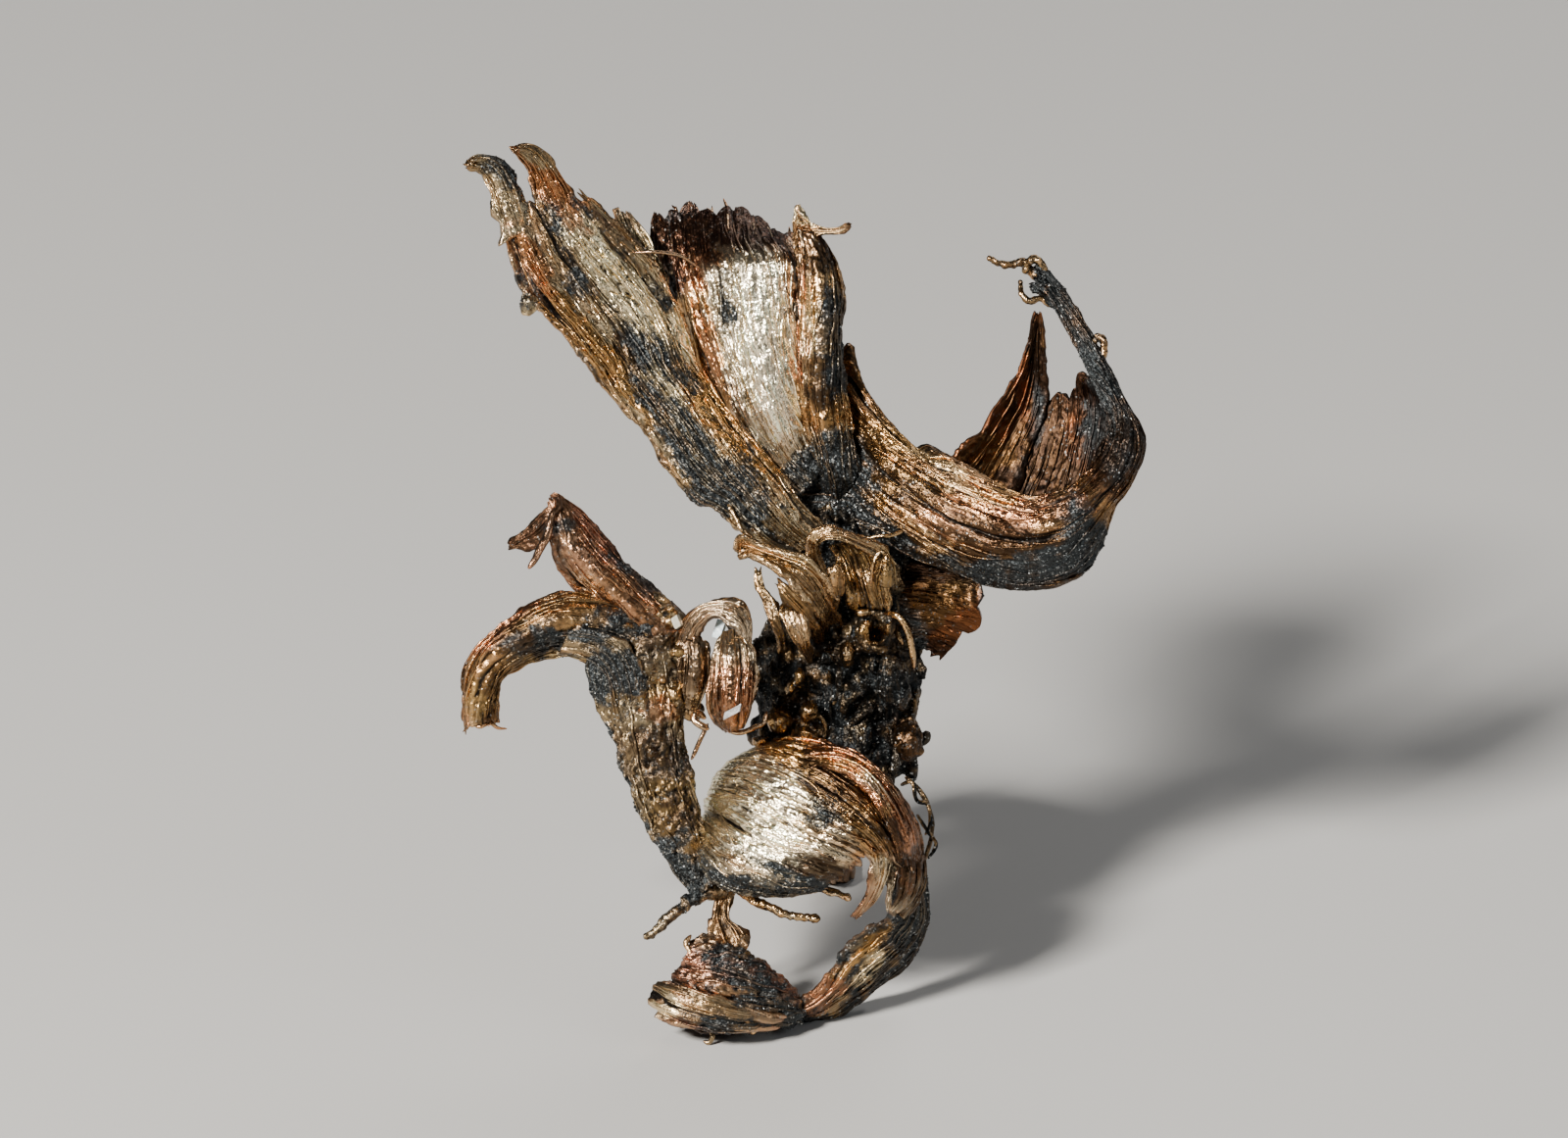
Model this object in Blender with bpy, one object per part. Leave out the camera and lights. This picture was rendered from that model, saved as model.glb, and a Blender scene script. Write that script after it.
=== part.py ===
"""Native silver: a cabinet specimen of curled, striated ribbons that grew from one dark, lumpy core.

The specimen is drawn on a sheet that leans back from the floor. A point is (across, up, back) in
millimetres: across and up lie in the sheet, and back is square to it, away from the front.
A ribbon is a set of rails that run with its wires, from root to tip, with a smooth skin between them.
"""

import math

import bmesh
import bpy
import numpy as np
from mathutils import Matrix, Vector

MM = 0.001

# Driving dimensions, in millimetres and degrees.
LEAN = 22.0  # the sheet leans this far back from upright
GAP = 0.3  # clear distance between branches that meet
FLOOR = 0.35  # height in the leaning frame at which the feet are flat
ROUND_EDGE = 0.3  # a ribbon's rim against its middle thickness
WELD = 0.01  # points closer than this are one
LOOSE_FOR_EXACT = ("horn", "upper_claw")  # branches whose folds the exact solver leaves open
DENSE = 120  # samples along a rail before it is divided evenly
CLEAVE = 0.22  # how far the sides of a calcite rhomb slant, against its side

# Tarnish colours: linear red, green and blue, roughness.
SILVER = ((0.50, 0.42, 0.31), 0.34)
GOLDEN = ((0.36, 0.23, 0.11), 0.38)
COPPERY = ((0.30, 0.13, 0.07), 0.42)
BLACKENED = ((0.035, 0.040, 0.048), 0.55)
SOOTY = ((0.055, 0.050, 0.045), 0.60)
WHITE = ((0.75, 0.75, 0.72), 0.35)


# ---- curves and skins -------------------------------------------------------------------------


def smooth(points, count):
    """Even samples of a Catmull-Rom curve through the points."""
    points = np.asarray(points, float)
    if len(points) == 2:
        steps = np.linspace(0.0, 1.0, count)[:, None]
        return points[0] * (1 - steps) + points[1] * steps
    ends = np.vstack([2 * points[0] - points[1], points, 2 * points[-1] - points[-2]])
    dense = []
    for i in range(1, len(ends) - 2):
        before, start, end, after = ends[i - 1 : i + 3]
        t = np.linspace(0.0, 1.0, DENSE // len(points) + 2, endpoint=False)[:, None]
        dense.append(
            0.5
            * (
                2 * start
                + (end - before) * t
                + (2 * before - 5 * start + 4 * end - after) * t**2
                + (3 * start - before - 3 * end + after) * t**3
            )
        )
    dense = np.vstack([*dense, points[-1:]])
    length = np.concatenate([[0.0], np.cumsum(np.linalg.norm(np.diff(dense, axis=0), axis=1))])
    wanted = np.linspace(0.0, length[-1], count)
    return np.stack([np.interp(wanted, length, dense[:, k]) for k in range(3)], axis=1)


def unit(vectors):
    """The vectors at length one."""
    return vectors / np.maximum(np.linalg.norm(vectors, axis=-1, keepdims=True), 1e-9)


def jitter(index, salt):
    """A fixed pseudo-random number from -1 to 1."""
    return math.sin(index * 12.9898 + salt * 78.233) * math.cos(index * 4.1414 + salt)


def closed_grid(front, back):
    """The vertices and faces of a plate between two grids of one size."""
    rows, columns = front.shape[:2]
    vertices = np.concatenate([front.reshape(-1, 3), back.reshape(-1, 3)])
    under = rows * columns

    def at(row, column):
        return row * columns + column

    faces = []
    for r in range(rows - 1):
        for c in range(columns - 1):
            faces.append((at(r, c), at(r, c + 1), at(r + 1, c + 1), at(r + 1, c)))
            turned = ((r, c), (r + 1, c), (r + 1, c + 1), (r, c + 1))
            faces.append(tuple(under + at(*corner) for corner in turned))
    rim = [(0, c) for c in range(columns)] + [(r, columns - 1) for r in range(1, rows)]
    rim += [(rows - 1, c) for c in range(columns - 2, -1, -1)] + [(r, 0) for r in range(rows - 2, 0, -1)]
    for one, two in zip(rim, rim[1:] + rim[:1]):
        faces.append((at(*two), at(*one), under + at(*one), under + at(*two)))
    return vertices, faces


def ribbon(rails, thick, along=12, across=6, ridge=0.12, ragged=0.0, salt=1.0, root=1.0, tip=0.5):
    """A striated ribbon; called with a growth, it gives the solid made that much bigger all round."""

    def build(grow=0.0):
        lines = [smooth(rail, DENSE) for rail in rails]
        skin = np.array([smooth(column, across) for column in zip(*lines)])
        grid = np.empty((along, across, 3))
        for c in range(across):
            reach = (DENSE - 1) * (1.0 - ragged * (0.5 + 0.5 * jitter(c, salt)))
            steps = np.linspace(0.0, reach, along)
            for k in range(3):
                grid[:, c, k] = np.interp(steps, np.arange(DENSE), skin[:, c, k])
        lengthwise = unit(np.gradient(grid, axis=0))
        crosswise = unit(np.gradient(grid, axis=1))
        normal = unit(np.cross(lengthwise, crosswise))
        if grow:
            grid[0] -= lengthwise[0] * grow
            grid[-1] += lengthwise[-1] * grow
            grid[:, 0] -= crosswise[:, 0] * grow
            grid[:, -1] += crosswise[:, -1] * grow
        t = np.linspace(-1.0, 1.0, across)
        body = ROUND_EDGE + (1 - ROUND_EDGE) * np.sqrt(1 - np.abs(t) ** 3)
        taper = np.interp(np.linspace(0, 1, along), (0, 0.3, 1), (root, 1.0, tip))
        half = 0.5 * thick * taper[:, None] * body[None, :] + grow
        waves = ridge * np.array([jitter(c, salt + 3) * 0.6 + 0.6 * (-1) ** c for c in range(across)])
        waves[[0, -1]] = 0.0
        lift = np.broadcast_to(waves[None, :], half.shape)
        return closed_grid(grid + normal * (half + lift)[..., None], grid - normal * (half - lift)[..., None])

    return build


def limb(route, radii, rings=10, sides=8, rough=0.08, salt=1.0):
    """A round limb along a route; radii are (fraction along, radius)."""

    def build(grow=0.0):
        line = smooth(route, rings)
        tangent = unit(np.gradient(line, axis=0))
        side = unit(np.cross(tangent, np.array([0.0, 0.0, 1.0]) + 0 * tangent))
        depth = unit(np.cross(side, tangent))
        line[0] -= tangent[0] * grow
        line[-1] += tangent[-1] * grow
        places, sizes = zip(*radii)
        radius = np.interp(np.linspace(0, 1, rings), places, sizes)
        vertices = []
        for r in range(rings):
            for s in range(sides):
                angle = 2 * math.pi * s / sides
                size = radius[r] * (1 + rough * jitter(r * sides + s, salt))
                out = side[r] * math.cos(angle) * (size + grow)
                out = out + depth[r] * math.sin(angle) * (size + grow)
                vertices.append(line[r] + out)
        faces = [tuple(range(sides))[::-1], tuple(range((rings - 1) * sides, rings * sides))]
        for r in range(rings - 1):
            for s in range(sides):
                a, b = r * sides + s, r * sides + (s + 1) % sides
                faces.append((a, b, b + sides, a + sides))
        return np.array(vertices), faces

    return build


def lump(centre, size, level=2, rough=0.12, salt=1.0):
    """A knobbly lump; size is its half width, half height and half depth."""

    def build(grow=0.0):
        shape = bmesh.new()
        bmesh.ops.create_icosphere(shape, subdivisions=level, radius=1.0)
        directions = np.array([v.co[:] for v in shape.verts])
        faces = [tuple(v.index for v in f.verts) for f in shape.faces]
        shape.free()
        bumps = 1 + rough * np.array([jitter(i, salt) for i in range(len(directions))])
        return np.array(centre) + directions * (np.array(size) * bumps[:, None] + grow), faces

    return build


def rhomb(centre, side, tilt):
    """A cleavage rhomb of calcite."""

    def build(grow=0.0):
        corners = []
        for x in (-1, 1):
            for y in (-1, 1):
                for z in (-1, 1):
                    corners.append(((x + CLEAVE * y) * side / 2, (y + CLEAVE * z) * side / 2, z * side / 2))
        turned = [Matrix.Rotation(tilt, 3, Vector((1, 2, 3))) @ Vector(c) for c in corners]
        vertices = np.array(centre) + np.array([v[:] for v in turned]) * (1 + 2 * grow / side)
        faces = [(0, 1, 3, 2), (4, 6, 7, 5), (0, 4, 5, 1), (2, 3, 7, 6), (0, 2, 6, 4), (1, 5, 7, 3)]
        return vertices, faces

    return build


# ---- rails, as (across, up, back), from root to tip ------------------------------------------

RAILS = {
    "left_fan": (
        ((-0.8, 40.8, 1), (-4.5, 42.8, -0.4), (-7.1, 45, -1), (-9.6, 46.8, -1.2), (-12, 49.8, -1.6),
         (-14.4, 52.8, -2), (-16.5, 55.1, -2.5), (-18.2, 57.8, -3), (-19.9, 59.9, -3.2),
         (-21.7, 61.8, -3.4), (-23.3, 63.8, -3.6), (-24.5, 66.6, -3.8), (-25.3, 69.1, -3.8),
         (-25.8, 71.3, -3.6)),
        ((-0.1, 41.8, 0.6), (-3.2, 44.3, -0.8), (-5.7, 46.7, -1.4), (-8.7, 49.9, -1.6), (-11.3, 53, -1.8),
         (-13.4, 55.8, -1.9), (-15, 58.5, -2), (-16.7, 61.2, -2), (-18.2, 63.7, -2), (-19.7, 66.2, -2.2),
         (-21.1, 68.7, -2.4), (-22.3, 70.8, -2.6), (-23.3, 71.8, -2.8)),
        ((1.2, 42.7, 0.6), (-1.3, 45.3, -0.8), (-4, 48.2, -1), (-7.1, 51.9, -0.8), (-9.4, 55.3, -0.6),
         (-11.2, 58.2, -0.6), (-12.8, 60.8, -0.6), (-14.2, 63.2, -0.6), (-15.5, 65.8, -0.7),
         (-17, 68.2, -1), (-18.7, 70.5, -1.2), (-20.5, 72.4, -1.6)),
        ((2.4, 43.2, 1.4), (0.5, 45.1, 0.8), (-1.6, 48.2, 0.8), (-4.1, 51.3, 1.2), (-6.3, 53.8, 1.8),
         (-8.3, 56.5, 2.2), (-9.6, 59.9, 2.4), (-10.6, 63, 2.4), (-11.8, 65.3, 2.2), (-13.4, 67.6, 1.6),
         (-15.1, 69.3, 1), (-17, 71.3, 0.4), (-18.8, 72.7, -0.2)),
    ),
    "tip_hook": (
        ((-25.2, 67.8, -3.8), (-26.1, 71.3, -3.6), (-26.5, 73, -3.5), (-27.1, 73.9, -3.9),
         (-27.8, 74.2, -4.4), (-28.5, 74.2, -5)),
        ((-23.8, 68.7, -3.2), (-24.9, 71.8, -3.6), (-25.5, 73.4, -3.7), (-26.3, 74.4, -4),
         (-27.4, 74.8, -4.4), (-28.3, 74.6, -5)),
        ((-22.6, 69.1, -2.6), (-23.6, 71.6, -2.9), (-24.3, 73.7, -3), (-25.7, 75, -3.4), (-27.2, 75.4, -4),
         (-28.2, 75.1, -4.8)),
    ),
    "tip_horn": (
        ((-22.3, 69.1, -2.2), (-22.8, 71.6, -2.2), (-23, 73.4, -2.2), (-23.6, 74.7, -2.5),
         (-24.2, 75.5, -3), (-24.8, 75.7, -3.6)),
        ((-20.1, 69.3, -1.6), (-20.9, 71.8, -1.8), (-21.7, 73.8, -1.9), (-22.4, 75.1, -2.2),
         (-23.4, 75.8, -2.8), (-24.5, 76, -3.6)),
        ((-17.7, 69.5, -0.6), (-18.8, 71.8, -0.8), (-19.9, 73.4, -1.2), (-20.8, 74.8, -1.6),
         (-22, 76.1, -2.2), (-23.3, 76.5, -2.8), (-24.3, 76.2, -3.5)),
    ),
    "back_tooth": (
        ((-13.8, 61.5, 0), (-14.4, 66.3, 2), (-15.6, 69.5, 3), (-16, 71.2, 3.2)),
        ((-12.2, 61.8, 1), (-13.2, 66.7, 3), (-14.5, 69.5, 3.8), (-15.4, 71.2, 3.6)),
        ((-10.7, 62.2, 2.2), (-11.9, 66.5, 3.4), (-13.2, 69.1, 4), (-14.8, 71.1, 3.8)),
    ),
    "middle_fan": (
        ((-0.3, 46.2, 3), (-3.3, 49.3, 3.6), (-5.8, 52.7, 4.2), (-8, 56.2, 4.6), (-9.8, 59.9, 5),
         (-10.9, 63.2, 5.4), (-11.6, 65.8, 5.8), (-12.2, 67.8, 6.4), (-12.5, 69.3, 7), (-12.6, 70.7, 7.6)),
        ((0.5, 47, 2.2), (-1.3, 49.1, 2), (-3.4, 52, 1.8), (-5.3, 55.3, 1.8), (-6.5, 59.5, 1.8),
         (-7.3, 63.7, 2), (-7.8, 66.7, 2.6), (-8.7, 69.3, 5), (-9.3, 71.7, 7)),
        ((1.2, 47.8, 1.6), (-0.1, 49.5, 1), (-1.8, 52.4, 0.4), (-3, 56.2, 0), (-3.7, 60.3, -0.3),
         (-4, 63.7, -0.2), (-4.2, 66.8, 0.4), (-5, 69.3, 4), (-5.9, 71.6, 7)),
        ((1.8, 48.7, 1.4), (0.8, 50.3, 1), (-0.3, 52.8, 0.6), (-0.8, 56.2, 0.4), (-1, 60.3, 0.2),
         (-1.1, 63.7, 0.3), (-1.3, 66.7, 0.8), (-1.8, 68.2, 4), (-2.3, 69.6, 7)),
        ((2.5, 49.5, 2.6), (2, 51.2, 2.6), (1.5, 53.2, 2.8), (1.2, 57, 3), (0.8, 61.2, 3), (0.5, 64.5, 3),
         (0.2, 66.8, 3.2), (-0.3, 68.2, 5), (-0.9, 69.3, 7)),
    ),
    "right_fold": (
        ((1.8, 48.7, 1.4), (1.1, 50.7, 0.6), (0.2, 54.5, 0.4), (-0.1, 58.7, 0.2), (0.1, 62.8, 0.2),
         (-0.1, 66.2, 0.3), (-0.3, 68.7, 0.6), (-0.4, 70.7, 1)),
        ((3.3, 48.5, 0), (2.7, 51, -1), (1.9, 54.9, -2), (1.8, 59.1, -2.6), (2, 62.8, -2.6),
         (1.8, 65.8, -2.2), (1.3, 67.8, -1.6), (0.5, 69.3, -0.8)),
        ((5.2, 49, 0.4), (4.4, 51.2, 0.6), (3.8, 55.3, 0.8), (3.4, 59.9, 1), (3.7, 63.2, 1.2),
         (3.4, 65.3, 1.2), (2.8, 66.8, 0.8), (2, 68, 0.2)),
    ),
    "fold_hook": (
        ((-0.7, 68.7, 0.6), (-0.2, 71.2, 0.4), (0.3, 70.1, -0.4), (1.8, 69.3, -1), (3.2, 69.3, -1.6),
         (4.3, 69.9, -2.2)),
        ((-0.1, 66.8, 0.4), (0.5, 67.8, -0.2), (1.7, 68.5, -1), (2.8, 68.5, -1.6), (3.8, 68.8, -2),
         (4.3, 69.5, -2.4)),
    ),
    "horn_wall": (
        ((1, 54.5, 4.4), (4, 59.5, 3.6), (4.8, 56.7, 3.2), (6.4, 53.8, 2.4), (8.3, 51.3, 1.4),
         (11.2, 50.7, 0.2), (13.8, 49.2, -1.2), (15.8, 47.5, -2.4), (18.2, 46.4, -3.2), (20.8, 46.5, -3.6),
         (23.2, 47.3, -3.4), (24.8, 49.2, -2.6), (26.2, 52, -1.6), (25.7, 54.7, -0.6), (24.7, 56.8, 0.2),
         (23.7, 58.7, 1), (22.5, 60.7, 1.6), (20.8, 62.5, 2), (19.3, 63.7, 2.2)),
        ((-0.3, 49.7, 4.2), (2.8, 51.3, 3), (5.7, 51.5, 1), (8.2, 49.5, -1.4), (10.8, 47.8, -3),
         (14.1, 46, -4.6), (17.8, 44.7, -5.6), (21.2, 44.5, -6), (23.7, 45.8, -5.8), (25.5, 47.7, -4.8),
         (27.4, 50.8, -3.4), (26.7, 53.7, -2), (25.3, 56.6, -0.8), (24.1, 59.1, 0.2), (22.7, 61.6, 1),
         (21.2, 63.7, 1.6), (19.7, 65, 2)),
        ((-1, 46.6, 4.4), (2.5, 46.8, 3), (5.8, 46, 0.4), (8.2, 45.2, -1.6), (11.2, 43.8, -3),
         (14.5, 42.3, -4.2), (17.8, 41.2, -4.8), (21.2, 41.3, -5), (23.7, 43, -5), (25.5, 45.8, -4.4),
         (27.5, 48.2, -3.4), (28.4, 51.2, -2.4), (27, 54.2, -1.4), (25.8, 57.2, -0.4), (24.3, 59.9, 0.4),
         (23, 62.4, 1.2), (21.5, 64.5, 1.6), (20, 66.2, 2)),
        ((-0.3, 44.1, 5), (2.8, 43.7, 3.6), (6.2, 43, 2), (9.5, 41.8, 0.6), (12.8, 40.8, -0.4),
         (16.6, 39.5, -1), (19.9, 39.2, -1.4), (22.7, 39.8, -1.8), (24.7, 41.5, -2.2), (25.5, 43.7, -2.2),
         (26.2, 45.8, -2), (27.8, 48, -1.6), (28.8, 51.2, -1), (27.2, 54.3, -0.4), (26.1, 57.3, 0.4),
         (24.7, 60.3, 1), (23.2, 62.8, 1.6), (21.7, 65, 2), (20.2, 66.5, 2.2)),
        ((0.3, 45.3, 7), (3.7, 45.2, 7), (7.4, 44.7, 6.2), (11.2, 44.1, 5.4), (15.3, 43.2, 4.6),
         (19.5, 42.7, 3.6), (22.7, 43.2, 2.6), (24.2, 44.5, 1.8), (25.3, 47, 1.4), (26.8, 49.3, 0.8),
         (27.7, 52, 0.6), (26.7, 54.7, 0.8), (25.7, 57.2, 1.4), (24.3, 60, 2), (23, 62.3, 2.4),
         (21.5, 64.3, 2.8), (20, 66, 2.8)),
    ),
    "petal_one": (
        ((9.5, 45.3, 3), (12, 48.7, 3.6), (14.1, 51, 4), (15.8, 52.8, 4.4), (17.4, 55.1, 4.8),
         (18.7, 57.4, 4.8), (19.3, 59.7, 4.4), (20.1, 62.2, 4)),
        ((12, 43.2, 4), (14.1, 46.6, 5), (16.2, 49.3, 5.8), (17.8, 52, 6.2), (19.2, 54.7, 6.4),
         (19.8, 57.4, 6), (20.1, 59.9, 5.2), (20.3, 62.2, 4.2)),
        ((15.3, 42, 4), (17.8, 45.3, 5), (19.5, 48.7, 5.6), (20.5, 51.6, 6), (21.2, 54.9, 6),
         (21, 57.4, 5.6), (20.8, 59.9, 5), (20.6, 62.3, 4.3)),
    ),
    "petal_two": (
        ((15.3, 42.2, 4.6), (17.8, 45.8, 5.6), (19.2, 49.1, 6.2), (20.3, 52.4, 6.6), (21.3, 55.4, 6.4)),
        ((18.7, 42, 3.6), (20.8, 46, 5), (22, 49.5, 5.8), (22.8, 53.2, 5.8), (22.8, 56.5, 5.6)),
        ((21.5, 42.2, 3), (23.3, 46.2, 4.2), (24.3, 49.9, 4.6), (24.6, 53.7, 4.6), (24.1, 56.6, 4.2),
         (23.7, 58.7, 3.8)),
    ),
    "petal_three": (
        ((19.5, 42, 3.6), (22.2, 46.6, 4.6), (23.5, 50.8, 5.4), (24, 54.5, 5.4), (23.8, 56.8, 4.6)),
        ((21.6, 42.4, 2.8), (23.8, 46.8, 3.8), (25, 50.8, 4.2), (25.2, 54.3, 4.2), (24.5, 57, 3.4)),
        ((23.3, 43, 2), (25.5, 47.2, 2.4), (26.5, 50.8, 2.6), (26.7, 53.7, 2.4), (25.7, 56.2, 2)),
    ),
    "side_fan": (
        ((7.4, 40.2, 4), (9.9, 40.3, 3.4), (12.7, 40.5, 3), (15.3, 40.4, 2.8), (16.4, 40.1, 2.8)),
        ((7.4, 38.2, 3), (10.3, 38.3, 2.2), (12.8, 38.3, 1.8), (15.2, 38.2, 1.6), (16.2, 38, 1.6)),
        ((7.7, 36, 3.6), (10.3, 35.9, 3), (12.7, 35.8, 2.6), (14.7, 35.6, 2.4), (15.7, 35.2, 2.4)),
        ((8.2, 34, 5), (10, 33.5, 4.8), (11, 32.9, 4.6), (11.7, 32.4, 4.6), (12.2, 32.1, 4.6)),
    ),
    "shell": (
        ((-3.8, 22.8, 5), (-2.2, 25.2, 2.5), (0.8, 25.6, 0.5), (3.7, 25.1, -0.5), (6.3, 23.6, -1.2),
         (8.5, 21.2, -1.4), (10, 18.5, -1.4), (10.6, 16, -1), (10.5, 13.8, -0.4)),
        ((-5.3, 22, 5), (-5.3, 23.5, 1), (-2.6, 24.2, -2), (1.2, 23.2, -4), (4.3, 21.3, -5.2),
         (6.8, 19, -5.6), (8.2, 16.5, -5.4), (8.7, 14.2, -4.6)),
        ((-5.9, 19.5, 5), (-6.8, 22, 1), (-4.2, 21.6, -3.6), (-0.5, 20, -6), (2.8, 18.5, -7.2),
         (5.2, 17.2, -7.4), (6.6, 15.8, -6.8)),
        ((-7.3, 17.8, 5), (-7.8, 18.8, 1), (-5.7, 17.8, -4), (-2, 16.5, -6.4), (1.3, 15.6, -7),
         (3.7, 15.3, -6.8), (4.8, 15, -6.2)),
        ((-8.2, 16.2, 5), (-8.5, 16.3, 1), (-6.8, 14.7, -3.4), (-3.4, 13.7, -5.2), (-0.1, 13.5, -5.4),
         (2.5, 14, -5)),
        ((-7.8, 15.3, 5), (-7.5, 14.2, 2), (-5.5, 13, 0), (-2.6, 12.7, -0.6), (0.3, 12.8, -0.6),
         (2.7, 13.3, -0.6)),
    ),
    "shell_hook": (
        ((6.8, 17.2, -5), (7.3, 14.9, -4.8), (7.4, 13, -4.6), (7.3, 11.2, -4.2)),
        ((8.3, 17.2, -4.6), (8.3, 14.9, -4.6), (8, 13, -4.4), (7.6, 11.2, -4.2)),
    ),
    "ring": (
        ((6.8, 15.3, 1), (7.7, 13, 0), (7.7, 11, -0.6), (5.8, 9.5, -1), (4, 8.1, -1), (2.6, 6, -0.8),
         (1, 4.2, -0.2), (-0.3, 3.5, 0.4), (-1.8, 3.7, 1)),
        ((8.5, 15.3, 1.5), (9.3, 12.8, 1.4), (9.3, 10.3, 1.6), (7.7, 8.2, 1.8), (5.8, 6.2, 1.8),
         (3.8, 4.5, 2), (1.8, 3.1, 2.2), (-0.1, 2.5, 2.6), (-1.8, 2.7, 2.6)),
        ((10.2, 15.3, 3), (10.7, 12.7, 4.4), (10.5, 9.7, 5.6), (9.2, 7, 6.2), (6.5, 4.5, 6),
         (3.7, 2.7, 5.6), (1, 1.8, 5), (-0.9, 1.8, 4.4), (-2.2, 1.8, 4)),
    ),
    "foot_front": (
        ((-0.3, 1.8, 1.5), (-3, 1.4, 0.4), (-5.9, 1, -0.6), (-8.4, 1.2, -1), (-10.3, 1.8, -1),
         (-11.7, 2.6, -0.6)),
        ((0, 2.5, 0.6), (-2.6, 2.7, -2), (-5.5, 2.8, -3.4), (-8, 3.2, -3.8), (-10.3, 3.7, -3.2),
         (-12.2, 3.6, -1.6)),
        ((-0.3, 3.3, 0.6), (-2.8, 4.9, -1.8), (-5.3, 5.7, -3), (-7.3, 5.5, -3.4), (-9.3, 4.9, -2.8),
         (-11.3, 4.7, -1.6)),
        ((-0.8, 3.8, 1.4), (-3, 5.5, 0.4), (-4.9, 7.2, -0.4), (-6.5, 7.7, -1.2), (-8.3, 7.2, -1.6),
         (-9.3, 6.2, -1.4)),
        ((-1.3, 4.3, 2.2), (-3.2, 5.9, 1.6), (-4.9, 7.4, 0.8), (-6.7, 8.5, 0), (-8.3, 9, -0.2),
         (-9.4, 8.2, -0.2)),
    ),
    "foot_back": (
        ((-0.3, 2, 3), (-2.6, 1.7, 3.4), (-5.5, 1.5, 3.2), (-8.4, 1.8, 2), (-10.2, 2.5, 0.6),
         (-11, 3.2, -0.4)),
        ((-0.5, 3, 4), (-3, 3.8, 4.4), (-5.7, 4.3, 4.2), (-7.8, 4.7, 3), (-9.3, 4.8, 1.2), (-10.2, 4.7, 0)),
        ((-1, 3.8, 3), (-3.2, 5.5, 2.8), (-4.9, 7, 2.2), (-6.5, 7.7, 1.4), (-7.8, 7.8, 0.6),
         (-8.7, 7.3, -0.4)),
    ),
    "plate": (
        ((-6.5, 6.3, -2), (-7.4, 8.5, -0.2), (-7.6, 10.3, 0.2), (-7.3, 12, 0.8), (-6.3, 13.7, 1.6)),
        ((-4.7, 6.5, -1.2), (-4.2, 8.2, 0), (-4.8, 9.7, 0.4), (-6, 10.5, 0.6), (-5.8, 12.2, 1.2),
         (-4.5, 13.7, 1.6)),
    ),
    "upper_claw": (
        ((-13, 33.2, 0.5), (-15.5, 35.8, 0.4), (-17.8, 38, 0.2), (-19.5, 39.2, 0), (-20.8, 40.8, -0.4),
         (-21.3, 42.7, -0.8), (-21.3, 44.5, -1.2), (-21.3, 46.4, -1.6)),
        ((-11.3, 34.5, -1.6), (-14.2, 37.4, -2), (-17, 39.8, -2.4), (-18.7, 41.8, -2.4),
         (-19.7, 43.5, -2.2), (-20.4, 45.2, -2), (-21.2, 46.7, -1.8)),
        ((-9.2, 35.3, 1), (-10.7, 37.1, 1), (-12.7, 38.9, 1), (-14.8, 40.7, 1), (-16.7, 43.2, 0.8),
         (-18, 44.5, 0.4), (-19.6, 45.8, -0.4), (-20.9, 46.7, -1.4)),
    ),
    "claw_flap": (
        ((-19.8, 44.8, -2), (-21.2, 45.9, -1.6), (-22.4, 44.8, -0.8), (-23.8, 43.6, -0.2),
         (-24.8, 42.3, 0.4)),
        ((-19.3, 42.8, -2.3), (-20.8, 43.2, -1.8), (-22.1, 42.3, -0.8), (-23.2, 41.9, -0.2),
         (-24.7, 41.8, 0.4)),
    ),
    "lower_claw": (
        ((-13, 36.3, 1), (-15.9, 37.7, 0.4), (-18.7, 38.1, 0), (-21.3, 37.8, -0.4), (-23.8, 36.4, -0.6),
         (-25.9, 34.9, -0.6), (-27.3, 33.6, -0.4), (-28.1, 32, 0), (-28.5, 29.9, 0.4), (-28.7, 28, 0.6),
         (-28.3, 26.8, 0.6)),
        ((-12.6, 34.5, -1.4), (-15.7, 35.7, -2.2), (-18.7, 36.2, -2.8), (-21.3, 35.7, -3),
         (-23.7, 34.5, -3), (-25.5, 33.1, -2.8), (-26.7, 31.5, -2.4), (-27.2, 29.7, -2), (-27.3, 28, -1.6),
         (-27.2, 26.9, -1.4)),
        ((-12.6, 31.2, 1.6), (-15.3, 31.8, 1.4), (-17.8, 32.2, 1.2), (-20, 33, 1), (-22.2, 32.8, 0.8),
         (-24.2, 31.9, 0.6), (-25.4, 31, 0.4), (-25.9, 29.7, 0.2), (-25.9, 28.2, 0.2), (-25.9, 27.1, 0.2)),
    ),
    "arch": (
        ((-11, 32.4, -0.6), (-10.5, 34.1, -1.2), (-9.7, 35.9, -2), (-8.2, 37.4, -2.6), (-6.8, 37.8, -3),
         (-5.3, 37.5, -3.2), (-4.2, 36.3, -3), (-4, 34.7, -2.8), (-4.3, 33, -2.6)),
        ((-9.4, 32.7, -1.4), (-9, 34.3, -2), (-8.2, 35.5, -2.8), (-7.4, 36.1, -3.4), (-6.5, 36, -3.6),
         (-5.8, 35.4, -3.8), (-5.2, 34.4, -3.8), (-5.2, 32.8, -3.8)),
    ),
    "gold_leaf": (
        ((-9.7, 28.5, -0.4), (-10.3, 30.8, -0.8), (-10.6, 32.8, -1.2), (-10.2, 34.3, -1.4)),
        ((-9.4, 28.5, -0.8), (-9, 30.8, -2.2), (-8.8, 33, -2.6), (-9.3, 34.9, -2)),
        ((-9, 28.7, -0.6), (-7.9, 30.7, -1.2), (-7.6, 32.7, -1.6), (-8.3, 34.7, -1.8)),
    ),
    "rolled_leaf": (
        ((-6.2, 34.8, -2.6), (-7.1, 33.5, -2.4), (-7.6, 31.6, -2.2), (-7.8, 29.7, -2.2), (-7.4, 27.8, -2),
         (-6.3, 26.8, -1.8)),
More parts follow.
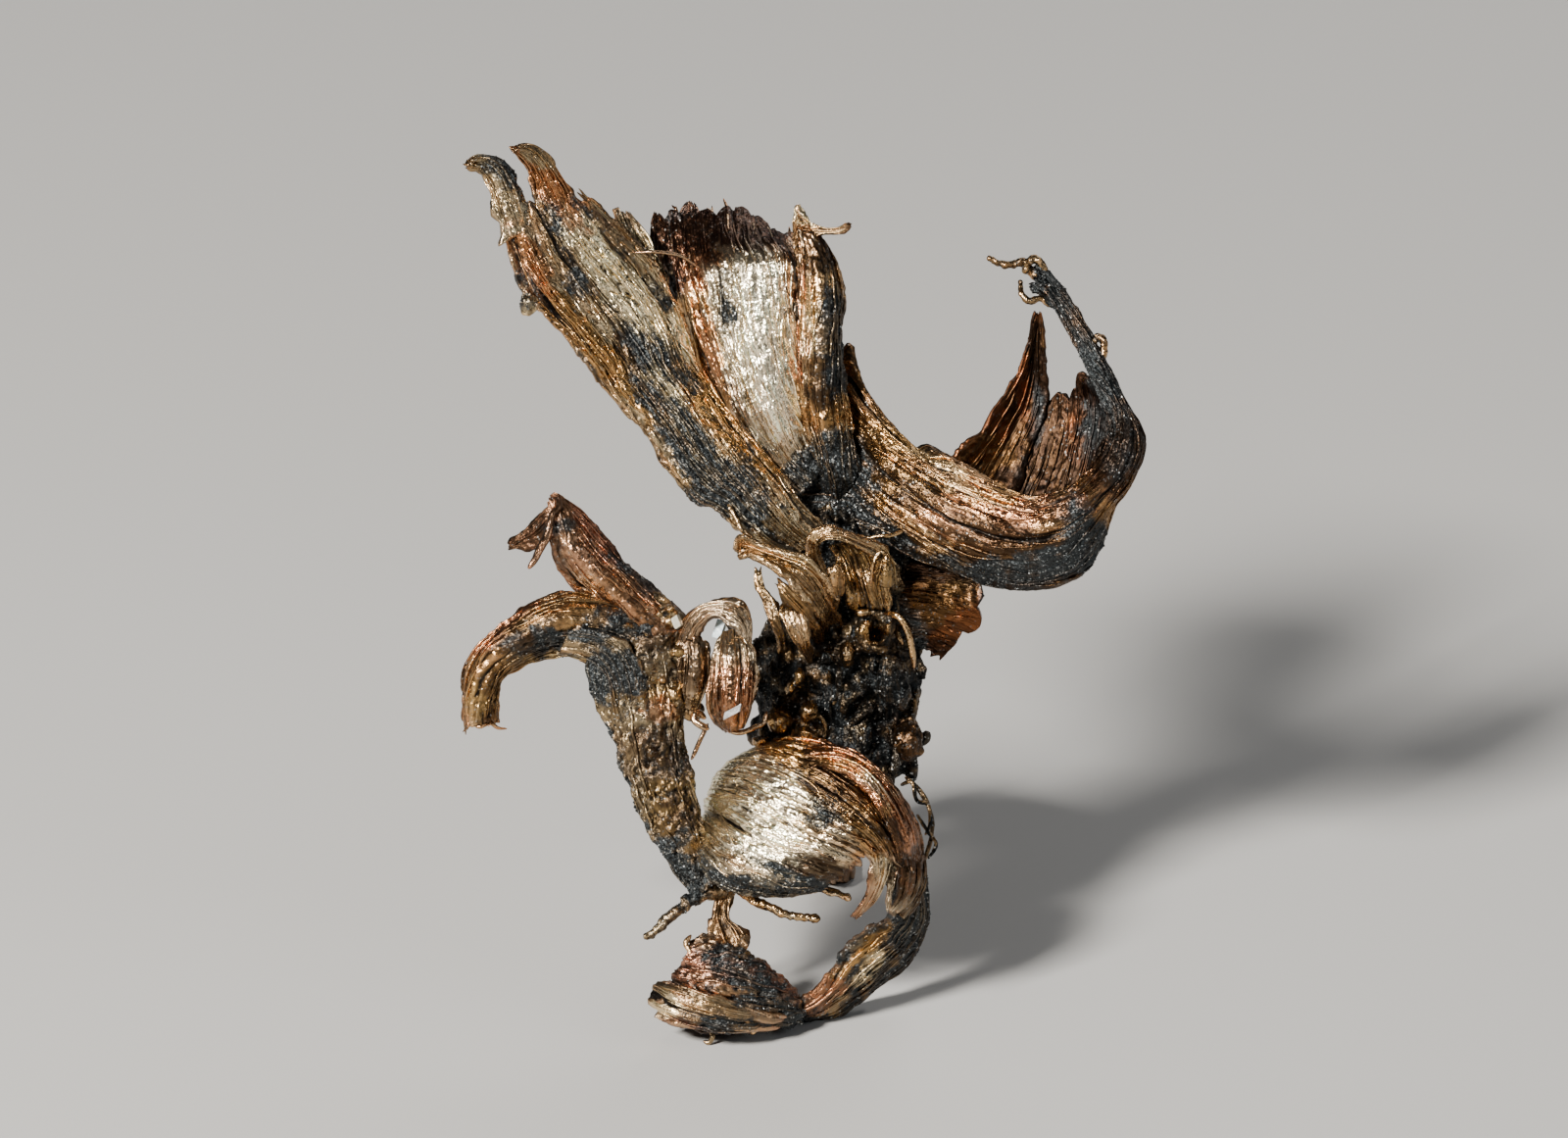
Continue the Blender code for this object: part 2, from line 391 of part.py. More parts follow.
        ((-5.8, 34.8, -3.6), (-5.8, 33, -5), (-5.8, 31.2, -5.4), (-5.9, 29.3, -5.4), (-5.8, 27.7, -4.6),
         (-5.6, 26.7, -2.8)),
        ((-5.2, 34.8, -2.8), (-4.4, 33.8, -3), (-3.7, 32.7, -3), (-3.8, 30.8, -2.8), (-4.2, 28.7, -2.6),
         (-4.9, 26.9, -2.2)),
    ),
    "front_curl": (
        ((3.7, 35.3, 3), (3, 37.8, -1.6), (2.2, 39.7, -3), (0.3, 41.2, -3.4), (-2.2, 42, -2.8),
         (-4.3, 42.7, -2), (-5.4, 42.4, -1.8), (-5.3, 41.5, -1.8), (-4.2, 41, -1.5)),
        ((1.8, 34.2, 3.4), (1.3, 36.2, -0.6), (0.3, 38, -2.4), (-1.1, 39.5, -3), (-2.6, 40.5, -2.6),
         (-4, 41.8, -2), (-4.7, 42, -1.4), (-4.7, 41.5, -1.2), (-3.8, 41.3, -1.2)),
    ),
    "back_curl": (
        ((2.5, 36.5, 3), (1.7, 39.5, 0), (0.7, 41.3, -0.8), (0.7, 42.7, -1.2), (1.5, 43.6, -1.4),
         (3, 43.8, -1.6), (5, 43.4, -1.4), (6.6, 42.6, -1), (8, 41.2, -0.4), (9, 39.2, 2)),
        ((3.8, 37.3, 3), (2.8, 39.5, 0.4), (1.8, 41.2, 0), (1.5, 42.3, -0.4), (2, 42.9, -0.8),
         (3.2, 43, -1.2), (4.7, 42.4, -1), (6, 41.5, -0.6), (7, 40.3, 0), (7.7, 38.7, 2)),
    ),
    "gold_knot": (
        ((2.2, 42, 1), (2.8, 39.5, -1), (4.3, 37.7, -1.4), (6.3, 37.2, -1), (8.2, 38.2, 0)),
        ((3, 42.8, 1), (4.2, 40.5, -2.4), (5.7, 39.2, -2.8), (7.2, 39, -2), (8.5, 39.3, 0)),
        ((4.2, 43, 1.5), (5.5, 42, -1), (6.8, 41.3, -1.4), (7.8, 40.8, -0.8), (8.7, 40, 0.6)),
    ),
    "stem_leaf": (
        ((-1.6, 32.7, 3.4), (-2.2, 34.9, -0.6), (-3, 36.8, -0.8), (-3.7, 38.7, -0.2), (-4, 40.8, 0.4)),
        ((-1.2, 32.7, 3.4), (-1.4, 35.3, -0.6), (-1.8, 37.2, -1), (-2.8, 38.7, -0.4), (-3.3, 40.8, 0.4)),
    ),
    "pointed_leaf": (
        ((0.7, 32.3, 3), (-0.4, 34, -1.2), (-1.3, 34.9, -1.8), (-1.7, 36.6, -1.4), (-0.7, 38.3, 0)),
        ((1.3, 32.5, 3), (1, 34, -1), (1, 35.3, -1.8), (0.5, 37, -1.6), (-0.3, 38.3, 0)),
    ),
    "root_curl": (
        ((-1.7, 28.2, 6.8), (-2.3, 31, 14), (-1.7, 29.8, 22), (-0.8, 26, 28.2), (-1.3, 20.8, 32.8),
         (-1.6, 16.3, 34.8), (-1.3, 13.8, 31.8), (-0.8, 13.8, 27.6), (-0.4, 15.3, 25.8)),
        ((2.5, 28.6, 6.8), (2.5, 32.3, 14.5), (2.2, 31, 23.8), (1.7, 26.3, 31), (1.1, 20.8, 35.4),
         (1, 16, 36.8), (1.2, 13.6, 33), (1.4, 13.9, 28.6), (1.6, 15.5, 26.6)),
        ((6.8, 28.8, 6.8), (7.7, 31.8, 13.6), (6, 30.3, 22.6), (4.2, 26, 29.2), (3.8, 20.8, 33.4),
         (4.3, 16.3, 35.4), (4.7, 13.8, 32.2), (4.3, 13.9, 28.4), (3.8, 15, 26.4)),
    ),
    "shell_petal": (
        ((4.7, 18.2, -6.4), (5.7, 15.8, -6.4), (5.8, 14, -6), (5.3, 12.3, -5.2), (4.2, 10.6, -4.2)),
        ((7.7, 18.2, -5.2), (7.8, 15.5, -5.2), (7.2, 13.7, -5), (6.4, 12.2, -4.6), (4.6, 10.5, -4)),
    ),
    "shell_band": (
        ((8.2, 16.3, -4.6), (8.6, 14.3, -4.2), (8.2, 12.5, -3.2), (7.4, 11.2, -2.2)),
        ((9.5, 16.2, -3.2), (9.7, 14.2, -2.6), (9.2, 12.4, -1.8), (8.2, 10.8, -1.2)),
        ((10.5, 16, -0.8), (10.5, 14, -0.4), (10.1, 12.3, 0), (9, 10.7, 0)),
    ),
    "left_arm": (
        ((-8.7, 12.2, 1), (-9.9, 14.1, 1), (-11.2, 16.2, 1), (-12.8, 18.2, 1), (-13.8, 20.3, 0.9),
         (-14.7, 22.8, 0.8), (-15.7, 26.2, 0.6), (-16.7, 28.5, 0.6), (-17.7, 30.3, 0.6), (-18, 32.2, 0.6),
         (-17, 34.1, 0.4)),
        ((-7.8, 13.2, 0.2), (-8.8, 15.3, 0), (-9.8, 17.4, -0.2), (-10.9, 19.9, -0.4), (-11.8, 22.8, -0.6),
         (-12.8, 26.6, -0.8), (-13.4, 29.3, -1), (-13.7, 31.2, -1.2), (-13.4, 33, -1.4),
         (-12.8, 34.9, -1.4)),
        ((-6.8, 14.1, 0.6), (-7.7, 16.2, 0.8), (-8.5, 18.5, 0.8), (-9, 20.5, 0.8), (-9.3, 22.4, 0.8),
         (-9.9, 24.9, 0.6), (-10, 27.2, 0.6), (-9.5, 29.3, 0.6), (-8.7, 31.2, 0.6), (-8.7, 33.7, 0.4),
         (-9.5, 35.8, 0.4)),
    ),
}


# ---- solids -----------------------------------------------------------------------------------


def place(points):
    """The sheet's points, in millimetres, as metres in the standing frame."""
    across, up, back = (np.asarray(points, float) * MM).T
    lean = math.radians(LEAN)
    deep = up * math.sin(lean) + back * math.cos(lean)
    high = up * math.cos(lean) - back * math.sin(lean)
    return np.stack([across, deep, high], axis=1)


def solid(name, vertices, faces):
    """An object of one closed mesh whose faces point out."""
    mesh = bpy.data.meshes.new(name)
    mesh.from_pydata(vertices.tolist(), [], [tuple(face) for face in faces])
    shape = bmesh.new()
    shape.from_mesh(mesh)
    bmesh.ops.triangulate(shape, faces=shape.faces[:])
    if shape.calc_volume(signed=True) < 0:
        bmesh.ops.reverse_faces(shape, faces=shape.faces[:])
    shape.to_mesh(mesh)
    shape.free()
    obj = bpy.data.objects.new(name, mesh)
    bpy.context.scene.collection.objects.link(obj)
    return obj


def keep_largest(mesh):
    """Drops every island but the one with the most volume."""
    shape = bmesh.new()
    shape.from_mesh(mesh)
    bmesh.ops.remove_doubles(shape, verts=shape.verts[:], dist=WELD * MM)
    waiting, islands = set(shape.verts), []
    while waiting:
        island, edge = set(), [waiting.pop()]
        while edge:
            vertex = edge.pop()
            island.add(vertex)
            for link in vertex.link_edges:
                other = link.other_vert(vertex)
                if other in waiting:
                    waiting.discard(other)
                    edge.append(other)
        islands.append(island)

    def volume(island):
        faces = {face for vertex in island for face in vertex.link_faces}
        return abs(sum(f.calc_area() * f.normal.dot(f.calc_center_median()) for f in faces))

    islands.sort(key=volume)
    for island in islands[:-1]:
        bmesh.ops.delete(shape, geom=list(island), context="VERTS")
    shape.to_mesh(mesh)
    shape.free()


def combine(obj, tools, operation, solver):
    """Applies one Boolean with each tool in turn, and removes the tools."""
    for tool in tools:
        tool.hide_render = True
        tool.display_type = "WIRE"
        modifier = obj.modifiers.new(operation.lower(), "BOOLEAN")
        modifier.operation = operation
        modifier.object = tool
        modifier.solver = solver
        modifier.use_self = solver == "EXACT" and operation == "UNION"
    graph = bpy.context.evaluated_depsgraph_get()
    joined = bpy.data.meshes.new_from_object(obj.evaluated_get(graph))
    obj.modifiers.clear()
    obj.data = joined
    for tool in tools:
        bpy.data.objects.remove(tool)


def finish(name, colour, roughness):
    """The branch's own tarnish."""
    material = bpy.data.materials.new(name + "_tarnish")
    material.use_nodes = True
    shader = material.node_tree.nodes["Principled BSDF"]
    shader.inputs["Base Color"].default_value = (*colour, 1.0)
    shader.inputs["Roughness"].default_value = roughness
    shader.inputs["Metallic"].default_value = 0.0 if name.startswith("calcite") else 1.0
    return material


def grow_branch(name, parts, parents, tarnish):
    """One node: its parts grown together, kept clear of the branches that it springs from."""
    pieces = [solid(f"{name}_{i}", place(part()[0]), part()[1]) for i, part in enumerate(parts)]
    branch = pieces[0]
    branch.name = name
    solver = "MANIFOLD" if name in LOOSE_FOR_EXACT else "EXACT"
    combine(branch, pieces[1:], "UNION", solver)
    cutters = []
    for parent in parents:
        for i, part in enumerate(BRANCHES[parent][0]):
            vertices, faces = part(GAP)
            cutters.append(solid(f"{name}_clear_of_{parent}_{i}", place(vertices), faces))
    cutters.append(under_floor())
    combine(branch, cutters, "DIFFERENCE", solver)
    keep_largest(branch.data)
    branch.data.materials.clear()
    branch.data.materials.append(finish(name, *tarnish))
    return branch


def under_floor():
    """Everything below the floor, which the feet are flattened on."""
    reach = 0.1
    low, high = -0.02, FLOOR * MM
    corners = [(x, y, z) for x in (-reach, reach) for y in (-reach, reach) for z in (low, high)]
    faces = [(0, 1, 3, 2), (4, 6, 7, 5), (0, 4, 5, 1), (2, 3, 7, 6), (0, 2, 6, 4), (1, 5, 7, 3)]
    return solid("floor_cut", np.array(corners), faces)


# ---- the branches: parts grown together, the branches they are kept clear of, and tarnish -----

BRANCHES = {
    "calcite_1": ((rhomb((-10.6, 35.1, -2.4), 1.2, 0.5),), (), WHITE),
    "calcite_2": ((rhomb((-6.8, 35.2, -1.6), 1.3, 1.1),), (), WHITE),
    "calcite_3": ((rhomb((-5.4, 28.3, -5.6), 1.1, 0.9),), (), WHITE),
    "core": (
        (
            lump((3.2, 31.5, 6.0), (7.4, 7.6, 4.6), level=2, rough=0.08, salt=1),
            lump((3.0, 25.5, 5.6), (7.0, 4.6, 4.4), level=2, rough=0.10, salt=2),
            lump((5.0, 38.5, 4.6), (5.4, 4.6, 3.8), level=2, rough=0.10, salt=3),
            lump((4.5, 42.4, 3.4), (4.2, 3.0, 2.8), level=1, rough=0.06, salt=4),
            lump((7.8, 31.2, 1.6), (1.7, 1.9, 1.9), level=1, rough=0.10, salt=5),
            lump((6.4, 35.0, 0.8), (2.2, 1.9, 2.2), level=1, rough=0.10, salt=6),
            lump((8.9, 25.6, 2.8), (1.7, 2.2, 1.8), level=1, rough=0.10, salt=7),
            lump((-1.8, 27.3, 1.8), (1.1, 1.3, 2.6), level=1, salt=8),
            lump((0.7, 28.2, 1.2), (0.9, 1.0, 2.0), level=1, salt=9),
            lump((0.4, 26.5, 0.9), (0.9, 0.8, 2.0), level=1, salt=10),
            lump((4.1, 33.2, 1.0), (0.9, 1.0, 1.7), level=1, salt=11),
            ribbon(RAILS["front_curl"], 0.8, along=10, across=4, ridge=0.1, tip=0.8),
            ribbon(RAILS["back_curl"], 0.8, along=10, across=4, ridge=0.1, tip=0.8),
            ribbon(RAILS["gold_knot"], 1.0, along=6, across=5, ridge=0.12),
            ribbon(RAILS["stem_leaf"], 0.8, along=7, across=3, ridge=0.05),
            ribbon(RAILS["pointed_leaf"], 0.9, along=6, across=4, ridge=0.05),
            limb(
                ((9, 22.6, 3.2), (10.2, 21.5, 2.6), (11, 19.9, 2.2), (11.3, 18, 2), (10.8, 16, 1.9),
                 (10.2, 14.4, 2.4)),
                ((0, 0.5), (0.4, 0.35), (1, 0.3)),
                rings=8, sides=5, salt=9,
            ),
        ),
        ("calcite_2",),
        SOOTY,
    ),
    "rear_curl": (
        (ribbon(RAILS["root_curl"], 1.7, along=15, across=7, ridge=0.28, ragged=0.1, tip=0.7, salt=3),),
        ("core",),
        BLACKENED,
    ),
    "horn": (
        (
            ribbon(RAILS["horn_wall"], 1.1, along=18, across=9, ridge=0.18, tip=0.7),
            ribbon(RAILS["petal_one"], 0.9, along=7, across=5, ridge=0.12, tip=0.3),
            ribbon(RAILS["petal_two"], 0.9, along=6, across=5, ridge=0.12, ragged=0.12, salt=5),
            ribbon(RAILS["petal_three"], 0.9, along=6, across=4, ridge=0.12),
            limb(
                ((20.8, 65.4, 2.2), (19.2, 66.2, 2.0), (17.2, 66.3, 1.8), (15.8, 66.8, 1.6)),
                ((0, 0.6), (0.4, 0.5), (1, 0.25)),
                rings=6, sides=5, salt=9,
            ),
        ),
        ("core",),
        GOLDEN,
    ),
    "left_fan": (
        (
            ribbon(RAILS["left_fan"], 1.2, along=13, across=9, ridge=0.2, ragged=0.03),
            ribbon(RAILS["tip_hook"], 0.9, along=7, across=4, ridge=0.1),
            ribbon(RAILS["tip_horn"], 0.9, along=7, across=5, ridge=0.1),
            ribbon(RAILS["back_tooth"], 0.9, along=5, across=4, ridge=0.1),
            lump((-22.9, 62.8, -3.2), (1.0, 1.3, 0.9), level=1, rough=0.1, salt=12),
        ),
        ("core", "horn"),
        SILVER,
    ),
    "middle_fan": (
        (ribbon(RAILS["middle_fan"], 1.1, along=10, across=10, ridge=0.2, ragged=0.06, salt=2),),
        ("core", "horn", "left_fan"),
        SILVER,
    ),
    "right_fold": (
        (
            ribbon(RAILS["right_fold"], 1.1, along=10, across=6, ridge=0.15),
            ribbon(RAILS["fold_hook"], 0.8, along=7, across=3, ridge=0.0),
        ),
        ("core", "horn", "left_fan", "middle_fan"),
        GOLDEN,
    ),
    "side_fan": (
        (ribbon(RAILS["side_fan"], 1.0, along=7, across=8, ridge=0.15, ragged=0.1, salt=4),),
        ("core", "horn"),
        GOLDEN,
    ),
    "shell": (
        (
            ribbon(RAILS["shell"], 1.3, along=12, across=10, ridge=0.22, tip=0.5),
            ribbon(RAILS["shell_petal"], 0.9, along=6, across=4, ridge=0.05, tip=0.4),
            ribbon(RAILS["shell_hook"], 0.7, along=5, across=3, ridge=0.0),
            ribbon(RAILS["shell_band"], 1.0, along=5, across=4, ridge=0.1),
            limb(
                ((-1, 13.2, -2), (1.5, 13.1, -1), (3.2, 12.7, -1.4), (4.6, 12.4, -2)),
                ((0, 0.5), (0.5, 0.45), (1, 0.25)),
                rings=6, sides=5, salt=9,
            ),
            limb(
                ((-5, 13, 0.2), (-4, 12.2, -0.6), (-2.7, 11.6, -1), (-0.9, 10.9, -1.2), (1.7, 10.6, -1.2)),
                ((0, 0.5), (0.5, 0.4), (1, 0.22)),
                rings=8, sides=5, salt=11,
            ),
        ),
        ("core", "rear_curl"),
        SILVER,
    ),
    "left_arm": (
        (
            ribbon(RAILS["left_arm"], 3.2, along=11, across=6, ridge=0.12, root=0.7, tip=0.8, salt=4),
            lump((-12.2, 34.2, 0), (4.0, 5.0, 1.9), level=1, rough=0.10, salt=6),
            lump((-9.0, 28.2, -0.2), (1.0, 0.9, 1.0), level=1, salt=7),
            limb(
                ((-5.5, 13.6, 1), (-8.5, 12.6, 0.2), (-10.9, 10.8, -0.6), (-13, 8.7, -1)),
                ((0, 0.9), (0.5, 0.6), (1, 0.22)),
                rings=7, sides=6, salt=5,
            ),
        ),
        ("calcite_1", "core", "shell"),
        BLACKENED,
    ),
    "upper_claw": (
        (
            ribbon(RAILS["upper_claw"], 1.1, along=9, across=6, ridge=0.15),
            ribbon(RAILS["claw_flap"], 0.7, along=5, across=3, ridge=0.0),
            limb(
                ((-20.5, 45.6, -2.0), (-21, 44.8, -2.8), (-21.3, 43.4, -3.2), (-21.8, 42.4, -3.6),
                 (-22.4, 41.2, -4), (-23, 40.3, -4.2)),
                ((0, 0.4), (0.7, 0.42), (1, 0.3)),
                rings=7, sides=5, salt=8,
            ),
        ),
        ("calcite_1", "left_arm"),
        COPPERY,
    ),
    "lower_claw": (
        (ribbon(RAILS["lower_claw"], 1.1, along=12, across=6, ridge=0.18, tip=0.6),),
        ("left_arm", "upper_claw"),
        GOLDEN,
    ),
    "arch_curl": (
        (
            ribbon(RAILS["arch"], 0.8, along=10, across=4, ridge=0.08, tip=0.9),
            ribbon(RAILS["gold_leaf"], 1.0, along=6, across=4, ridge=0.05),
            ribbon(RAILS["rolled_leaf"], 1.0, along=7, across=5, ridge=0.1, tip=0.8),
        ),
        ("calcite_1", "calcite_2", "calcite_3", "core", "left_arm", "upper_claw", "lower_claw"),
        GOLDEN,
    ),
    "ring": (
        (ribbon(RAILS["ring"], 1.2, along=13, across=6, ridge=0.18, tip=0.9),),
        ("core", "rear_curl", "shell"),
        BLACKENED,
    ),
    "foot_curl": (
        (
            ribbon(RAILS["foot_front"], 1.4, along=8, across=7, ridge=0.15, root=1.0, tip=1.0),
            ribbon(RAILS["foot_back"], 2.4, along=6, across=4, ridge=0.1, root=1.0, tip=1.0),
            ribbon(RAILS["plate"], 1.0, along=7, across=3, ridge=0.05, tip=0.9),
        ),
        ("shell", "left_arm", "ring"),
        COPPERY,
    ),
}


def stand():
    """Moves the branches so that the middle of the whole thing's box is over the origin, on the floor."""
    nodes = [obj for obj in bpy.data.objects if obj.type == "MESH"]
    corners = np.array([vertex.co[:] for obj in nodes for vertex in obj.data.vertices])
    low, high = corners.min(axis=0), corners.max(axis=0)
    shift = Vector((-(low[0] + high[0]) / 2, -(low[1] + high[1]) / 2, -low[2]))
    for obj in nodes:
        obj.data.transform(Matrix.Translation(shift))


def main():
    for obj in list(bpy.data.objects):
        bpy.data.objects.remove(obj, do_unlink=True)
    for name, (parts, parents, tarnish) in BRANCHES.items():
        grow_branch(name, parts, parents, tarnish)
    stand()


main()
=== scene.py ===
"""Dresses the native silver specimen: ribbons of striated, tarnished wire grown round a dark core.

Every branch is drawn on a sheet that leans back from the floor, as points (across, up, back) in
millimetres. A ribbon's rails run with its wires, from root to tip. Its skin is a weave of round
strands between them, and loose wires and crystals of black crust are laid on the skin by Geometry Nodes.
"""

from __future__ import annotations

import itertools
import logging
import math
from dataclasses import dataclass, replace
from enum import Enum
from functools import cache

import bmesh
import bpy
import numpy as np
from bpy.types import ID, Material, Mesh, Node, NodeSocket, NodeTree, Object
from mathutils import Euler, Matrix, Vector


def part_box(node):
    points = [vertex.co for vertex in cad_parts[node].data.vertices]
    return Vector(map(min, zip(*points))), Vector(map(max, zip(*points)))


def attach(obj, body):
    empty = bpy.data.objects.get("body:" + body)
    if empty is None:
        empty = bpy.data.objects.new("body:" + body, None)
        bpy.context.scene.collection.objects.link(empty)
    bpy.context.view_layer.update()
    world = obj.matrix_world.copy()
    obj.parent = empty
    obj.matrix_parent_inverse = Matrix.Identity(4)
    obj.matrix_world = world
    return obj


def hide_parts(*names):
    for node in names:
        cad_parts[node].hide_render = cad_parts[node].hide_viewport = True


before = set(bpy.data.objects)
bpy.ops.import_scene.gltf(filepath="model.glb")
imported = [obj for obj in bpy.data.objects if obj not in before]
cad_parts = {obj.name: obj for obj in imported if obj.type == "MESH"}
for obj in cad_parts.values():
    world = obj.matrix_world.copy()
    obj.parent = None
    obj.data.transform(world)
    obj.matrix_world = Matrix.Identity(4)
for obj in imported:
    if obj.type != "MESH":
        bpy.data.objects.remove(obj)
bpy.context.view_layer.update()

LOG = logging.getLogger("specimen")

BODY = "root"
MM = 0.001
DETAIL = 1.0  # share of the full number of rows and columns
LEAN = math.radians(22)  # how far the sheet leans back from upright
ANCHOR_NODE = "calcite_1"  # the rhomb that ties the sheet to the frame
ANCHOR = (-10.6, 35.1, -2.4)  # its centre on the sheet

DENSE = 200  # samples along a rail before it is divided evenly
ROW_STEP = 0.2  # length of a ribbon's faces, in millimetres
STRAND_COLUMNS = 5  # faces across each strand
MOST_POINTS = 38000  # points on one side of a ribbon
RIM = 0.3  # thickness of a ribbon's rim against its middle
LEAST_WALL = 0.1  # half of a ribbon's least thickness, in millimetres
STRAY_SHARE = 5.0 * DETAIL  # how many short wires are strewn for each one that a ribbon asks for
WIRE_KINK = 0.16 * MM  # how far a loose wire strays from its route
FINE_RELIEF = 0.08 * MM  # height of the relief that only the materials have
SLANT = 0.25  # how far a cleavage block leans

Points = np.ndarray
Triple = tuple[float, float, float]


# ---- shapes of lines and surfaces -------------------------------------------------------------


def run(points: Points, axis: int = 0) -> np.ndarray:
    """How long each line of points is along an axis."""
    return np.linalg.norm(np.diff(points, axis=axis), axis=-1).sum(axis=axis)


def smooth(points: Points | tuple[Triple, ...], count: int) -> Points:
    """Divides a smooth curve through some points evenly.

    Args:
        points: the points that the curve passes, as rows.
        count: how many points are wanted.

    Returns:
        Even samples of a Catmull-Rom curve.
    """
    points = np.asarray(points, float)
    if len(points) == 2:
        steps = np.linspace(0.0, 1.0, count)[:, None]
        return points[0] * (1 - steps) + points[1] * steps
    ends = np.vstack([2 * points[0] - points[1], points, 2 * points[-1] - points[-2]])
    dense = []
    for i in range(1, len(ends) - 2):
        before, start, end, after = ends[i - 1 : i + 3]
        t = np.linspace(0.0, 1.0, DENSE // len(points) + 2, endpoint=False)[:, None]
        bend = (2 * before - 5 * start + 4 * end - after) * t**2
        twist = (3 * start - before - 3 * end + after) * t**3
        dense.append(0.5 * (2 * start + (end - before) * t + bend + twist))
    dense = np.vstack([*dense, points[-1:]])
    length = np.concatenate([[0.0], np.cumsum(np.linalg.norm(np.diff(dense, axis=0), axis=1))])
    wanted = np.linspace(0.0, length[-1], count)
    return np.stack([np.interp(wanted, length, column) for column in dense.T], axis=1)


def unit(vectors: Points) -> Points:
    """The vectors at length one."""
    return vectors / np.maximum(np.linalg.norm(vectors, axis=-1, keepdims=True), 1e-9)


def jitter(index: int, salt: float) -> float:
    """The fixed wobble from -1 to 1 that the solids' ragged tips have."""
    return math.sin(index * 12.9898 + salt * 78.233) * math.cos(index * 4.1414 + salt)


def hashed(cells: tuple[np.ndarray, ...], seed: int) -> np.ndarray:
    """A fixed random number from -1 to 1 for each cell of a lattice.

    Args:
        cells: whole-number coordinates, one array for each axis.
        seed: which of the lattices is wanted.

    Returns:
        The numbers, in the shape that the coordinates share.
    """
    mixed = np.int64(seed) * 974711
    for cell, prime in zip(cells, (374761393, 668265263, 2246822519)):
        mixed = mixed + cell.astype(np.int64) * prime
    mixed = (mixed ^ (mixed >> 13)) & 0xFFFFFFFF
    mixed = (mixed * 1274126177) & 0xFFFFFFFF
    mixed = ((mixed ^ (mixed >> 16)) * 1597334677) & 0xFFFFFFFF
    return ((mixed >> 8) & 0xFFFF) / 32767.5 - 1.0


def chance(index: int, seed: int) -> float:
    """A fixed random number from -1 to 1."""
    return float(hashed((np.array(index),), seed))


def cells(points: np.ndarray) -> tuple[np.ndarray, np.ndarray]:
    """The lattice cell that holds each number, and how far inside it the number is, eased."""
    low = np.floor(points).astype(np.int64)
    part = points - low
    return low, part * part * (3 - 2 * part)


def noise(points: Points, seed: int) -> np.ndarray:
    """Smooth noise from -1 to 1 with a wavelength of about two, at points of two or three axes."""
    low, part = cells(points)
    total = np.zeros(points.shape[:-1])
    for corner in itertools.product((0, 1), repeat=points.shape[-1]):
        weight = np.ones(points.shape[:-1])
        for axis, step in enumerate(corner):
            weight = weight * (part[..., axis] if step else 1 - part[..., axis])
        total += weight * hashed(tuple(low[..., axis] + step for axis, step in enumerate(corner)), seed)
    return total


def rough_noise(points: Points, seed: int, octaves: int = 3) -> np.ndarray:
    """Noise with finer noise on it, each octave half the size and half the height."""
    return sum(0.5**k * noise(points * 2.0**k, seed + 31 * k) for k in range(octaves))


def strand_noise(strand: np.ndarray, along: np.ndarray, seed: int) -> np.ndarray:
    """Noise that each strand has for itself along its length."""
    low, part = cells(along)
    return hashed((strand, low), seed) * (1 - part) + hashed((strand, low + 1), seed) * part


def pitted(points: Points, seed: int) -> np.ndarray:
    """How deep inside a ragged pit each point of a plane is, from 0 to 1; some cells have no pit."""
    points = points + 0.35 * noise(points * 1.9, seed + 4)[..., None] * (1.0, -0.8)
    low = np.floor(points).astype(np.int64)
    deepest = np.zeros(points.shape[:-1])
    for step in itertools.product((-1, 0, 1), repeat=2):
        cell = (low[..., 0] + step[0], low[..., 1] + step[1])
        middle = [cell[k] + 0.5 + 0.45 * hashed(cell, seed + k) for k in range(2)]
        radius = 0.14 + 0.3 * hashed(cell, seed + 2)
        away = np.hypot(points[..., 0] - middle[0], points[..., 1] - middle[1])
        deepest = np.maximum(deepest, np.clip(1.6 * (1 - away / np.maximum(radius, 0.02)), 0, 1))
    return deepest


@dataclass(frozen=True)
class Weave:
    """Round strands side by side over a grid of rows (along) and columns (across).

    height runs from 0 to 1, groove from 0 on a crest to 1 in a gap, and tone from -1 to 1 for each strand.
    """

    height: np.ndarray
    groove: np.ndarray
    tone: np.ndarray

    @classmethod
    def laid(cls, across: np.ndarray, along: np.ndarray, count: float, seed: int, wander: float,
             wave: float) -> Weave:
        """Lays the strands.

        Args:
            across: each column's place from 0 to 1.
            along: each row's place, in millimetres.
            count: how many strands lie side by side.
            seed: which weave is wanted.
            wander: how far a strand strays, in strand widths.
            wave: the length over which it strays, in millimetres.

        Returns:
            The weave.
        """
        x = np.broadcast_to(across[None, :] * count, (along.size, across.size))
        y = np.broadcast_to(along[:, None], x.shape)
        drift = x + 0.6 * noise(np.stack([x / 6, y / (wave * 1.7)], axis=-1), seed + 5)
        below = np.floor(drift).astype(np.int64)
        height, crest, tone = np.zeros(x.shape), np.zeros(x.shape), np.zeros(x.shape)
        for step in (-2, -1, 0, 1, 2):
            strand = below + step
            middle = strand + 0.5 + wander * strand_noise(strand, y / wave, seed)
            half = 0.66 + 0.26 * hashed((strand,), seed + 1)
            arch = np.sqrt(np.clip(1 - ((drift - middle) / half) ** 2, 0, 1))
            lift = 0.5 + 0.5 * strand_noise(strand, y / (wave * 0.5), seed + 2)
            bead = 0.5 + 0.5 * strand_noise(strand, y / (wave * 0.13), seed + 4)
            rise = np.where(arch > 0, 0.5 * arch + (0.35 * lift + 0.15 * bead) * np.minimum(1, arch * 2.5), 0)
            top = rise > height
            height = np.where(top, rise, height)
            crest = np.where(top, arch, crest)
            tone = np.where(top, hashed((strand,), seed + 3), tone)
        return cls(height, 1 - crest, tone)


# ---- tarnish, with some painted shade and highlight -------------------------------------------

MASKS = ("warm", "copper", "smoke", "crust", "tone", "groove")
Masks = dict[str, np.ndarray]


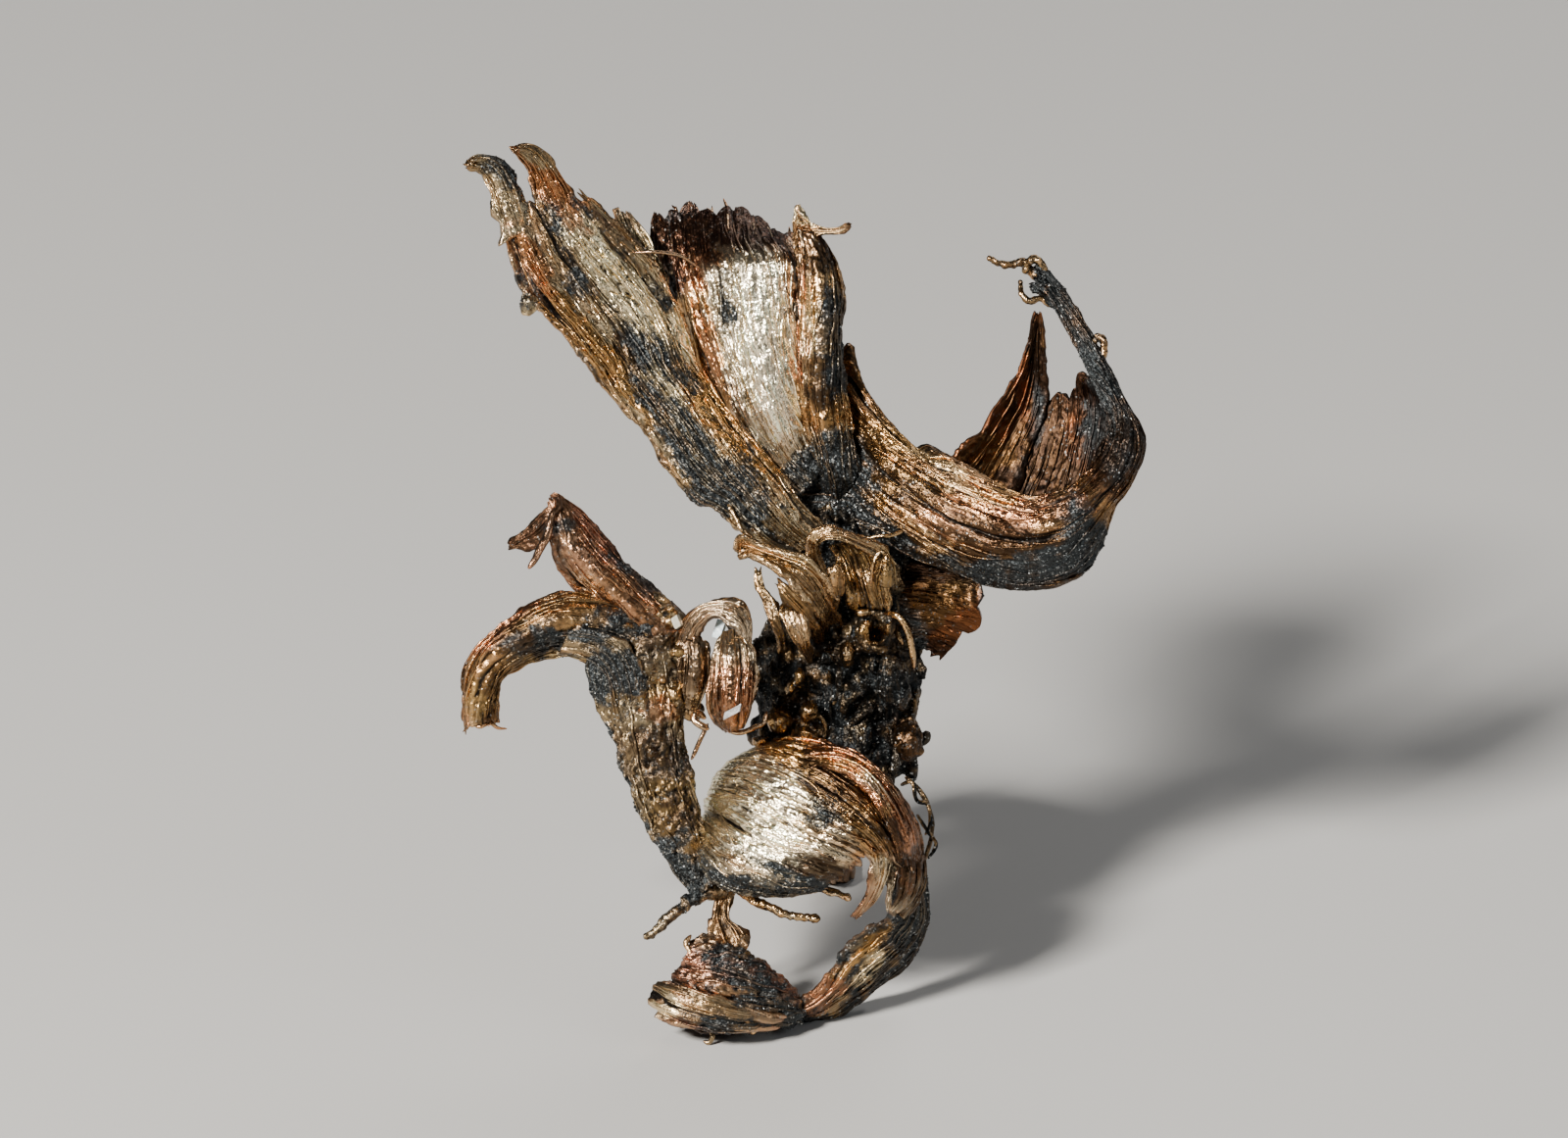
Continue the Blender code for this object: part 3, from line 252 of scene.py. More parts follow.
class Tarnish(Enum):
    """What a patch is covered with, and what that adds to each mask; some pale patches are partly a painted
    highlight, some dark brown ones partly painted shade.
    """

    PALE = {"warm": -0.7, "copper": -0.6, "smoke": -0.8, "crust": -0.6, "tone": 0.4}
    WARM = {"warm": 1.0, "smoke": -0.3, "crust": -0.4}
    COPPER = {"copper": 1.0, "smoke": -0.3, "crust": -0.3}
    SMOKE = {"smoke": 1.1, "tone": -0.3}
    CRUST = {"crust": 1.1, "tone": -0.2}


@dataclass(frozen=True)
class Patch:
    """One patch of tarnish: an ellipse on the sheet, in millimetres, turned by some degrees."""

    kind: Tarnish
    across: float
    up: float
    wide: float
    high: float
    turn: float = 0.0
    strength: float = 1.0

    def cover(self, points: Points) -> np.ndarray:
        """How much of the patch lies on each point, from 0 to its strength."""
        angle = math.radians(self.turn)
        x, y = points[:, 0] - self.across, points[:, 1] - self.up
        x, y = x * math.cos(angle) + y * math.sin(angle), y * math.cos(angle) - x * math.sin(angle)
        away = np.hypot(x / self.wide, y / self.high)
        edge = 0.32 * rough_noise(points * 0.9, 77) + 0.16 * noise(points * 4.0, 78)
        return self.strength * np.clip((1.18 - away - edge) / 0.36, 0, 1)


Patches = tuple[Patch, ...]


def spots(**kinds: list[tuple[float, ...]]) -> Patches:
    """Patches of tarnish, from the rows of sizes for each kind."""
    return tuple(Patch(Tarnish[kind.upper()], *sizes) for kind, rows in kinds.items() for sizes in rows)


@dataclass(frozen=True)
class Tones:
    """A branch's own balance of tarnish, before its patches: each from 0 to 1."""

    warm: float = 0.3
    copper: float = 0.1
    smoke: float = 0.2
    crust: float = 0.1
    edge: float = 0.4

    def masks(self, points: Points, grooves: np.ndarray, tones: np.ndarray, rim: np.ndarray,
              patches: Patches, seed: int) -> Masks:
        """Works out each kind of tarnish over a surface.

        Args:
            points: the surface's points on the sheet, in millimetres.
            grooves: 0 on a crest, 1 in a gap.
            tones: each strand's own tone.
            rim: how near each point is to an edge or a tip, from 0 to 1.
            patches: the patches that lie on this branch.
            seed: which noise is wanted.

        Returns:
            One array for each name in MASKS.
        """
        quick = rough_noise(points / 1.1, seed + 9)
        worn = {
            "warm": self.warm + 0.28 * noise(points / 4.0, seed) + 0.16 * quick + 0.2 * tones,
            "copper": self.copper + 0.2 * noise(points / 2.6, seed + 17) + self.edge * rim**2 + 0.12 * tones,
            "smoke": self.smoke + 0.3 * noise(points / 2.2, seed + 29) + 0.25 * quick - 0.15 * tones,
            "crust": self.crust - 0.25 + 0.3 * noise(points / 3.1, seed + 23) + 0.3 * quick + 0.3 * grooves,
            "tone": 0.5 + 0.4 * tones + 0.12 * quick,
            "groove": grooves,
        }
        for patch in patches:
            cover = patch.cover(points)
            for name, gain in patch.kind.value.items():
                worn[name] = worn[name] + gain * cover
        return {name: np.clip(mask, 0, 1) for name, mask in worn.items()}


# ---- sheets of mesh ---------------------------------------------------------------------------


@dataclass
class Sheet:
    """A closed surface on the sheet, in millimetres, with what its material reads."""

    points: Points
    faces: np.ndarray
    fibre: Points
    masks: Masks


def grid_faces(rows: int, columns: int) -> np.ndarray:
    """The faces of a closed plate between a front grid and a back grid of one size."""
    index = np.arange(rows * columns).reshape(rows, columns)
    front = np.stack([index[:-1, :-1], index[:-1, 1:], index[1:, 1:], index[1:, :-1]], axis=-1).reshape(-1, 4)
    under = rows * columns
    rim = np.concatenate([index[0], index[1:, -1], index[-1, -2::-1], index[-2:0:-1, 0]])
    turned = np.roll(rim, -1)
    side = np.stack([turned, rim, under + rim, under + turned], axis=-1)
    return np.concatenate([front, under + front[:, ::-1], side])


def place(points: Points) -> Points:
    """The sheet's points, in millimetres, as metres in the standing frame, before the shift."""
    across, up, back = (np.asarray(points, float) * MM).T
    deep = up * math.sin(LEAN) + back * math.cos(LEAN)
    high = up * math.cos(LEAN) - back * math.sin(LEAN)
    return np.stack([across, deep, high], axis=1)


SHIFT = np.mean(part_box(ANCHOR_NODE), axis=0) - place([ANCHOR])[0]  # from the sheet's place to the frame's


def standing(points: Points) -> Points:
    """The sheet's points, in millimetres, where they stand in the frame, in metres, above the floor."""
    placed = place(points) + SHIFT
    placed[:, 2] = np.maximum(placed[:, 2], 0.0)
    return placed


def linked(name: str, data: ID) -> Object:
    """A new object in the scene, at the origin."""
    obj = bpy.data.objects.new(name, data)
    bpy.context.scene.collection.objects.link(obj)
    return obj


def store(mesh: Mesh, layer: str, values: list[np.ndarray]) -> None:
    """Keeps a number for each of a mesh's points."""
    kept = np.concatenate(values).astype(np.float32)
    mesh.attributes.new(layer, "FLOAT", "POINT").data.foreach_set("value", kept)


def mesh_object(name: str, sheets: list[Sheet], material: Material) -> Object:
    """Joins sheets in one object whose faces point out.

    Args:
        name: the object's name.
        sheets: closed surfaces on the sheet.
        material: the object's finish.

    Returns:
        The object, linked to the scene, with its place in its mesh.
    """
    mesh = bpy.data.meshes.new(name)
    count = np.cumsum([0] + [len(sheet.points) for sheet in sheets])
    points = standing(np.concatenate([sheet.points for sheet in sheets]))
    turned = []
    for first, sheet in zip(count, sheets):
        faces = sheet.faces
        corners = points[first + faces]
        spread = np.cross(corners[:, 1] - corners[:, 0], corners[:, 2] - corners[:, 0])
        if faces.shape[1] == 4:
            spread = spread + np.cross(corners[:, 2] - corners[:, 0], corners[:, 3] - corners[:, 0])
        if np.einsum("ij,ij->", spread, corners.mean(axis=1) - points.mean(axis=0)) < 0:
            faces = faces[:, ::-1]
        turned += (first + faces).tolist()
    mesh.from_pydata(points.tolist(), [], turned)
    mesh.shade_smooth()
    mesh.materials.append(material)
    for mask in MASKS:
        store(mesh, mask, [sheet.masks[mask] for sheet in sheets])
    fibre = np.concatenate([sheet.fibre for sheet in sheets])
    corner = np.empty(len(mesh.loops), np.int32)
    mesh.loops.foreach_get("vertex_index", corner)
    mesh.uv_layers.new(name="fibre").data.foreach_set("uv", fibre[corner].astype(np.float32).ravel())
    return linked(name, mesh)


@dataclass
class Front:
    """The side of a ribbon that faces the viewer: its grid, its outward direction and its masks."""

    grid: Points
    outward: Points
    masks: Masks

    def at(self, t: np.ndarray, s: np.ndarray, rise: np.ndarray) -> tuple[Points, Masks]:
        """Points over the front, and the masks there.

        Args:
            t: each point's place along the ribbon, from 0 to 1.
            s: its place across.
            rise: its height over the surface, in millimetres.

        Returns:
            The points and their masks.
        """
        rows, columns = self.grid.shape[:2]
        y, x = np.clip(t, 0, 1) * (rows - 1), np.clip(s, 0, 1) * (columns - 1)
        r, c = np.minimum(y.astype(int), rows - 2), np.minimum(x.astype(int), columns - 2)
        fy, fx = (y - r)[:, None], (x - c)[:, None]
        point = self.grid[r, c] * (1 - fy) * (1 - fx) + self.grid[r + 1, c] * fy * (1 - fx)
        point = point + self.grid[r, c + 1] * (1 - fy) * fx + self.grid[r + 1, c + 1] * fy * fx
        masks = {name: mask[r, c] for name, mask in self.masks.items()}
        return point + self.outward[r, c] * rise[:, None], masks


@dataclass(frozen=True)
class Ribbon:
    """A ribbon of strands between rails.

    Lengths are in millimetres. ragged is the share of its length that the solid's tip varies by, with the
    solid's count of columns and salt. fray is how deep its tip is torn, into teeth that are tooth wide.
    bundle is the width of the folds that the strands gather in, and fold how high those are. pits and
    slits are how deep the pores and the cracks are, and knobs how high the lumps. root and tip are its
    thickness there against its middle. strays and fringe count its loose wires. tones are its own balance
    of tarnish, where it differs from its branch's.
    """

    rails: str
    thick: float
    seed: int
    pitch: float = 0.5
    relief: float = 0.26
    bundle: float = 2.4
    fold: float = 0.3
    ragged: float = 0.0
    columns: int = 6
    salt: float = 1.0
    fray: float = 0.5
    root: float = 1.0
    tip: float = 0.5
    pits: float = 0.0
    edge_wobble: float = 0.35
    strays: int = 6
    fringe: int = 0
    slits: float = 0.14
    knobs: float = 0.07
    tooth: float = 1.0
    tones: Tones | None = None

    def lines(self) -> Points:
        """The rails, each divided evenly."""
        return np.array([smooth(rail, DENSE) for rail in RAILS[self.rails]])

    def surface(self, rows: int, columns: int) -> tuple[Points, Points, np.ndarray]:
        """Stretches the ribbon's middle surface between its rails, as far as its torn tip.

        Args:
            rows: points along it.
            columns: points across it.

        Returns:
            The surface, its normals, and each row's place in millimetres.
        """
        skin = np.array([smooth(column, columns) for column in zip(*self.lines())])
        length = float(np.mean(run(skin)))
        knots = np.linspace(0, 1, self.columns)
        teeth = [1 - self.ragged * (0.5 + 0.5 * jitter(c, self.salt)) for c in range(self.columns)]
        t = np.linspace(0, 1, columns)
        tooth = t * float(run(skin, 1).max()) / self.tooth + 0.3 * self.seed
        spread = np.abs(tooth - np.floor(tooth) - 0.5) * 2
        bite = 0.5 + 0.5 * hashed((np.floor(tooth).astype(np.int64),), self.seed + 40)
        torn = 1.2 * bite + 0.8 * spread**1.6
        reach = np.clip(np.interp(t, knots, teeth) - self.fray * torn / max(length, 1.0), 0.3, 1.0)
        share = np.linspace(0, 1, rows)
        steps = share[:, None] * reach[None, :] * (DENSE - 1)
        low = np.minimum(steps.astype(int), DENSE - 2)
        part = (steps - low)[..., None]
        pick = np.arange(columns)[None, :]
        grid = skin[low, pick] * (1 - part) + skin[low + 1, pick] * part
        normal = unit(np.cross(unit(np.gradient(grid, axis=0)), unit(np.gradient(grid, axis=1))))
        return grid, normal, share * length

    def carved(self, flat: Points, weaves: tuple[Weave, Weave], narrow: np.ndarray, rim: np.ndarray,
               on_sheet: Points, tones: Tones, patches: Patches, seed: int) -> tuple[np.ndarray, Masks]:
        """Carves one side of the ribbon.

        Args:
            flat: each point's place across and along, in millimetres.
            weaves: its strands, and the folds that they gather in.
            narrow: each row's width against the widest.
            rim: how near each point is to an edge or the tip, from 0 to 1.
            on_sheet: the points on the sheet, as rows.
            tones: the balance of tarnish.
            patches: the patches of tarnish.
            seed: which noise is wanted.

        Returns:
            How far each point is lifted, and the masks of tarnish as rows.
        """
        strands, folds = weaves
        holes = pitted(flat / 0.7, seed + 70) if self.pits else 0 * rim
        slit = noise(flat / (0.5, 2.2), seed + 80) + 0.35 * noise(flat / 3, seed + 81)
        slit = np.clip((slit - 0.4) / 0.2, 0, 1)
        pebbles = rough_noise(flat * 2.4, seed + 60)
        specks = np.clip(-1.4 * pebbles - 0.25, 0, 1) * min(1.0, self.knobs * 3.5)
        # Pits, dark specks and cracks join the gaps, which the finish paints near black: partly tarnish,
        # partly painted shade.
        deep = np.maximum(np.maximum(holes, specks), slit * min(1.0, self.slits * 4))
        show = min(0.8, self.relief * 4)
        groove = np.clip(strands.groove * show + folds.groove**3 * min(1.0, self.fold * 2) + deep, 0, 1)
        tone = np.clip(strands.tone * show + folds.tone * 0.4, -1, 1)
        worn = tones.masks(on_sheet, groove.ravel(), tone.ravel(), rim.ravel(), patches, seed)
        crusted = worn["crust"].reshape(rim.shape)
        worn["groove"] = worn["groove"] * (1 - 0.5 * worn["crust"])
        grain = (0.035 + 0.28 * self.knobs) * pebbles + 0.8 * self.knobs * rough_noise(flat / 1.1, seed + 61)
        woven = self.relief * (strands.height - 0.45) * (1 - 0.75 * crusted)
        lift = narrow * (woven + self.fold * (folds.height - 0.55) * (1 - 0.3 * crusted)) + grain
        lift = lift + crusted * (0.04 + 0.12 * rough_noise(flat * 1.4, seed + 62)) - self.pits * holes
        lift = lift - self.slits * slit * (1 - 0.6 * crusted)
        lift[:, [0, -1]] *= 0.4
        return lift, worn

    def sheet(self, tones: Tones, patches: Patches) -> tuple[Sheet, Front]:
        """Weaves the ribbon's skin.

        Args:
            tones: the branch's balance of tarnish.
            patches: its patches of tarnish.

        Returns:
            The closed skin, and its front, for loose wires to lie on.
        """
        lines = self.lines()
        broad = float(run(lines).max())
        rows, columns = float(run(lines, 1).max()) / ROW_STEP, broad / self.pitch * STRAND_COLUMNS
        spare = min(1.0, math.sqrt(MOST_POINTS / (rows * columns))) * DETAIL
        rows, columns = max(int(rows * spare), 16), max(int(columns * spare), 14)
        grid, normal, along = self.surface(rows, columns)
        narrow = np.clip(run(grid, 1) / broad, 0.25, 1)[:, None]
        t, share, across = np.linspace(-1, 1, columns), np.linspace(0, 1, rows), np.linspace(0, 1, columns)
        taper = np.interp(share, (0, 0.3, 1), (self.root, 1.0, self.tip))
        half = 0.5 * self.thick * taper[:, None] * (RIM + (1 - RIM) * np.sqrt(1 - np.abs(t) ** 3))[None, :]
        sway = np.stack([0 * half + along[:, None] / 1.6, 0 * half + t[None, :] * 2], axis=-1)
        wobble = self.edge_wobble * rough_noise(sway, self.seed + 3)
        swing = wobble * np.abs(t[None, :]) ** 4 * np.sign(t[None, :])
        grid = grid + unit(np.gradient(grid, axis=1)) * swing[..., None]
        rim = np.maximum(np.abs(t)[None, :] ** 5, share[:, None] ** 6)
        flat = np.stack([0 * half + (across * broad)[None, :], 0 * half + along[:, None]], axis=-1)
        on_sheet = grid.reshape(-1, 3)[:, :2]
        sides, masks = [], []
        for side, seed in ((1, self.seed * 100), (-1, self.seed * 100 + 7)):
            weaves = (Weave.laid(across, along, max(3.0, broad / self.pitch), seed, 0.42, 7.0),
                      Weave.laid(across, along, max(1.5, broad / self.bundle), seed + 50, 0.5, 16.0))
            lift, worn = self.carved(flat, weaves, narrow, rim, on_sheet, tones, patches, seed)
            sides.append(grid + side * normal * np.maximum(half + lift, LEAST_WALL)[..., None])
            masks.append(worn)
        points = np.concatenate([side.reshape(-1, 3) for side in sides])
        joined = {name: np.concatenate([mask[name] for mask in masks]) for name in MASKS}
        fibre = np.concatenate([flat.reshape(-1, 2), flat.reshape(-1, 2) + (37.0, 11.0)])
        facing, side = (1, 0) if (normal[..., 2] < 0).mean() > 0.5 else (-1, 1)
        laid = {name: mask.reshape(rows, columns) for name, mask in masks[side].items()}
        skin = Sheet(points, grid_faces(rows, columns), fibre, joined)
        return skin, Front(sides[side], normal * facing, laid)


@dataclass(frozen=True)
class Lump:
    """A knobbly lump: its centre and half sizes, in millimetres."""

    centre: Triple
    size: Triple
    seed: int = 1

    def ball(self, level: int) -> tuple[Points, np.ndarray]:
        """The lump as an icosphere's points and triangles."""
        shape = bmesh.new()
        bmesh.ops.create_icosphere(shape, subdivisions=level, radius=1.0)
        directions, faces = taken(shape)
        swell = 1 + 0.07 * noise(directions * 2.2 + self.seed, self.seed)
        return np.array(self.centre) + directions * np.array(self.size) * swell[:, None], faces


def taken(shape: bmesh.types.BMesh) -> tuple[Points, np.ndarray]:
    """A shape's points and triangles; the shape itself is freed."""
    points = np.array([vertex.co[:] for vertex in shape.verts])
    faces = np.array([[vertex.index for vertex in face.verts] for face in shape.faces])
    shape.free()
    return points, faces


def fused(lumps: list[Lump], voxel: float, level: int) -> tuple[Points, np.ndarray, Points, np.ndarray]:
    """Melts lumps that overlap into one skin.

    Args:
        lumps: the lumps.
        voxel: the size of the skin's faces, in millimetres.
        level: how finely each lump is divided before it is melted.

    Returns:
        The skin's points, its faces, its outward normals, and how hollow it is at each point: over 0 in a
        crevice, under 0 on a crest.
    """
    points, faces, count = [], [], 0
    for lump in lumps:
        ball, sides = lump.ball(level)
        points.append(ball)
        faces += (sides + count).tolist()
        count += len(ball)
    mesh = bpy.data.meshes.new("melt")
    mesh.from_pydata(np.concatenate(points).tolist(), [], faces)
    obj = linked("melt", mesh)
    remesh = obj.modifiers.new("melt", "REMESH")
    remesh.mode, remesh.voxel_size = "VOXEL", voxel / DETAIL
    skin = bpy.data.meshes.new_from_object(obj.evaluated_get(bpy.context.evaluated_depsgraph_get()))
    bpy.data.objects.remove(obj)
    out = np.array([vertex.co[:] for vertex in skin.vertices])
    normals = np.array([vertex.normal[:] for vertex in skin.vertices])
    sides = np.array([list(face.vertices) for face in skin.polygons])
    edges = np.array([edge.vertices[:] for edge in skin.edges])
    bpy.data.meshes.remove(skin)
    both = np.concatenate([edges, edges[:, ::-1]])
    degree = np.bincount(both[:, 0], minlength=len(out))[:, None]

    def spread(values: np.ndarray) -> np.ndarray:
        """The mean of each point's neighbours."""
        total = np.zeros(values.shape)
        np.add.at(total, both[:, 0], values[both[:, 1]])
        return total / degree

    hollow = np.einsum("ij,ij->i", spread(out) - out, normals)[:, None]
    for _ in range(2):
        hollow = 0.4 * hollow + 0.6 * spread(hollow)
    return out, sides, normals, hollow[:, 0] / (voxel / DETAIL) ** 2


def knobbly(lumps: list[Lump], voxel: float, tones: Tones, patches: Patches, seed: int,
            pits: float = 0.0, roughness: float = 1.0) -> Sheet:
    """Melts lumps together and roughens them.

    Args:
        lumps: the lumps.
        voxel: the size of the skin's faces, in millimetres.
        tones: the branch's balance of tarnish.
        patches: its patches.
        seed: which noise is wanted.
        pits: how deep its pores are, in millimetres.
        roughness: how rough it is, against the core.

    Returns:
        The rough skin.
    """
    points, faces, normals, hollow = fused(lumps, voxel, 5 if len(lumps) < 8 else 4)
    coarse = rough_noise(points / 1.5, seed)
    fine = rough_noise(points * 1.7, seed + 3)
    pore = np.clip(noise(points * 1.25, seed + 5) * 2.2 - 0.55, 0, 1) if pits else np.zeros(len(points))
    lift = roughness * (0.2 * coarse + 0.1 * fine) - pits * pore - 0.12 * roughness
    moved = points + normals * lift[:, None]
    # Hollows get more of the near-black gap colour and a darker tone: partly tarnish in the crevices, partly
    # painted shade.
    groove = np.clip(-0.5 * coarse - 0.4 * fine + pore * 0.9 + 0.9 * hollow, 0, 1)
    tone = np.clip(fine - 0.5 * hollow, -1, 1)
    masks = tones.masks(moved[:, :2], groove, tone, np.zeros(len(points)), patches, seed)
    return Sheet(moved, faces, points[:, :2], masks)


def chain(route: tuple[Triple, ...], radii: tuple[float, float], seed: int, step: float = 0.9) -> list[Lump]:
    """A crooked limb as a row of lumps that overlap.

    Args:
        route: points along the limb's middle, in millimetres.
        radii: its radius at its root and its tip.
        seed: which random choice is wanted.
        step: the distance between lumps, as a share of the radius.

    Returns:
        The lumps.
    """
    rng = np.random.default_rng(seed)
    line = smooth(route, 60)
    length = run(line)
    lumps, place_at = [], 0.0
    while place_at < length:
        share = place_at / length
        radius = radii[0] * (1 - share) + radii[1] * share
        centre = line[int(share * (len(line) - 1))] + rng.normal(0, 0.12 * radius, 3)
        size = radius * rng.uniform(0.85, 1.15, 3)
        lumps.append(Lump(tuple(centre), tuple(size), seed + len(lumps)))
        place_at += radius * step * rng.uniform(0.7, 1.1)
    return lumps


Ribbons = tuple[Ribbon, ...]


# ---- node trees -------------------------------------------------------------------------------


class Graph:
    """A node tree in the making. A step adds a node and gives the socket of its result."""

    def __init__(self, tree: NodeTree) -> None:
        """Starts on a tree."""
        self.tree = tree
        self.prefix = "ShaderNode" if tree.type == "SHADER" else "GeometryNode"

    @classmethod
    def named(cls, name: str, kind: str, inputs: dict[str, tuple[str, object]],
              outputs: dict[str, str]) -> Graph:
        """Starts a tree with named sockets.

        Args:
            name: the tree's name.
            kind: "Shader" or "Geometry".
            inputs: each input's kind of socket and starting value, by name.
            outputs: each output's kind of socket, by name.

        Returns:
            The tree, still without nodes.
        """
        graph = cls(bpy.data.node_groups.new(name, kind + "NodeTree"))
        face = graph.tree.interface
        for key, (socket, value) in inputs.items():
            made = face.new_socket(key, in_out="INPUT", socket_type="NodeSocket" + socket)
            if value is not None:
                made.default_value = value
        for key, socket in outputs.items():
            face.new_socket(key, in_out="OUTPUT", socket_type="NodeSocket" + socket)
        return graph

    def given(self) -> dict[str, NodeSocket]:
        """The tree's inputs, by name."""
        return {socket.name: socket for socket in self.tree.nodes.new("NodeGroupInput").outputs}

    def feed(self, node: Node, values: dict[str | int, object]) -> NodeTree:
        """Fills a node's inputs.

        Args:
            node: the node.
            values: a plain value or the socket of a result, by the input's name or number.

        Returns:
            The tree.
        """
        for key, value in values.items():
            named = (socket for socket in node.inputs if socket.enabled and socket.name == key)
            target = node.inputs[key] if isinstance(key, int) else next(named)
            if isinstance(value, NodeSocket):
                self.tree.links.new(value, target)
            else:
                target.default_value = value
        return self.tree

    def node(self, kind: str, *values: object, **named: object) -> Node:
        """Adds a node.

        Args:
            kind: its type, which may be without the tree's own prefix.
            values: its inputs in order.
            named: its properties, in lower case, and its inputs, capitalised, with _ for a space.

        Returns:
            The node.
        """
        node = self.tree.nodes.new(kind if "Node" in kind else self.prefix + kind)
        for key, value in named.items():
            if key[0].islower():
                setattr(node, key, value)
        inputs = {key.replace("_", " "): value for key, value in named.items() if key[0].isupper()}
        self.feed(node, {**dict(enumerate(values)), **inputs})
        return node

    def step(self, kind: str, *values: object, **named: object) -> NodeSocket:
        """Adds a node and gives its first result; the arguments are those of node."""
        return next(socket for socket in self.node(kind, *values, **named).outputs if socket.enabled)

    def position(self) -> NodeSocket:
        """The place of each point of the object."""
        return self.node("ShaderNodeTexCoord").outputs["Object"]

    def maths(self, operation: str, *values: object, clamp: bool = False) -> NodeSocket:
        """One step of arithmetic."""
        return self.step("ShaderNodeMath", *values, operation=operation, use_clamp=clamp)

    def add(self, *values: object, clamp: bool = False) -> NodeSocket:
        """The sum of two numbers."""
        return self.maths("ADD", *values, clamp=clamp)

    def times(self, *values: object, clamp: bool = False) -> NodeSocket:
        """The product of two numbers."""
        return self.maths("MULTIPLY", *values, clamp=clamp)

    def vector(self, operation: str, *values: object, **named: object) -> NodeSocket:
        """One step of arithmetic on vectors."""
        return self.step("ShaderNodeVectorMath", *values, operation=operation, **named)

    def mixed(self, amount: object, first: object, second: object, blend: str = "MIX") -> NodeSocket:
        """Two colours mixed."""
        return self.step("ShaderNodeMix", data_type="RGBA", blend_type=blend, Factor=amount, A=first,
                         B=second)

    def grown_in(self, finish: NodeSocket, geometry: NodeSocket, result: str) -> NodeTree:
        """Ends a Geometry Nodes tree: its instances made real, and its finish set."""
        real = self.step("RealizeInstances", Geometry=geometry)
        done = self.step("SetMaterial", Geometry=real, Material=finish)
        return self.feed(self.tree.nodes.new("NodeGroupOutput"), {result: done})


# ---- what repeats: loose wires and crystals ---------------------------------------------------


@dataclass
class Wire:
    """One loose wire: its route in millimetres, its radius, and how much of it tapers at each end."""

    route: Points
    radius: float
    taper: float = 0.35
    tone: float = 0.0
    copper: float = 0.0
    crust: float = 0.0
    masks: Masks | None = None

    def worn(self, name: str, ends: np.ndarray) -> np.ndarray:
        """One mask along the wire: what it lies on, or its own plain tarnish; ends falls to 0 at its tips."""
        if self.masks is not None:
            return self.masks[name]
        tone = 0.5 + 0.5 * self.tone
        plain = {"warm": 0.3 + 0.4 * tone, "copper": self.copper + 0.4 * (1 - ends),
                 "smoke": 0.45 - 0.35 * tone, "crust": self.crust, "tone": tone, "groove": 0.0}
        return np.clip(plain[name] + 0 * ends, 0, 1)


def loose(count: int, radius: float, taper: float, tone: float, copper: float, *route: Triple) -> Wire:
    """A wire on a smooth route, divided into count points."""
    return Wire(smooth(route, count), radius, taper, tone, copper)


@cache
def wire_tree() -> NodeTree:
    """Builds the tree that turns edges into round, slightly kinked wires."""
    graph = Graph.named(
        "loose_wires", "Geometry",
        {"Routes": ("Geometry", None), "Sides": ("Int", 6), "Kink": ("Float", 0.00012),
         "Kink Scale": ("Float", 900.0), "Seed": ("Float", 0.0), "Finish": ("Material", None)},
        {"Wires": "Geometry"},
    )
    given = graph.given()
    curve = graph.step("MeshToCurve", Mesh=given["Routes"])
    kink = graph.node("ShaderNodeTexNoise", noise_dimensions="4D", W=given["Seed"], Scale=given["Kink Scale"],
                      Detail=1.0)
    centred = graph.vector("SUBTRACT", kink.outputs["Color"], (0.5, 0.5, 0.5))
    offset = graph.vector("SCALE", centred, Scale=given["Kink"])
    moved = graph.step("SetPosition", Geometry=curve, Offset=offset)
    thickness = graph.step("InputNamedAttribute", data_type="FLOAT", Name="thickness")
    circle = graph.step("CurvePrimitiveCircle", Resolution=given["Sides"], Radius=1.0)
    tube = graph.step("CurveToMesh", Curve=moved, Profile_Curve=circle, Scale=thickness, Fill_Caps=True)
    soft = graph.step("SetShadeSmooth", Geometry=tube)
    return graph.grown_in(given["Finish"], soft, "Wires")


@cache
def crystal_tree() -> NodeTree:
    """Builds the tree that strews small crystals over the crusted parts of a skin."""
    graph = Graph.named(
        "crust_crystals", "Geometry",
        {"Skin": ("Geometry", None), "Density": ("Float", 6.0e6), "Least Crust": ("Float", 0.55),
         "Size": ("Float", 0.00012), "Seed": ("Int", 1), "Finish": ("Material", None)},
        {"Crystals": "Geometry"},
    )
    given = graph.given()
    crust = graph.step("InputNamedAttribute", data_type="FLOAT", Name="crust")
    density = graph.times(graph.maths("GREATER_THAN", crust, given["Least Crust"]), given["Density"])
    points = graph.step("DistributePointsOnFaces", Mesh=given["Skin"], Density=density,
                        Seed=given["Seed"])
    cube = graph.step("MeshCube", Size=(1.0, 1.0, 1.0))
    turn = graph.step("FunctionNodeRandomValue", data_type="FLOAT_VECTOR", Max=(6.28, 6.28, 6.28),
                      Seed=given["Seed"])
    spread = graph.step("FunctionNodeRandomValue", data_type="FLOAT", Min=0.35, Max=1.35, Seed=given["Seed"])
    size = graph.times(spread, given["Size"])
    strewn = graph.step("InstanceOnPoints", Points=points, Instance=cube, Rotation=turn, Scale=size)
    return graph.grown_in(given["Finish"], strewn, "Crystals")


def grown(obj: Object, name: str, tree: NodeTree, inputs: dict[str, object]) -> Object:
    """Runs a tree on an object's mesh and keeps the result as a plain mesh of its own.

    Args:
        obj: the object that the tree starts from; it is left as it is.
        name: the new object's name.
        tree: the Geometry Nodes tree.
        inputs: the value of each named input.

    Returns:
        The new object.
    """
    made = linked(name, obj.data)
    modifier = made.modifiers.new(tree.name, "NODES")
    modifier.node_group = tree
    for item in tree.interface.items_tree:
        if item.in_out == "INPUT" and item.name in inputs:
            modifier[item.identifier] = inputs[item.name]
    graph = bpy.context.evaluated_depsgraph_get()
    mesh = bpy.data.meshes.new_from_object(made.evaluated_get(graph), depsgraph=graph)
    made.modifiers.clear()
    made.data = mesh
    mesh.name = name
    return made


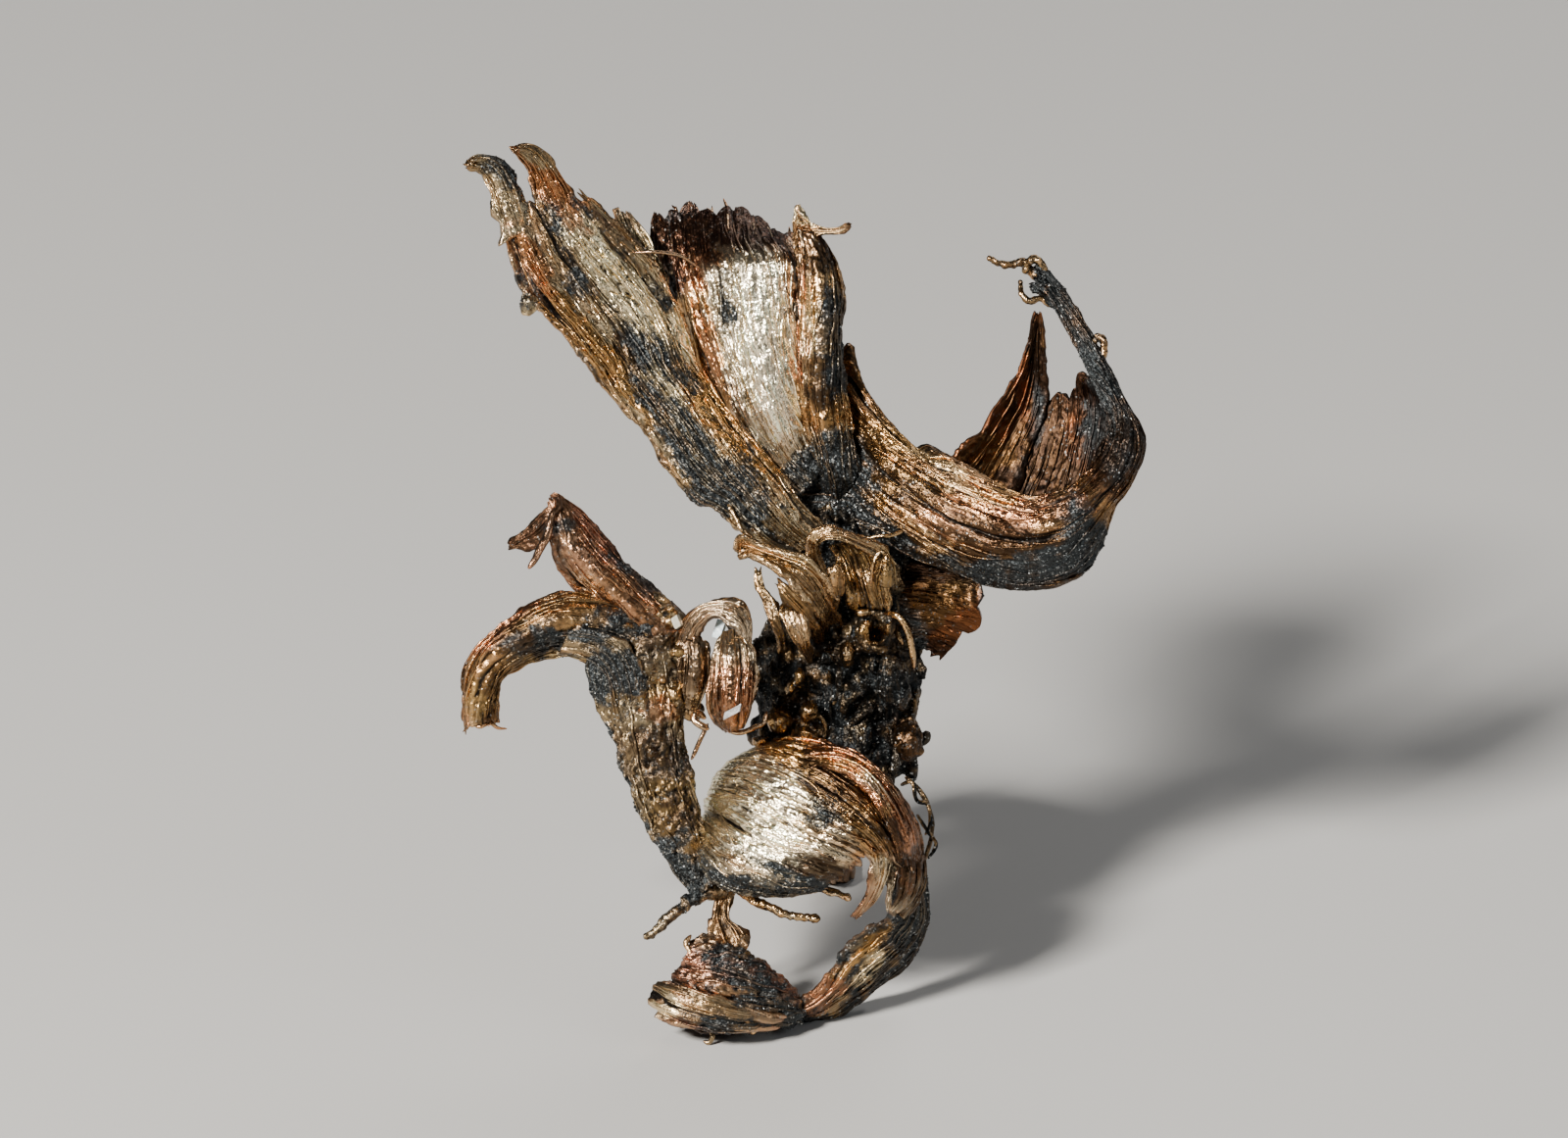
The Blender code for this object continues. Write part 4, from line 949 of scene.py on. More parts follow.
def route_object(name: str, wires: list[Wire]) -> Object:
    """The wires' routes as loose edges that carry their thickness and tarnish."""
    mesh = bpy.data.meshes.new(name)
    layers = {layer: [] for layer in ("thickness", *MASKS)}
    edges, count = [], 0
    for wire in wires:
        steps = len(wire.route)
        edges += [(count + k, count + k + 1) for k in range(steps - 1)]
        t = np.linspace(0, 1, steps)
        ends = np.clip(np.minimum(t, 1 - t) / max(wire.taper, 0.01), 0, 1)
        layers["thickness"].append(wire.radius * MM * (0.25 + 0.75 * np.sqrt(ends)))
        for mask in MASKS:
            layers[mask].append(wire.worn(mask, ends))
        count += steps
    placed = standing(np.concatenate([wire.route for wire in wires]))
    placed[:, 2] = np.maximum(placed[:, 2], np.concatenate(layers["thickness"]))
    mesh.from_pydata(placed.tolist(), edges, [])
    for layer, values in layers.items():
        store(mesh, layer, values)
    return linked(name, mesh)


def wound(route: tuple[Triple, ...], radii: tuple[float, float], count: int, seed: int, turns: float = 0.7,
          copper: float = 0.1, crust: float = 0.1) -> list[Wire]:
    """A limb of wires wound loosely round one route.

    Args:
        route: points along the limb's middle, in millimetres.
        radii: the limb's radius at its root and its tip.
        count: how many wires it has.
        seed: which random choice is wanted.
        turns: how often the wires go round.
        copper: how coppery they are.
        crust: how black they are.

    Returns:
        The wires.
    """
    line = smooth(route, 48)
    tangent = unit(np.gradient(line, axis=0))
    side = unit(np.cross(tangent, np.array([0.0, 0.0, 1.0]) + 0 * tangent))
    depth = np.cross(side, tangent)
    t = np.linspace(0, 1, len(line))
    radius = radii[0] * (1 - t) + radii[1] * t
    single = (radii[0] + radii[1]) * 0.95 / (1 + math.sqrt(count))
    wires = []
    for k in range(count):
        angle = 2 * math.pi * (k / count + turns * t) + 0.5 * chance(k, seed)
        out = np.maximum(radius - single, 0.0) if count > 1 else 0 * radius
        laid = line + side * (np.cos(angle) * out)[:, None] + depth * (np.sin(angle) * out)[:, None]
        last = len(line) - int(5 * (0.5 + 0.5 * chance(k, seed + 1)))
        tone = chance(k, seed + 2)
        wires.append(Wire(laid[:last], single, 0.1, tone, copper, crust * (1 - 0.5 * tone)))
    return wires


def strewn_wires(ribbon: Ribbon, front: Front, rng: np.random.Generator) -> list[Wire]:
    """Loose wires that lie on a ribbon's front, and a fringe that runs past its tip.

    Args:
        ribbon: the ribbon.
        front: its front.
        rng: the source of random numbers.

    Returns:
        The wires.
    """
    rows, columns = front.grid.shape[:2]
    length = run(front.grid[:, columns // 2])
    wires = []
    for k in range(int(ribbon.strays * STRAY_SHARE)):
        reach = (rng.uniform(5, 13) if k % 5 == 0 else rng.uniform(2.0, 6.0)) / length
        steps = int(np.clip(reach * length / 0.3, 8, 40))
        start = rng.uniform(0.0, max(0.98 - reach, 0.01))
        t = np.linspace(start, min(start + reach, 0.995), steps)
        drift = rng.uniform(-0.05, 0.05) * np.linspace(0, 1, steps)
        s = rng.uniform(0.04, 0.96) + drift + 0.006 * np.sin(t * rng.uniform(20, 60) + rng.uniform(0, 6))
        radius = rng.uniform(0.05, 0.13) * min(1.0, ribbon.pitch / 0.45)
        rise = radius * (0.3 + 0.9 * np.sin(np.pi * np.linspace(0, 1, steps)) * rng.uniform(0.2, 1.0))
        route, masks = front.at(t, s, rise)
        route[1:-1] = (route[:-2] + route[1:-1] + route[2:]) / 3
        tone = np.clip(masks["tone"] * 0.4 + 0.5 * rng.uniform(0.2, 1.0), 0, 1)
        masks = {**masks, "tone": tone, "groove": 0.1 + 0 * t, "crust": masks["crust"] * 0.8}
        wires.append(Wire(route, radius, 0.25, masks=masks))
    for _ in range(ribbon.fringe):
        column = int(rng.uniform(0.02, 0.98) * (columns - 1))
        tip, outward = front.grid[-1, column], front.outward[-1, column]
        aim = unit(tip - front.grid[max(rows - 12, 0), column])
        reach = rng.uniform(0.3, 1.3)
        bend = rng.normal(0, 0.22, 3)
        tail = tip - outward * 0.25
        back = front.grid[int(rows * 0.86), column] - outward * 0.1
        route = smooth((back, tail, tail + aim * reach * 0.5 + bend * 0.4, tail + aim * reach + bend), 16)
        wires.append(Wire(route, rng.uniform(0.1, 0.19), 0.3, rng.uniform(-0.8, 0.8), rng.uniform(0.1, 0.5)))
    return wires


# ---- finishes ---------------------------------------------------------------------------------

Colour = tuple[float, float, float]


@cache
def streak_group() -> NodeTree:
    """Fine streaks that run with the strands."""
    graph = Graph.named("fibre_streaks", "Shader",
                        {"Fibre": ("Vector", None), "Across": ("Float", 4.0), "Along": ("Float", 0.35)},
                        {"Streak": "Float", "Fine": "Float"})
    given = graph.given()
    scale = graph.step("CombineXYZ", X=given["Across"], Y=given["Along"], Z=1.0)
    laid = graph.vector("MULTIPLY", given["Fibre"], scale)
    broad = graph.step("TexNoise", Vector=laid, Scale=1.0, Detail=3.0, Roughness=0.62, Distortion=0.4)
    fine = graph.step("TexNoise", Vector=laid, Scale=3.7, Detail=2.0, Roughness=0.6)
    return graph.feed(graph.tree.nodes.new("NodeGroupOutput"), {"Streak": broad, "Fine": fine})


@cache
def facet_group() -> NodeTree:
    """Crystal facets that each face their own way, and a glint on a few of them."""
    graph = Graph.named("crust_facets", "Shader",
                        {"Position": ("Vector", None), "Scale": ("Float", 7500.0),
                         "Strength": ("Float", 0.5)},
                        {"Normal": "Vector", "Glint": "Float"})
    given = graph.given()
    colours = graph.node("TexVoronoi", Vector=given["Position"], Scale=given["Scale"]).outputs["Color"]
    tilt = graph.vector("SCALE", graph.vector("SUBTRACT", colours, (0.5, 0.5, 0.5)), Scale=given["Strength"])
    facing = graph.node("NewGeometry").outputs["Normal"]
    normal = graph.vector("NORMALIZE", graph.vector("ADD", facing, tilt))
    bright = graph.maths("GREATER_THAN", graph.step("SeparateColor", Color=colours), 0.97)
    glint = graph.times(bright, given["Strength"])
    return graph.feed(graph.tree.nodes.new("NodeGroupOutput"), {"Normal": normal, "Glint": glint})


@cache
def tarnish_group() -> NodeTree:
    """Lays gold, copper and black crust over pale metal, with a dark brown and a near black in the gaps, pits
    and cracks, both partly tarnish and partly painted shade.
    """
    inputs = {name: ("Color", None) for name in ("Pale", "Gold", "Copper", "Umber", "Gap_Tarnish_And_Shade", "Black")}
    levels = {"Warm Mask": 0.3, "Copper Mask": 0.1, "Smoke Mask": 0.2, "Crust Mask": 0.0, "Groove Mask": 0.0,
              "Tone Mask": 0.5, "Streak": 0.5, "Glint": 0.0, "Gloss": 0.3}
    inputs.update({name: ("Float", level) for name, level in levels.items()})
    graph = Graph.named("tarnish", "Shader", inputs, {"Color": "Color", "Roughness": "Float"})
    given, add, times, mixed = graph.given(), graph.add, graph.times, graph.mixed
    streak, groove = given["Streak"], given["Groove Mask"]
    swing = times(graph.maths("SUBTRACT", streak, 0.5), 1.1)
    base = mixed(add(given["Warm Mask"], swing, clamp=True), given["Pale"], given["Gold"])
    coppered = add(given["Copper Mask"], times(swing, given["Copper Mask"]), clamp=True)
    base = mixed(coppered, base, given["Copper"])
    bright = times(add(times(given["Tone Mask"], 0.85), 0.4), add(times(streak, 0.7), 0.65))
    light = graph.step("CombineColor", Red=bright, Green=bright, Blue=bright)
    base = mixed(1.0, base, light, "MULTIPLY")
    # The dark brown is partly smoky tarnish and partly painted shade.
    smoke = times(graph.maths("SUBTRACT", given["Smoke Mask"], swing), 0.9, clamp=True)
    base = mixed(smoke, base, given["Umber"])
    # Gaps, pits and cracks go towards near black: partly black tarnish in the hollows, partly painted shade.
    base = mixed(times(graph.maths("POWER", groove, 1.25), 1.05, clamp=True), base, given["Gap_Tarnish_And_Shade"])
    crust = add(given["Crust Mask"], times(swing, given["Crust Mask"]), clamp=True)
    base = mixed(crust, base, given["Black"])
    base = mixed(given["Glint"], base, (0.4, 0.4, 0.38, 1.0))
    rough = add(given["Gloss"], times(streak, 0.14))
    rough = add(add(rough, times(crust, 0.2)), times(smoke, 0.1))
    rough = add(rough, times(groove, 0.16), clamp=True)
    return graph.feed(graph.tree.nodes.new("NodeGroupOutput"), {"Color": base, "Roughness": rough})


def begun(name: str) -> tuple[Material, Graph, Node]:
    """A new material, its nodes and its main shader."""
    material = bpy.data.materials.new(name)
    material.use_nodes = True
    graph = Graph(material.node_tree)
    return material, graph, graph.tree.nodes["Principled BSDF"]


@dataclass(frozen=True)
class Metal:
    """Tarnished silver: its colours, how rough it is where it is clean, and how deep its fine relief is."""

    name: str
    pale: Colour = (0.80, 0.635, 0.38)
    gold: Colour = (0.52, 0.295, 0.10)
    copper: Colour = (0.52, 0.235, 0.115)
    # umber is the dark brown, and the colour after it is the near black of the gaps; both are partly tarnish
    # and partly painted shade.
    umber: Colour = (0.05, 0.028, 0.015)
    gap_tarnish_and_shade: Colour = (0.014, 0.011, 0.009)
    black: Colour = (0.040, 0.045, 0.047)
    gloss: float = 0.11
    relief: float = 0.7
    facets: float = 0.75

    def material(self, fibrous: bool = True) -> Material:
        """Builds the material.

        Args:
            fibrous: whether the surface has the fibre map, so that its streaks follow the strands.

        Returns:
            A material that reads the piece's own masks.
        """
        material, graph, shader = begun(self.name if fibrous else self.name + "_wire")
        position = graph.position()
        masks = {name: graph.node("Attribute", attribute_name=name).outputs["Fac"] for name in MASKS}
        fibre = (graph.step("UVMap", uv_map="fibre") if fibrous
                 else graph.vector("SCALE", position, Scale=700.0))
        streaks = graph.node("Group", fibre, node_tree=streak_group()).outputs
        tilt = graph.times(graph.add(masks["crust"], 0.45), self.facets)
        facets = graph.node("Group", node_tree=facet_group(), Position=position, Strength=tilt).outputs
        tarnish = graph.node("Group", node_tree=tarnish_group(), Streak=streaks["Streak"],
                             Glint=facets["Glint"], Gloss=self.gloss)
        graph.feed(tarnish, {f"{name.title()} Mask": mask for name, mask in masks.items()})
        graph.feed(tarnish, {name.title(): (*getattr(self, name), 1.0)
                             for name in ("pale", "gold", "copper", "umber", "gap_tarnish_and_shade", "black")})
        height = graph.add(streaks["Streak"], graph.times(streaks["Fine"], 0.5))
        bump = graph.step("Bump", Strength=self.relief, Distance=FINE_RELIEF, Height=height,
                          Normal=facets["Normal"])
        graph.feed(shader, {"Metallic": 1.0, "Base Color": tarnish.outputs["Color"],
                            "Roughness": tarnish.outputs["Roughness"], "Normal": bump})
        return material


@dataclass(frozen=True)
class Calcite:
    """Calcite, from milky to nearly clear."""

    name: str
    colour: Colour
    clear: float

    def material(self) -> Material:
        """Builds the material, with clouds in it and a soft gloss."""
        material, graph, shader = begun(self.name)
        cloud = graph.step("TexNoise", Vector=graph.position(), Scale=2200.0, Detail=4.0, Roughness=0.6)
        shade = tuple(0.55 * part for part in self.colour)
        graph.feed(shader, {
            "Transmission Weight": self.clear, "IOR": 1.6,
            "Base Color": graph.mixed(cloud, (*shade, 1.0), (*self.colour, 1.0)),
            "Roughness": graph.add(graph.times(cloud, 0.4), 0.1),
            "Normal": graph.step("Bump", Strength=0.6, Distance=FINE_RELIEF, Height=cloud),
        })
        return material


@cache
def crystal_material() -> Material:
    """Black sulphide crystals, with a bluish shine and each a little different."""
    material, graph, shader = begun("black_crystals")
    cells = graph.node("TexVoronoi", Vector=graph.position(), Scale=3500.0).outputs["Color"]
    parts = graph.node("SeparateColor", Color=cells).outputs
    pick = graph.maths("POWER", parts[0], 3.0)
    graph.feed(shader, {"Metallic": 0.9,
                        "Base Color": graph.mixed(pick, (0.028, 0.031, 0.033, 1), (0.14, 0.145, 0.145, 1)),
                        "Roughness": graph.add(graph.times(parts[1], 0.35), 0.3)})
    return material


# ---- rails, as (across, up, back), from root to tip ------------------------------------------

RAILS = {
    "left_fan": (
        ((-0.8, 40.8, 1), (-4.5, 42.8, -0.4), (-7.1, 45, -1), (-9.6, 46.8, -1.2), (-14.4, 52.8, -2),
         (-16.5, 55.1, -2.5), (-18.2, 57.8, -3), (-23.3, 63.8, -3.6), (-25.3, 69.1, -3.8),
         (-25.8, 71.3, -3.6)),
        ((-0.1, 41.8, 0.6), (-3.2, 44.3, -0.8), (-8.7, 49.9, -1.6), (-13.4, 55.8, -1.9), (-18.2, 63.7, -2),
         (-22.3, 70.8, -2.6), (-23.3, 71.8, -2.8)),
        ((1.2, 42.7, 0.6), (-1.3, 45.3, -0.8), (-4, 48.2, -1), (-9.4, 55.3, -0.6), (-15.5, 65.8, -0.7),
         (-18.7, 70.5, -1.2), (-20.5, 72.4, -1.6)),
        ((2.4, 43.2, 1.4), (0.5, 45.1, 0.8), (-1.6, 48.2, 0.8), (-8.3, 56.5, 2.2), (-10.6, 63, 2.4),
         (-13.4, 67.6, 1.6), (-18.8, 72.7, -0.2)),
    ),
    "tip_hook": (
        ((-25.2, 67.8, -3.8), (-26.5, 73, -3.5), (-27.1, 73.9, -3.9), (-28.5, 74.2, -5)),
        ((-23.8, 68.7, -3.2), (-25.5, 73.4, -3.7), (-27.4, 74.8, -4.4), (-28.3, 74.6, -5)),
        ((-22.6, 69.1, -2.6), (-24.3, 73.7, -3), (-25.7, 75, -3.4), (-27.2, 75.4, -4), (-28.2, 75.1, -4.8)),
    ),
    "tip_horn": (
        ((-22.3, 69.1, -2.2), (-23, 73.4, -2.2), (-24.2, 75.5, -3), (-24.8, 75.7, -3.6)),
        ((-20.1, 69.3, -1.6), (-21.7, 73.8, -1.9), (-23.4, 75.8, -2.8), (-24.5, 76, -3.6)),
        ((-17.7, 69.5, -0.6), (-18.8, 71.8, -0.8), (-22, 76.1, -2.2), (-24.3, 76.2, -3.5)),
    ),
    "back_tooth": (
        ((-13.8, 61.5, 0), (-14.4, 66.3, 2), (-15.6, 69.5, 3), (-16, 71.2, 3.2)),
        ((-12.2, 61.8, 1), (-13.2, 66.7, 3), (-14.5, 69.5, 3.8), (-15.4, 71.2, 3.6)),
        ((-10.7, 62.2, 2.2), (-11.9, 66.5, 3.4), (-13.2, 69.1, 4), (-14.8, 71.1, 3.8)),
    ),
    "middle_fan": (
        ((-0.3, 46.2, 3), (-3.3, 49.3, 3.6), (-8, 56.2, 4.6), (-9.8, 59.9, 5), (-11.6, 65.8, 5.8),
         (-12.6, 70.7, 7.6)),
        ((0.5, 47, 2.2), (-3.4, 52, 1.8), (-5.3, 55.3, 1.8), (-7.3, 63.7, 2), (-7.8, 66.7, 2.6),
         (-9.3, 71.7, 7)),
        ((1.2, 47.8, 1.6), (-1.8, 52.4, 0.4), (-3, 56.2, 0), (-4, 63.7, -0.2), (-4.2, 66.8, 0.4),
         (-5, 69.3, 4), (-5.9, 71.6, 7)),
        ((1.8, 48.7, 1.4), (-0.3, 52.8, 0.6), (-1.1, 63.7, 0.3), (-1.3, 66.7, 0.8), (-1.8, 68.2, 4),
         (-2.3, 69.6, 7)),
        ((2.5, 49.5, 2.6), (1.5, 53.2, 2.8), (0.5, 64.5, 3), (0.2, 66.8, 3.2), (-0.9, 69.3, 7)),
    ),
    "right_fold": (
        ((2.2, 46.3, 4.6), (1.8, 48.7, 1.4), (1.1, 50.7, 0.6), (0.2, 54.5, 0.4), (-0.1, 66.2, 0.3),
         (-0.4, 70.7, 1)),
        ((3.7, 46, 3.4), (3.3, 48.5, 0), (1.9, 54.9, -2), (2, 62.8, -2.6), (1.3, 67.8, -1.6),
         (0.5, 69.3, -0.8)),
        ((5.5, 46.8, 3.4), (5.2, 49, 0.4), (4.4, 51.2, 0.6), (3.4, 59.9, 1), (3.7, 63.2, 1.2),
         (3.4, 65.3, 1.2), (2, 68, 0.2)),
    ),
    "fold_hook": (
        ((-0.7, 68.7, 0.6), (-0.2, 71.2, 0.4), (0.3, 70.1, -0.4), (1.8, 69.3, -1), (3.2, 69.3, -1.6),
         (4.3, 69.9, -2.2)),
        ((-0.1, 66.8, 0.4), (0.5, 67.8, -0.2), (1.7, 68.5, -1), (3.8, 68.8, -2), (4.3, 69.5, -2.4)),
    ),
    "horn_wall": (
        ((1, 54.5, 4.4), (4, 59.5, 3.6), (4.8, 56.7, 3.2), (8.3, 51.3, 1.4), (11.2, 50.7, 0.2),
         (13.8, 49.2, -1.2), (18.2, 46.4, -3.2), (23.2, 47.3, -3.4), (26.2, 52, -1.6), (25.8, 54.6, -0.6),
         (23.9, 59.1, 1), (21.1, 63.2, 2), (19.4, 64, 2.2)),
        ((-0.3, 49.7, 4.2), (2.8, 51.3, 3), (5.7, 51.5, 1), (8.2, 49.5, -1.4), (14.1, 46, -4.6),
         (17.8, 44.7, -5.6), (21.2, 44.5, -6), (23.7, 45.8, -5.8), (25.5, 47.7, -4.8), (27.4, 50.8, -3.4),
         (26.7, 53.7, -1.8), (22.8, 61.8, 1.3), (19.7, 65.1, 2)),
        ((-1, 46.6, 4.4), (2.5, 46.8, 3), (8.2, 45.2, -1.6), (14.5, 42.3, -4.2), (17.8, 41.2, -4.8),
         (21.2, 41.3, -5), (23.7, 43, -5), (25.5, 45.8, -4.4), (27.5, 48.2, -3.4), (28.4, 51.2, -2.4),
         (27, 54.2, -1.3), (22.9, 62.2, 1.4), (20, 66, 2)),
        ((-0.3, 44.1, 5), (6.2, 43, 2), (12.8, 40.8, -0.4), (16.6, 39.5, -1), (19.9, 39.2, -1.4),
         (22.7, 39.8, -1.8), (24.7, 41.5, -2.2), (26.2, 45.8, -2), (27.8, 48, -1.6), (28.8, 51.2, -1),
         (27.2, 54.3, -0.4), (23.1, 62.4, 1.6), (20.1, 66.3, 2.2)),
        ((0.3, 45.3, 7), (3.7, 45.2, 7), (11.2, 44.1, 5.4), (19.5, 42.7, 3.6), (22.7, 43.2, 2.6),
         (24.2, 44.5, 1.8), (25.3, 47, 1.4), (26.8, 49.3, 0.8), (27.7, 52, 0.6), (26.7, 54.6, 0.6),
         (24.3, 59.8, 1.5), (20, 65.9, 2.7)),
    ),
    "petal_one": (
        ((9.5, 45.3, 3), (12, 48.7, 3.6), (15.8, 52.8, 4.4), (18.7, 57.4, 4.8), (20.1, 62.2, 4)),
        ((12, 43.2, 4), (14.1, 46.6, 5), (16.2, 49.3, 5.8), (19.2, 54.7, 6.4), (20.1, 59.9, 5.2),
         (20.3, 62.2, 4.2)),
        ((15.3, 42, 4), (17.8, 45.3, 5), (20.5, 51.6, 6), (21.2, 54.9, 6), (20.6, 62.3, 4.3)),
    ),
    "petal_two": (
        ((15.3, 42.2, 4.6), (17.8, 45.8, 5.6), (20.3, 52.4, 6.6), (21.3, 55.4, 6.4)),
        ((18.7, 42, 3.6), (20.8, 46, 5), (22, 49.5, 5.8), (22.8, 53.2, 5.8), (22.8, 56.5, 5.6)),
        ((21.5, 42.2, 3), (23.3, 46.2, 4.2), (24.6, 53.7, 4.6), (23.7, 58.7, 3.8)),
    ),
    "petal_three": (
        ((19.5, 42, 3.6), (22.2, 46.6, 4.6), (23.5, 50.8, 5.4), (24, 54.5, 5.4), (23.8, 56.8, 4.6)),
        ((21.6, 42.4, 2.8), (23.8, 46.8, 3.8), (25, 50.8, 4.2), (25.2, 54.3, 4.2), (24.5, 57, 3.4)),
        ((23.3, 43, 2), (25.5, 47.2, 2.4), (26.5, 50.8, 2.6), (26.7, 53.7, 2.4), (25.7, 56.2, 2)),
    ),
    "side_fan": (
        ((7.4, 41.2, 4), (12.7, 41.5, 3), (15.3, 41.2, 2.8), (16.5, 40.6, 2.8)),
        ((7.4, 38.2, 3), (10.3, 38.3, 2.2), (16.2, 38, 1.6)),
        ((7.7, 36, 3.6), (12.7, 35.8, 2.6), (15.7, 35.2, 2.4)),
        ((8.2, 34, 5), (10, 33.5, 4.8), (12.2, 32.1, 4.6)),
    ),
    "shell": (
        ((-3.8, 22.8, 5), (-2.2, 25.2, 2.5), (0.8, 25.6, 0.5), (3.7, 25.1, -0.5), (6.3, 23.6, -1.2),
         (8.5, 21.2, -1.4), (10, 18.5, -1.4), (10.6, 16, -1), (10.5, 13.8, -0.4)),
        ((-5.3, 22, 5), (-5.3, 23.5, 1), (-2.6, 24.2, -2), (1.2, 23.2, -4), (4.3, 21.3, -5.2),
         (6.8, 19, -5.6), (8.2, 16.5, -5.4), (8.7, 14.2, -4.6)),
        ((-5.9, 19.5, 5), (-6.8, 22, 1), (-4.2, 21.6, -3.6), (-0.5, 20, -6), (2.8, 18.5, -7.2),
         (5.2, 17.2, -7.4), (6.6, 15.8, -6.8)),
        ((-7.3, 17.8, 5), (-7.8, 18.8, 1), (-5.7, 17.8, -4), (-2, 16.5, -6.4), (1.3, 15.6, -7),
         (3.7, 15.3, -6.8), (4.8, 15, -6.2)),
        ((-8.2, 16.2, 5), (-8.5, 16.3, 1), (-6.8, 14.7, -3.4), (-3.4, 13.7, -5.2), (-0.1, 13.5, -5.4),
         (2.5, 14, -5)),
        ((-7.8, 15.3, 5), (-7.5, 14.2, 2), (-5.5, 13, 0), (-2.6, 12.7, -0.6), (2.7, 13.3, -0.6)),
    ),
    "shell_hook": (
        ((6.8, 17.2, -5), (7.3, 14.9, -4.8), (7.3, 11.2, -4.2)),
        ((8.3, 17.2, -4.6), (8.3, 14.9, -4.6), (7.6, 11.2, -4.2)),
    ),
    "ring": (
        ((6.8, 15.3, 1), (7.7, 13, 0), (7.7, 11, -0.6), (4, 8.1, -1), (2.6, 6, -0.8), (1, 4.2, -0.2),
         (-0.3, 3.5, 0.4), (-1.8, 3.7, 1)),
        ((8.5, 15.3, 1.5), (9.3, 12.8, 1.4), (9.3, 10.3, 1.6), (5.8, 6.2, 1.8), (1.8, 3.1, 2.2),
         (-0.1, 2.5, 2.6), (-1.8, 2.7, 2.6)),
        ((10.2, 15.3, 3), (10.7, 12.7, 4.4), (10.5, 9.7, 5.6), (9.2, 7, 6.2), (3.7, 2.7, 5.6), (1, 1.8, 5),
         (-2.2, 1.8, 4)),
    ),
    "foot_front": (
        ((-0.3, 1.8, 1.5), (-5.9, 1, -0.6), (-10.3, 1.8, -1), (-11.7, 2.6, -0.6)),
        ((0, 2.5, 0.6), (-2.6, 2.7, -2), (-5.5, 2.8, -3.4), (-8, 3.2, -3.8), (-10.3, 3.7, -3.2),
         (-12.2, 3.6, -1.6)),
        ((-0.3, 3.3, 0.6), (-2.8, 4.9, -1.8), (-5.3, 5.7, -3), (-7.3, 5.5, -3.4), (-9.3, 4.9, -2.8),
         (-11.3, 4.7, -1.6)),
        ((-0.8, 3.8, 1.4), (-4.9, 7.2, -0.4), (-6.5, 7.7, -1.2), (-8.3, 7.2, -1.6), (-9.3, 6.2, -1.4)),
        ((-1.3, 4.3, 2.2), (-4.9, 7.4, 0.8), (-6.7, 8.5, 0), (-8.3, 9, -0.2), (-9.4, 8.2, -0.2)),
    ),
    "foot_back": (
        ((-0.3, 2, 3), (-2.6, 1.7, 3.4), (-5.5, 1.5, 3.2), (-8.4, 1.8, 2), (-10.2, 2.5, 0.6),
         (-11, 3.2, -0.4)),
        ((-0.5, 3, 4), (-3, 3.8, 4.4), (-5.7, 4.3, 4.2), (-7.8, 4.7, 3), (-10.2, 4.7, 0)),
        ((-1, 3.8, 3), (-3.2, 5.5, 2.8), (-4.9, 7, 2.2), (-7.8, 7.8, 0.6), (-8.7, 7.3, -0.4)),
    ),
    "plate": (
        ((-6.5, 6.3, -2), (-7.4, 8.5, -0.2), (-7.6, 10.3, 0.2), (-7.3, 12, 0.8), (-6.3, 13.7, 1.6)),
        ((-4.7, 6.5, -1.2), (-4.2, 8.2, 0), (-4.8, 9.7, 0.4), (-6, 10.5, 0.6), (-5.8, 12.2, 1.2),
         (-4.5, 13.7, 1.6)),
    ),
    "upper_claw": (
        ((-13, 33.2, 0.5), (-17.8, 38, 0.2), (-19.5, 39.2, 0), (-20.8, 40.8, -0.4), (-21.3, 42.7, -0.8),
         (-21.3, 46.4, -1.6)),
        ((-11.3, 34.5, -1.6), (-18.7, 41.8, -2.4), (-21.2, 46.7, -1.8)),
        ((-9.2, 35.3, 1), (-10.7, 37.1, 1), (-14.8, 40.7, 1), (-16.7, 43.2, 0.8), (-19.6, 45.8, -0.4),
         (-20.9, 46.7, -1.4)),
    ),
    "claw_flap": (
        ((-19.8, 44.8, -2), (-21.2, 45.9, -1.6), (-22.4, 44.8, -0.8), (-24.8, 42.3, 0.4)),
        ((-19.3, 42.8, -2.3), (-20.8, 43.2, -1.8), (-22.1, 42.3, -0.8), (-24.7, 41.8, 0.4)),
    ),
    "lower_claw": (
        ((-13, 36.3, 1), (-15.9, 37.7, 0.4), (-21.3, 37.8, -0.4), (-25.9, 34.9, -0.6), (-28.1, 32, 0),
         (-28.7, 28, 0.6), (-28.3, 26.8, 0.6)),
        ((-12.6, 34.5, -1.4), (-15.7, 35.7, -2.2), (-18.7, 36.2, -2.8), (-21.3, 35.7, -3),
         (-25.5, 33.1, -2.8), (-27.2, 29.7, -2), (-27.2, 26.9, -1.4)),
        ((-12.6, 31.2, 1.6), (-17.8, 32.2, 1.2), (-20, 33, 1), (-22.2, 32.8, 0.8), (-25.4, 31, 0.4),
         (-25.9, 27.1, 0.2)),
    ),
    "arch": (
        ((-11, 32.4, -0.6), (-9.7, 35.9, -2), (-8.2, 37.4, -2.6), (-5.3, 37.5, -3.2), (-4.2, 36.3, -3),
         (-4.3, 33, -2.6)),
        ((-9.4, 32.7, -1.4), (-9, 34.3, -2), (-7.4, 36.1, -3.4), (-5.8, 35.4, -3.8), (-5.2, 34.4, -3.8),
         (-5.2, 32.8, -3.8)),
    ),
    "gold_leaf": (
        ((-9.7, 28.5, -0.4), (-10.6, 32.8, -1.2), (-10.2, 34.3, -1.4)),
        ((-9.4, 28.5, -0.8), (-9, 30.8, -2.2), (-8.8, 33, -2.6), (-9.3, 34.9, -2)),
        ((-9, 28.7, -0.6), (-7.9, 30.7, -1.2), (-7.6, 32.7, -1.6), (-8.3, 34.7, -1.8)),
    ),
    "rolled_leaf": (
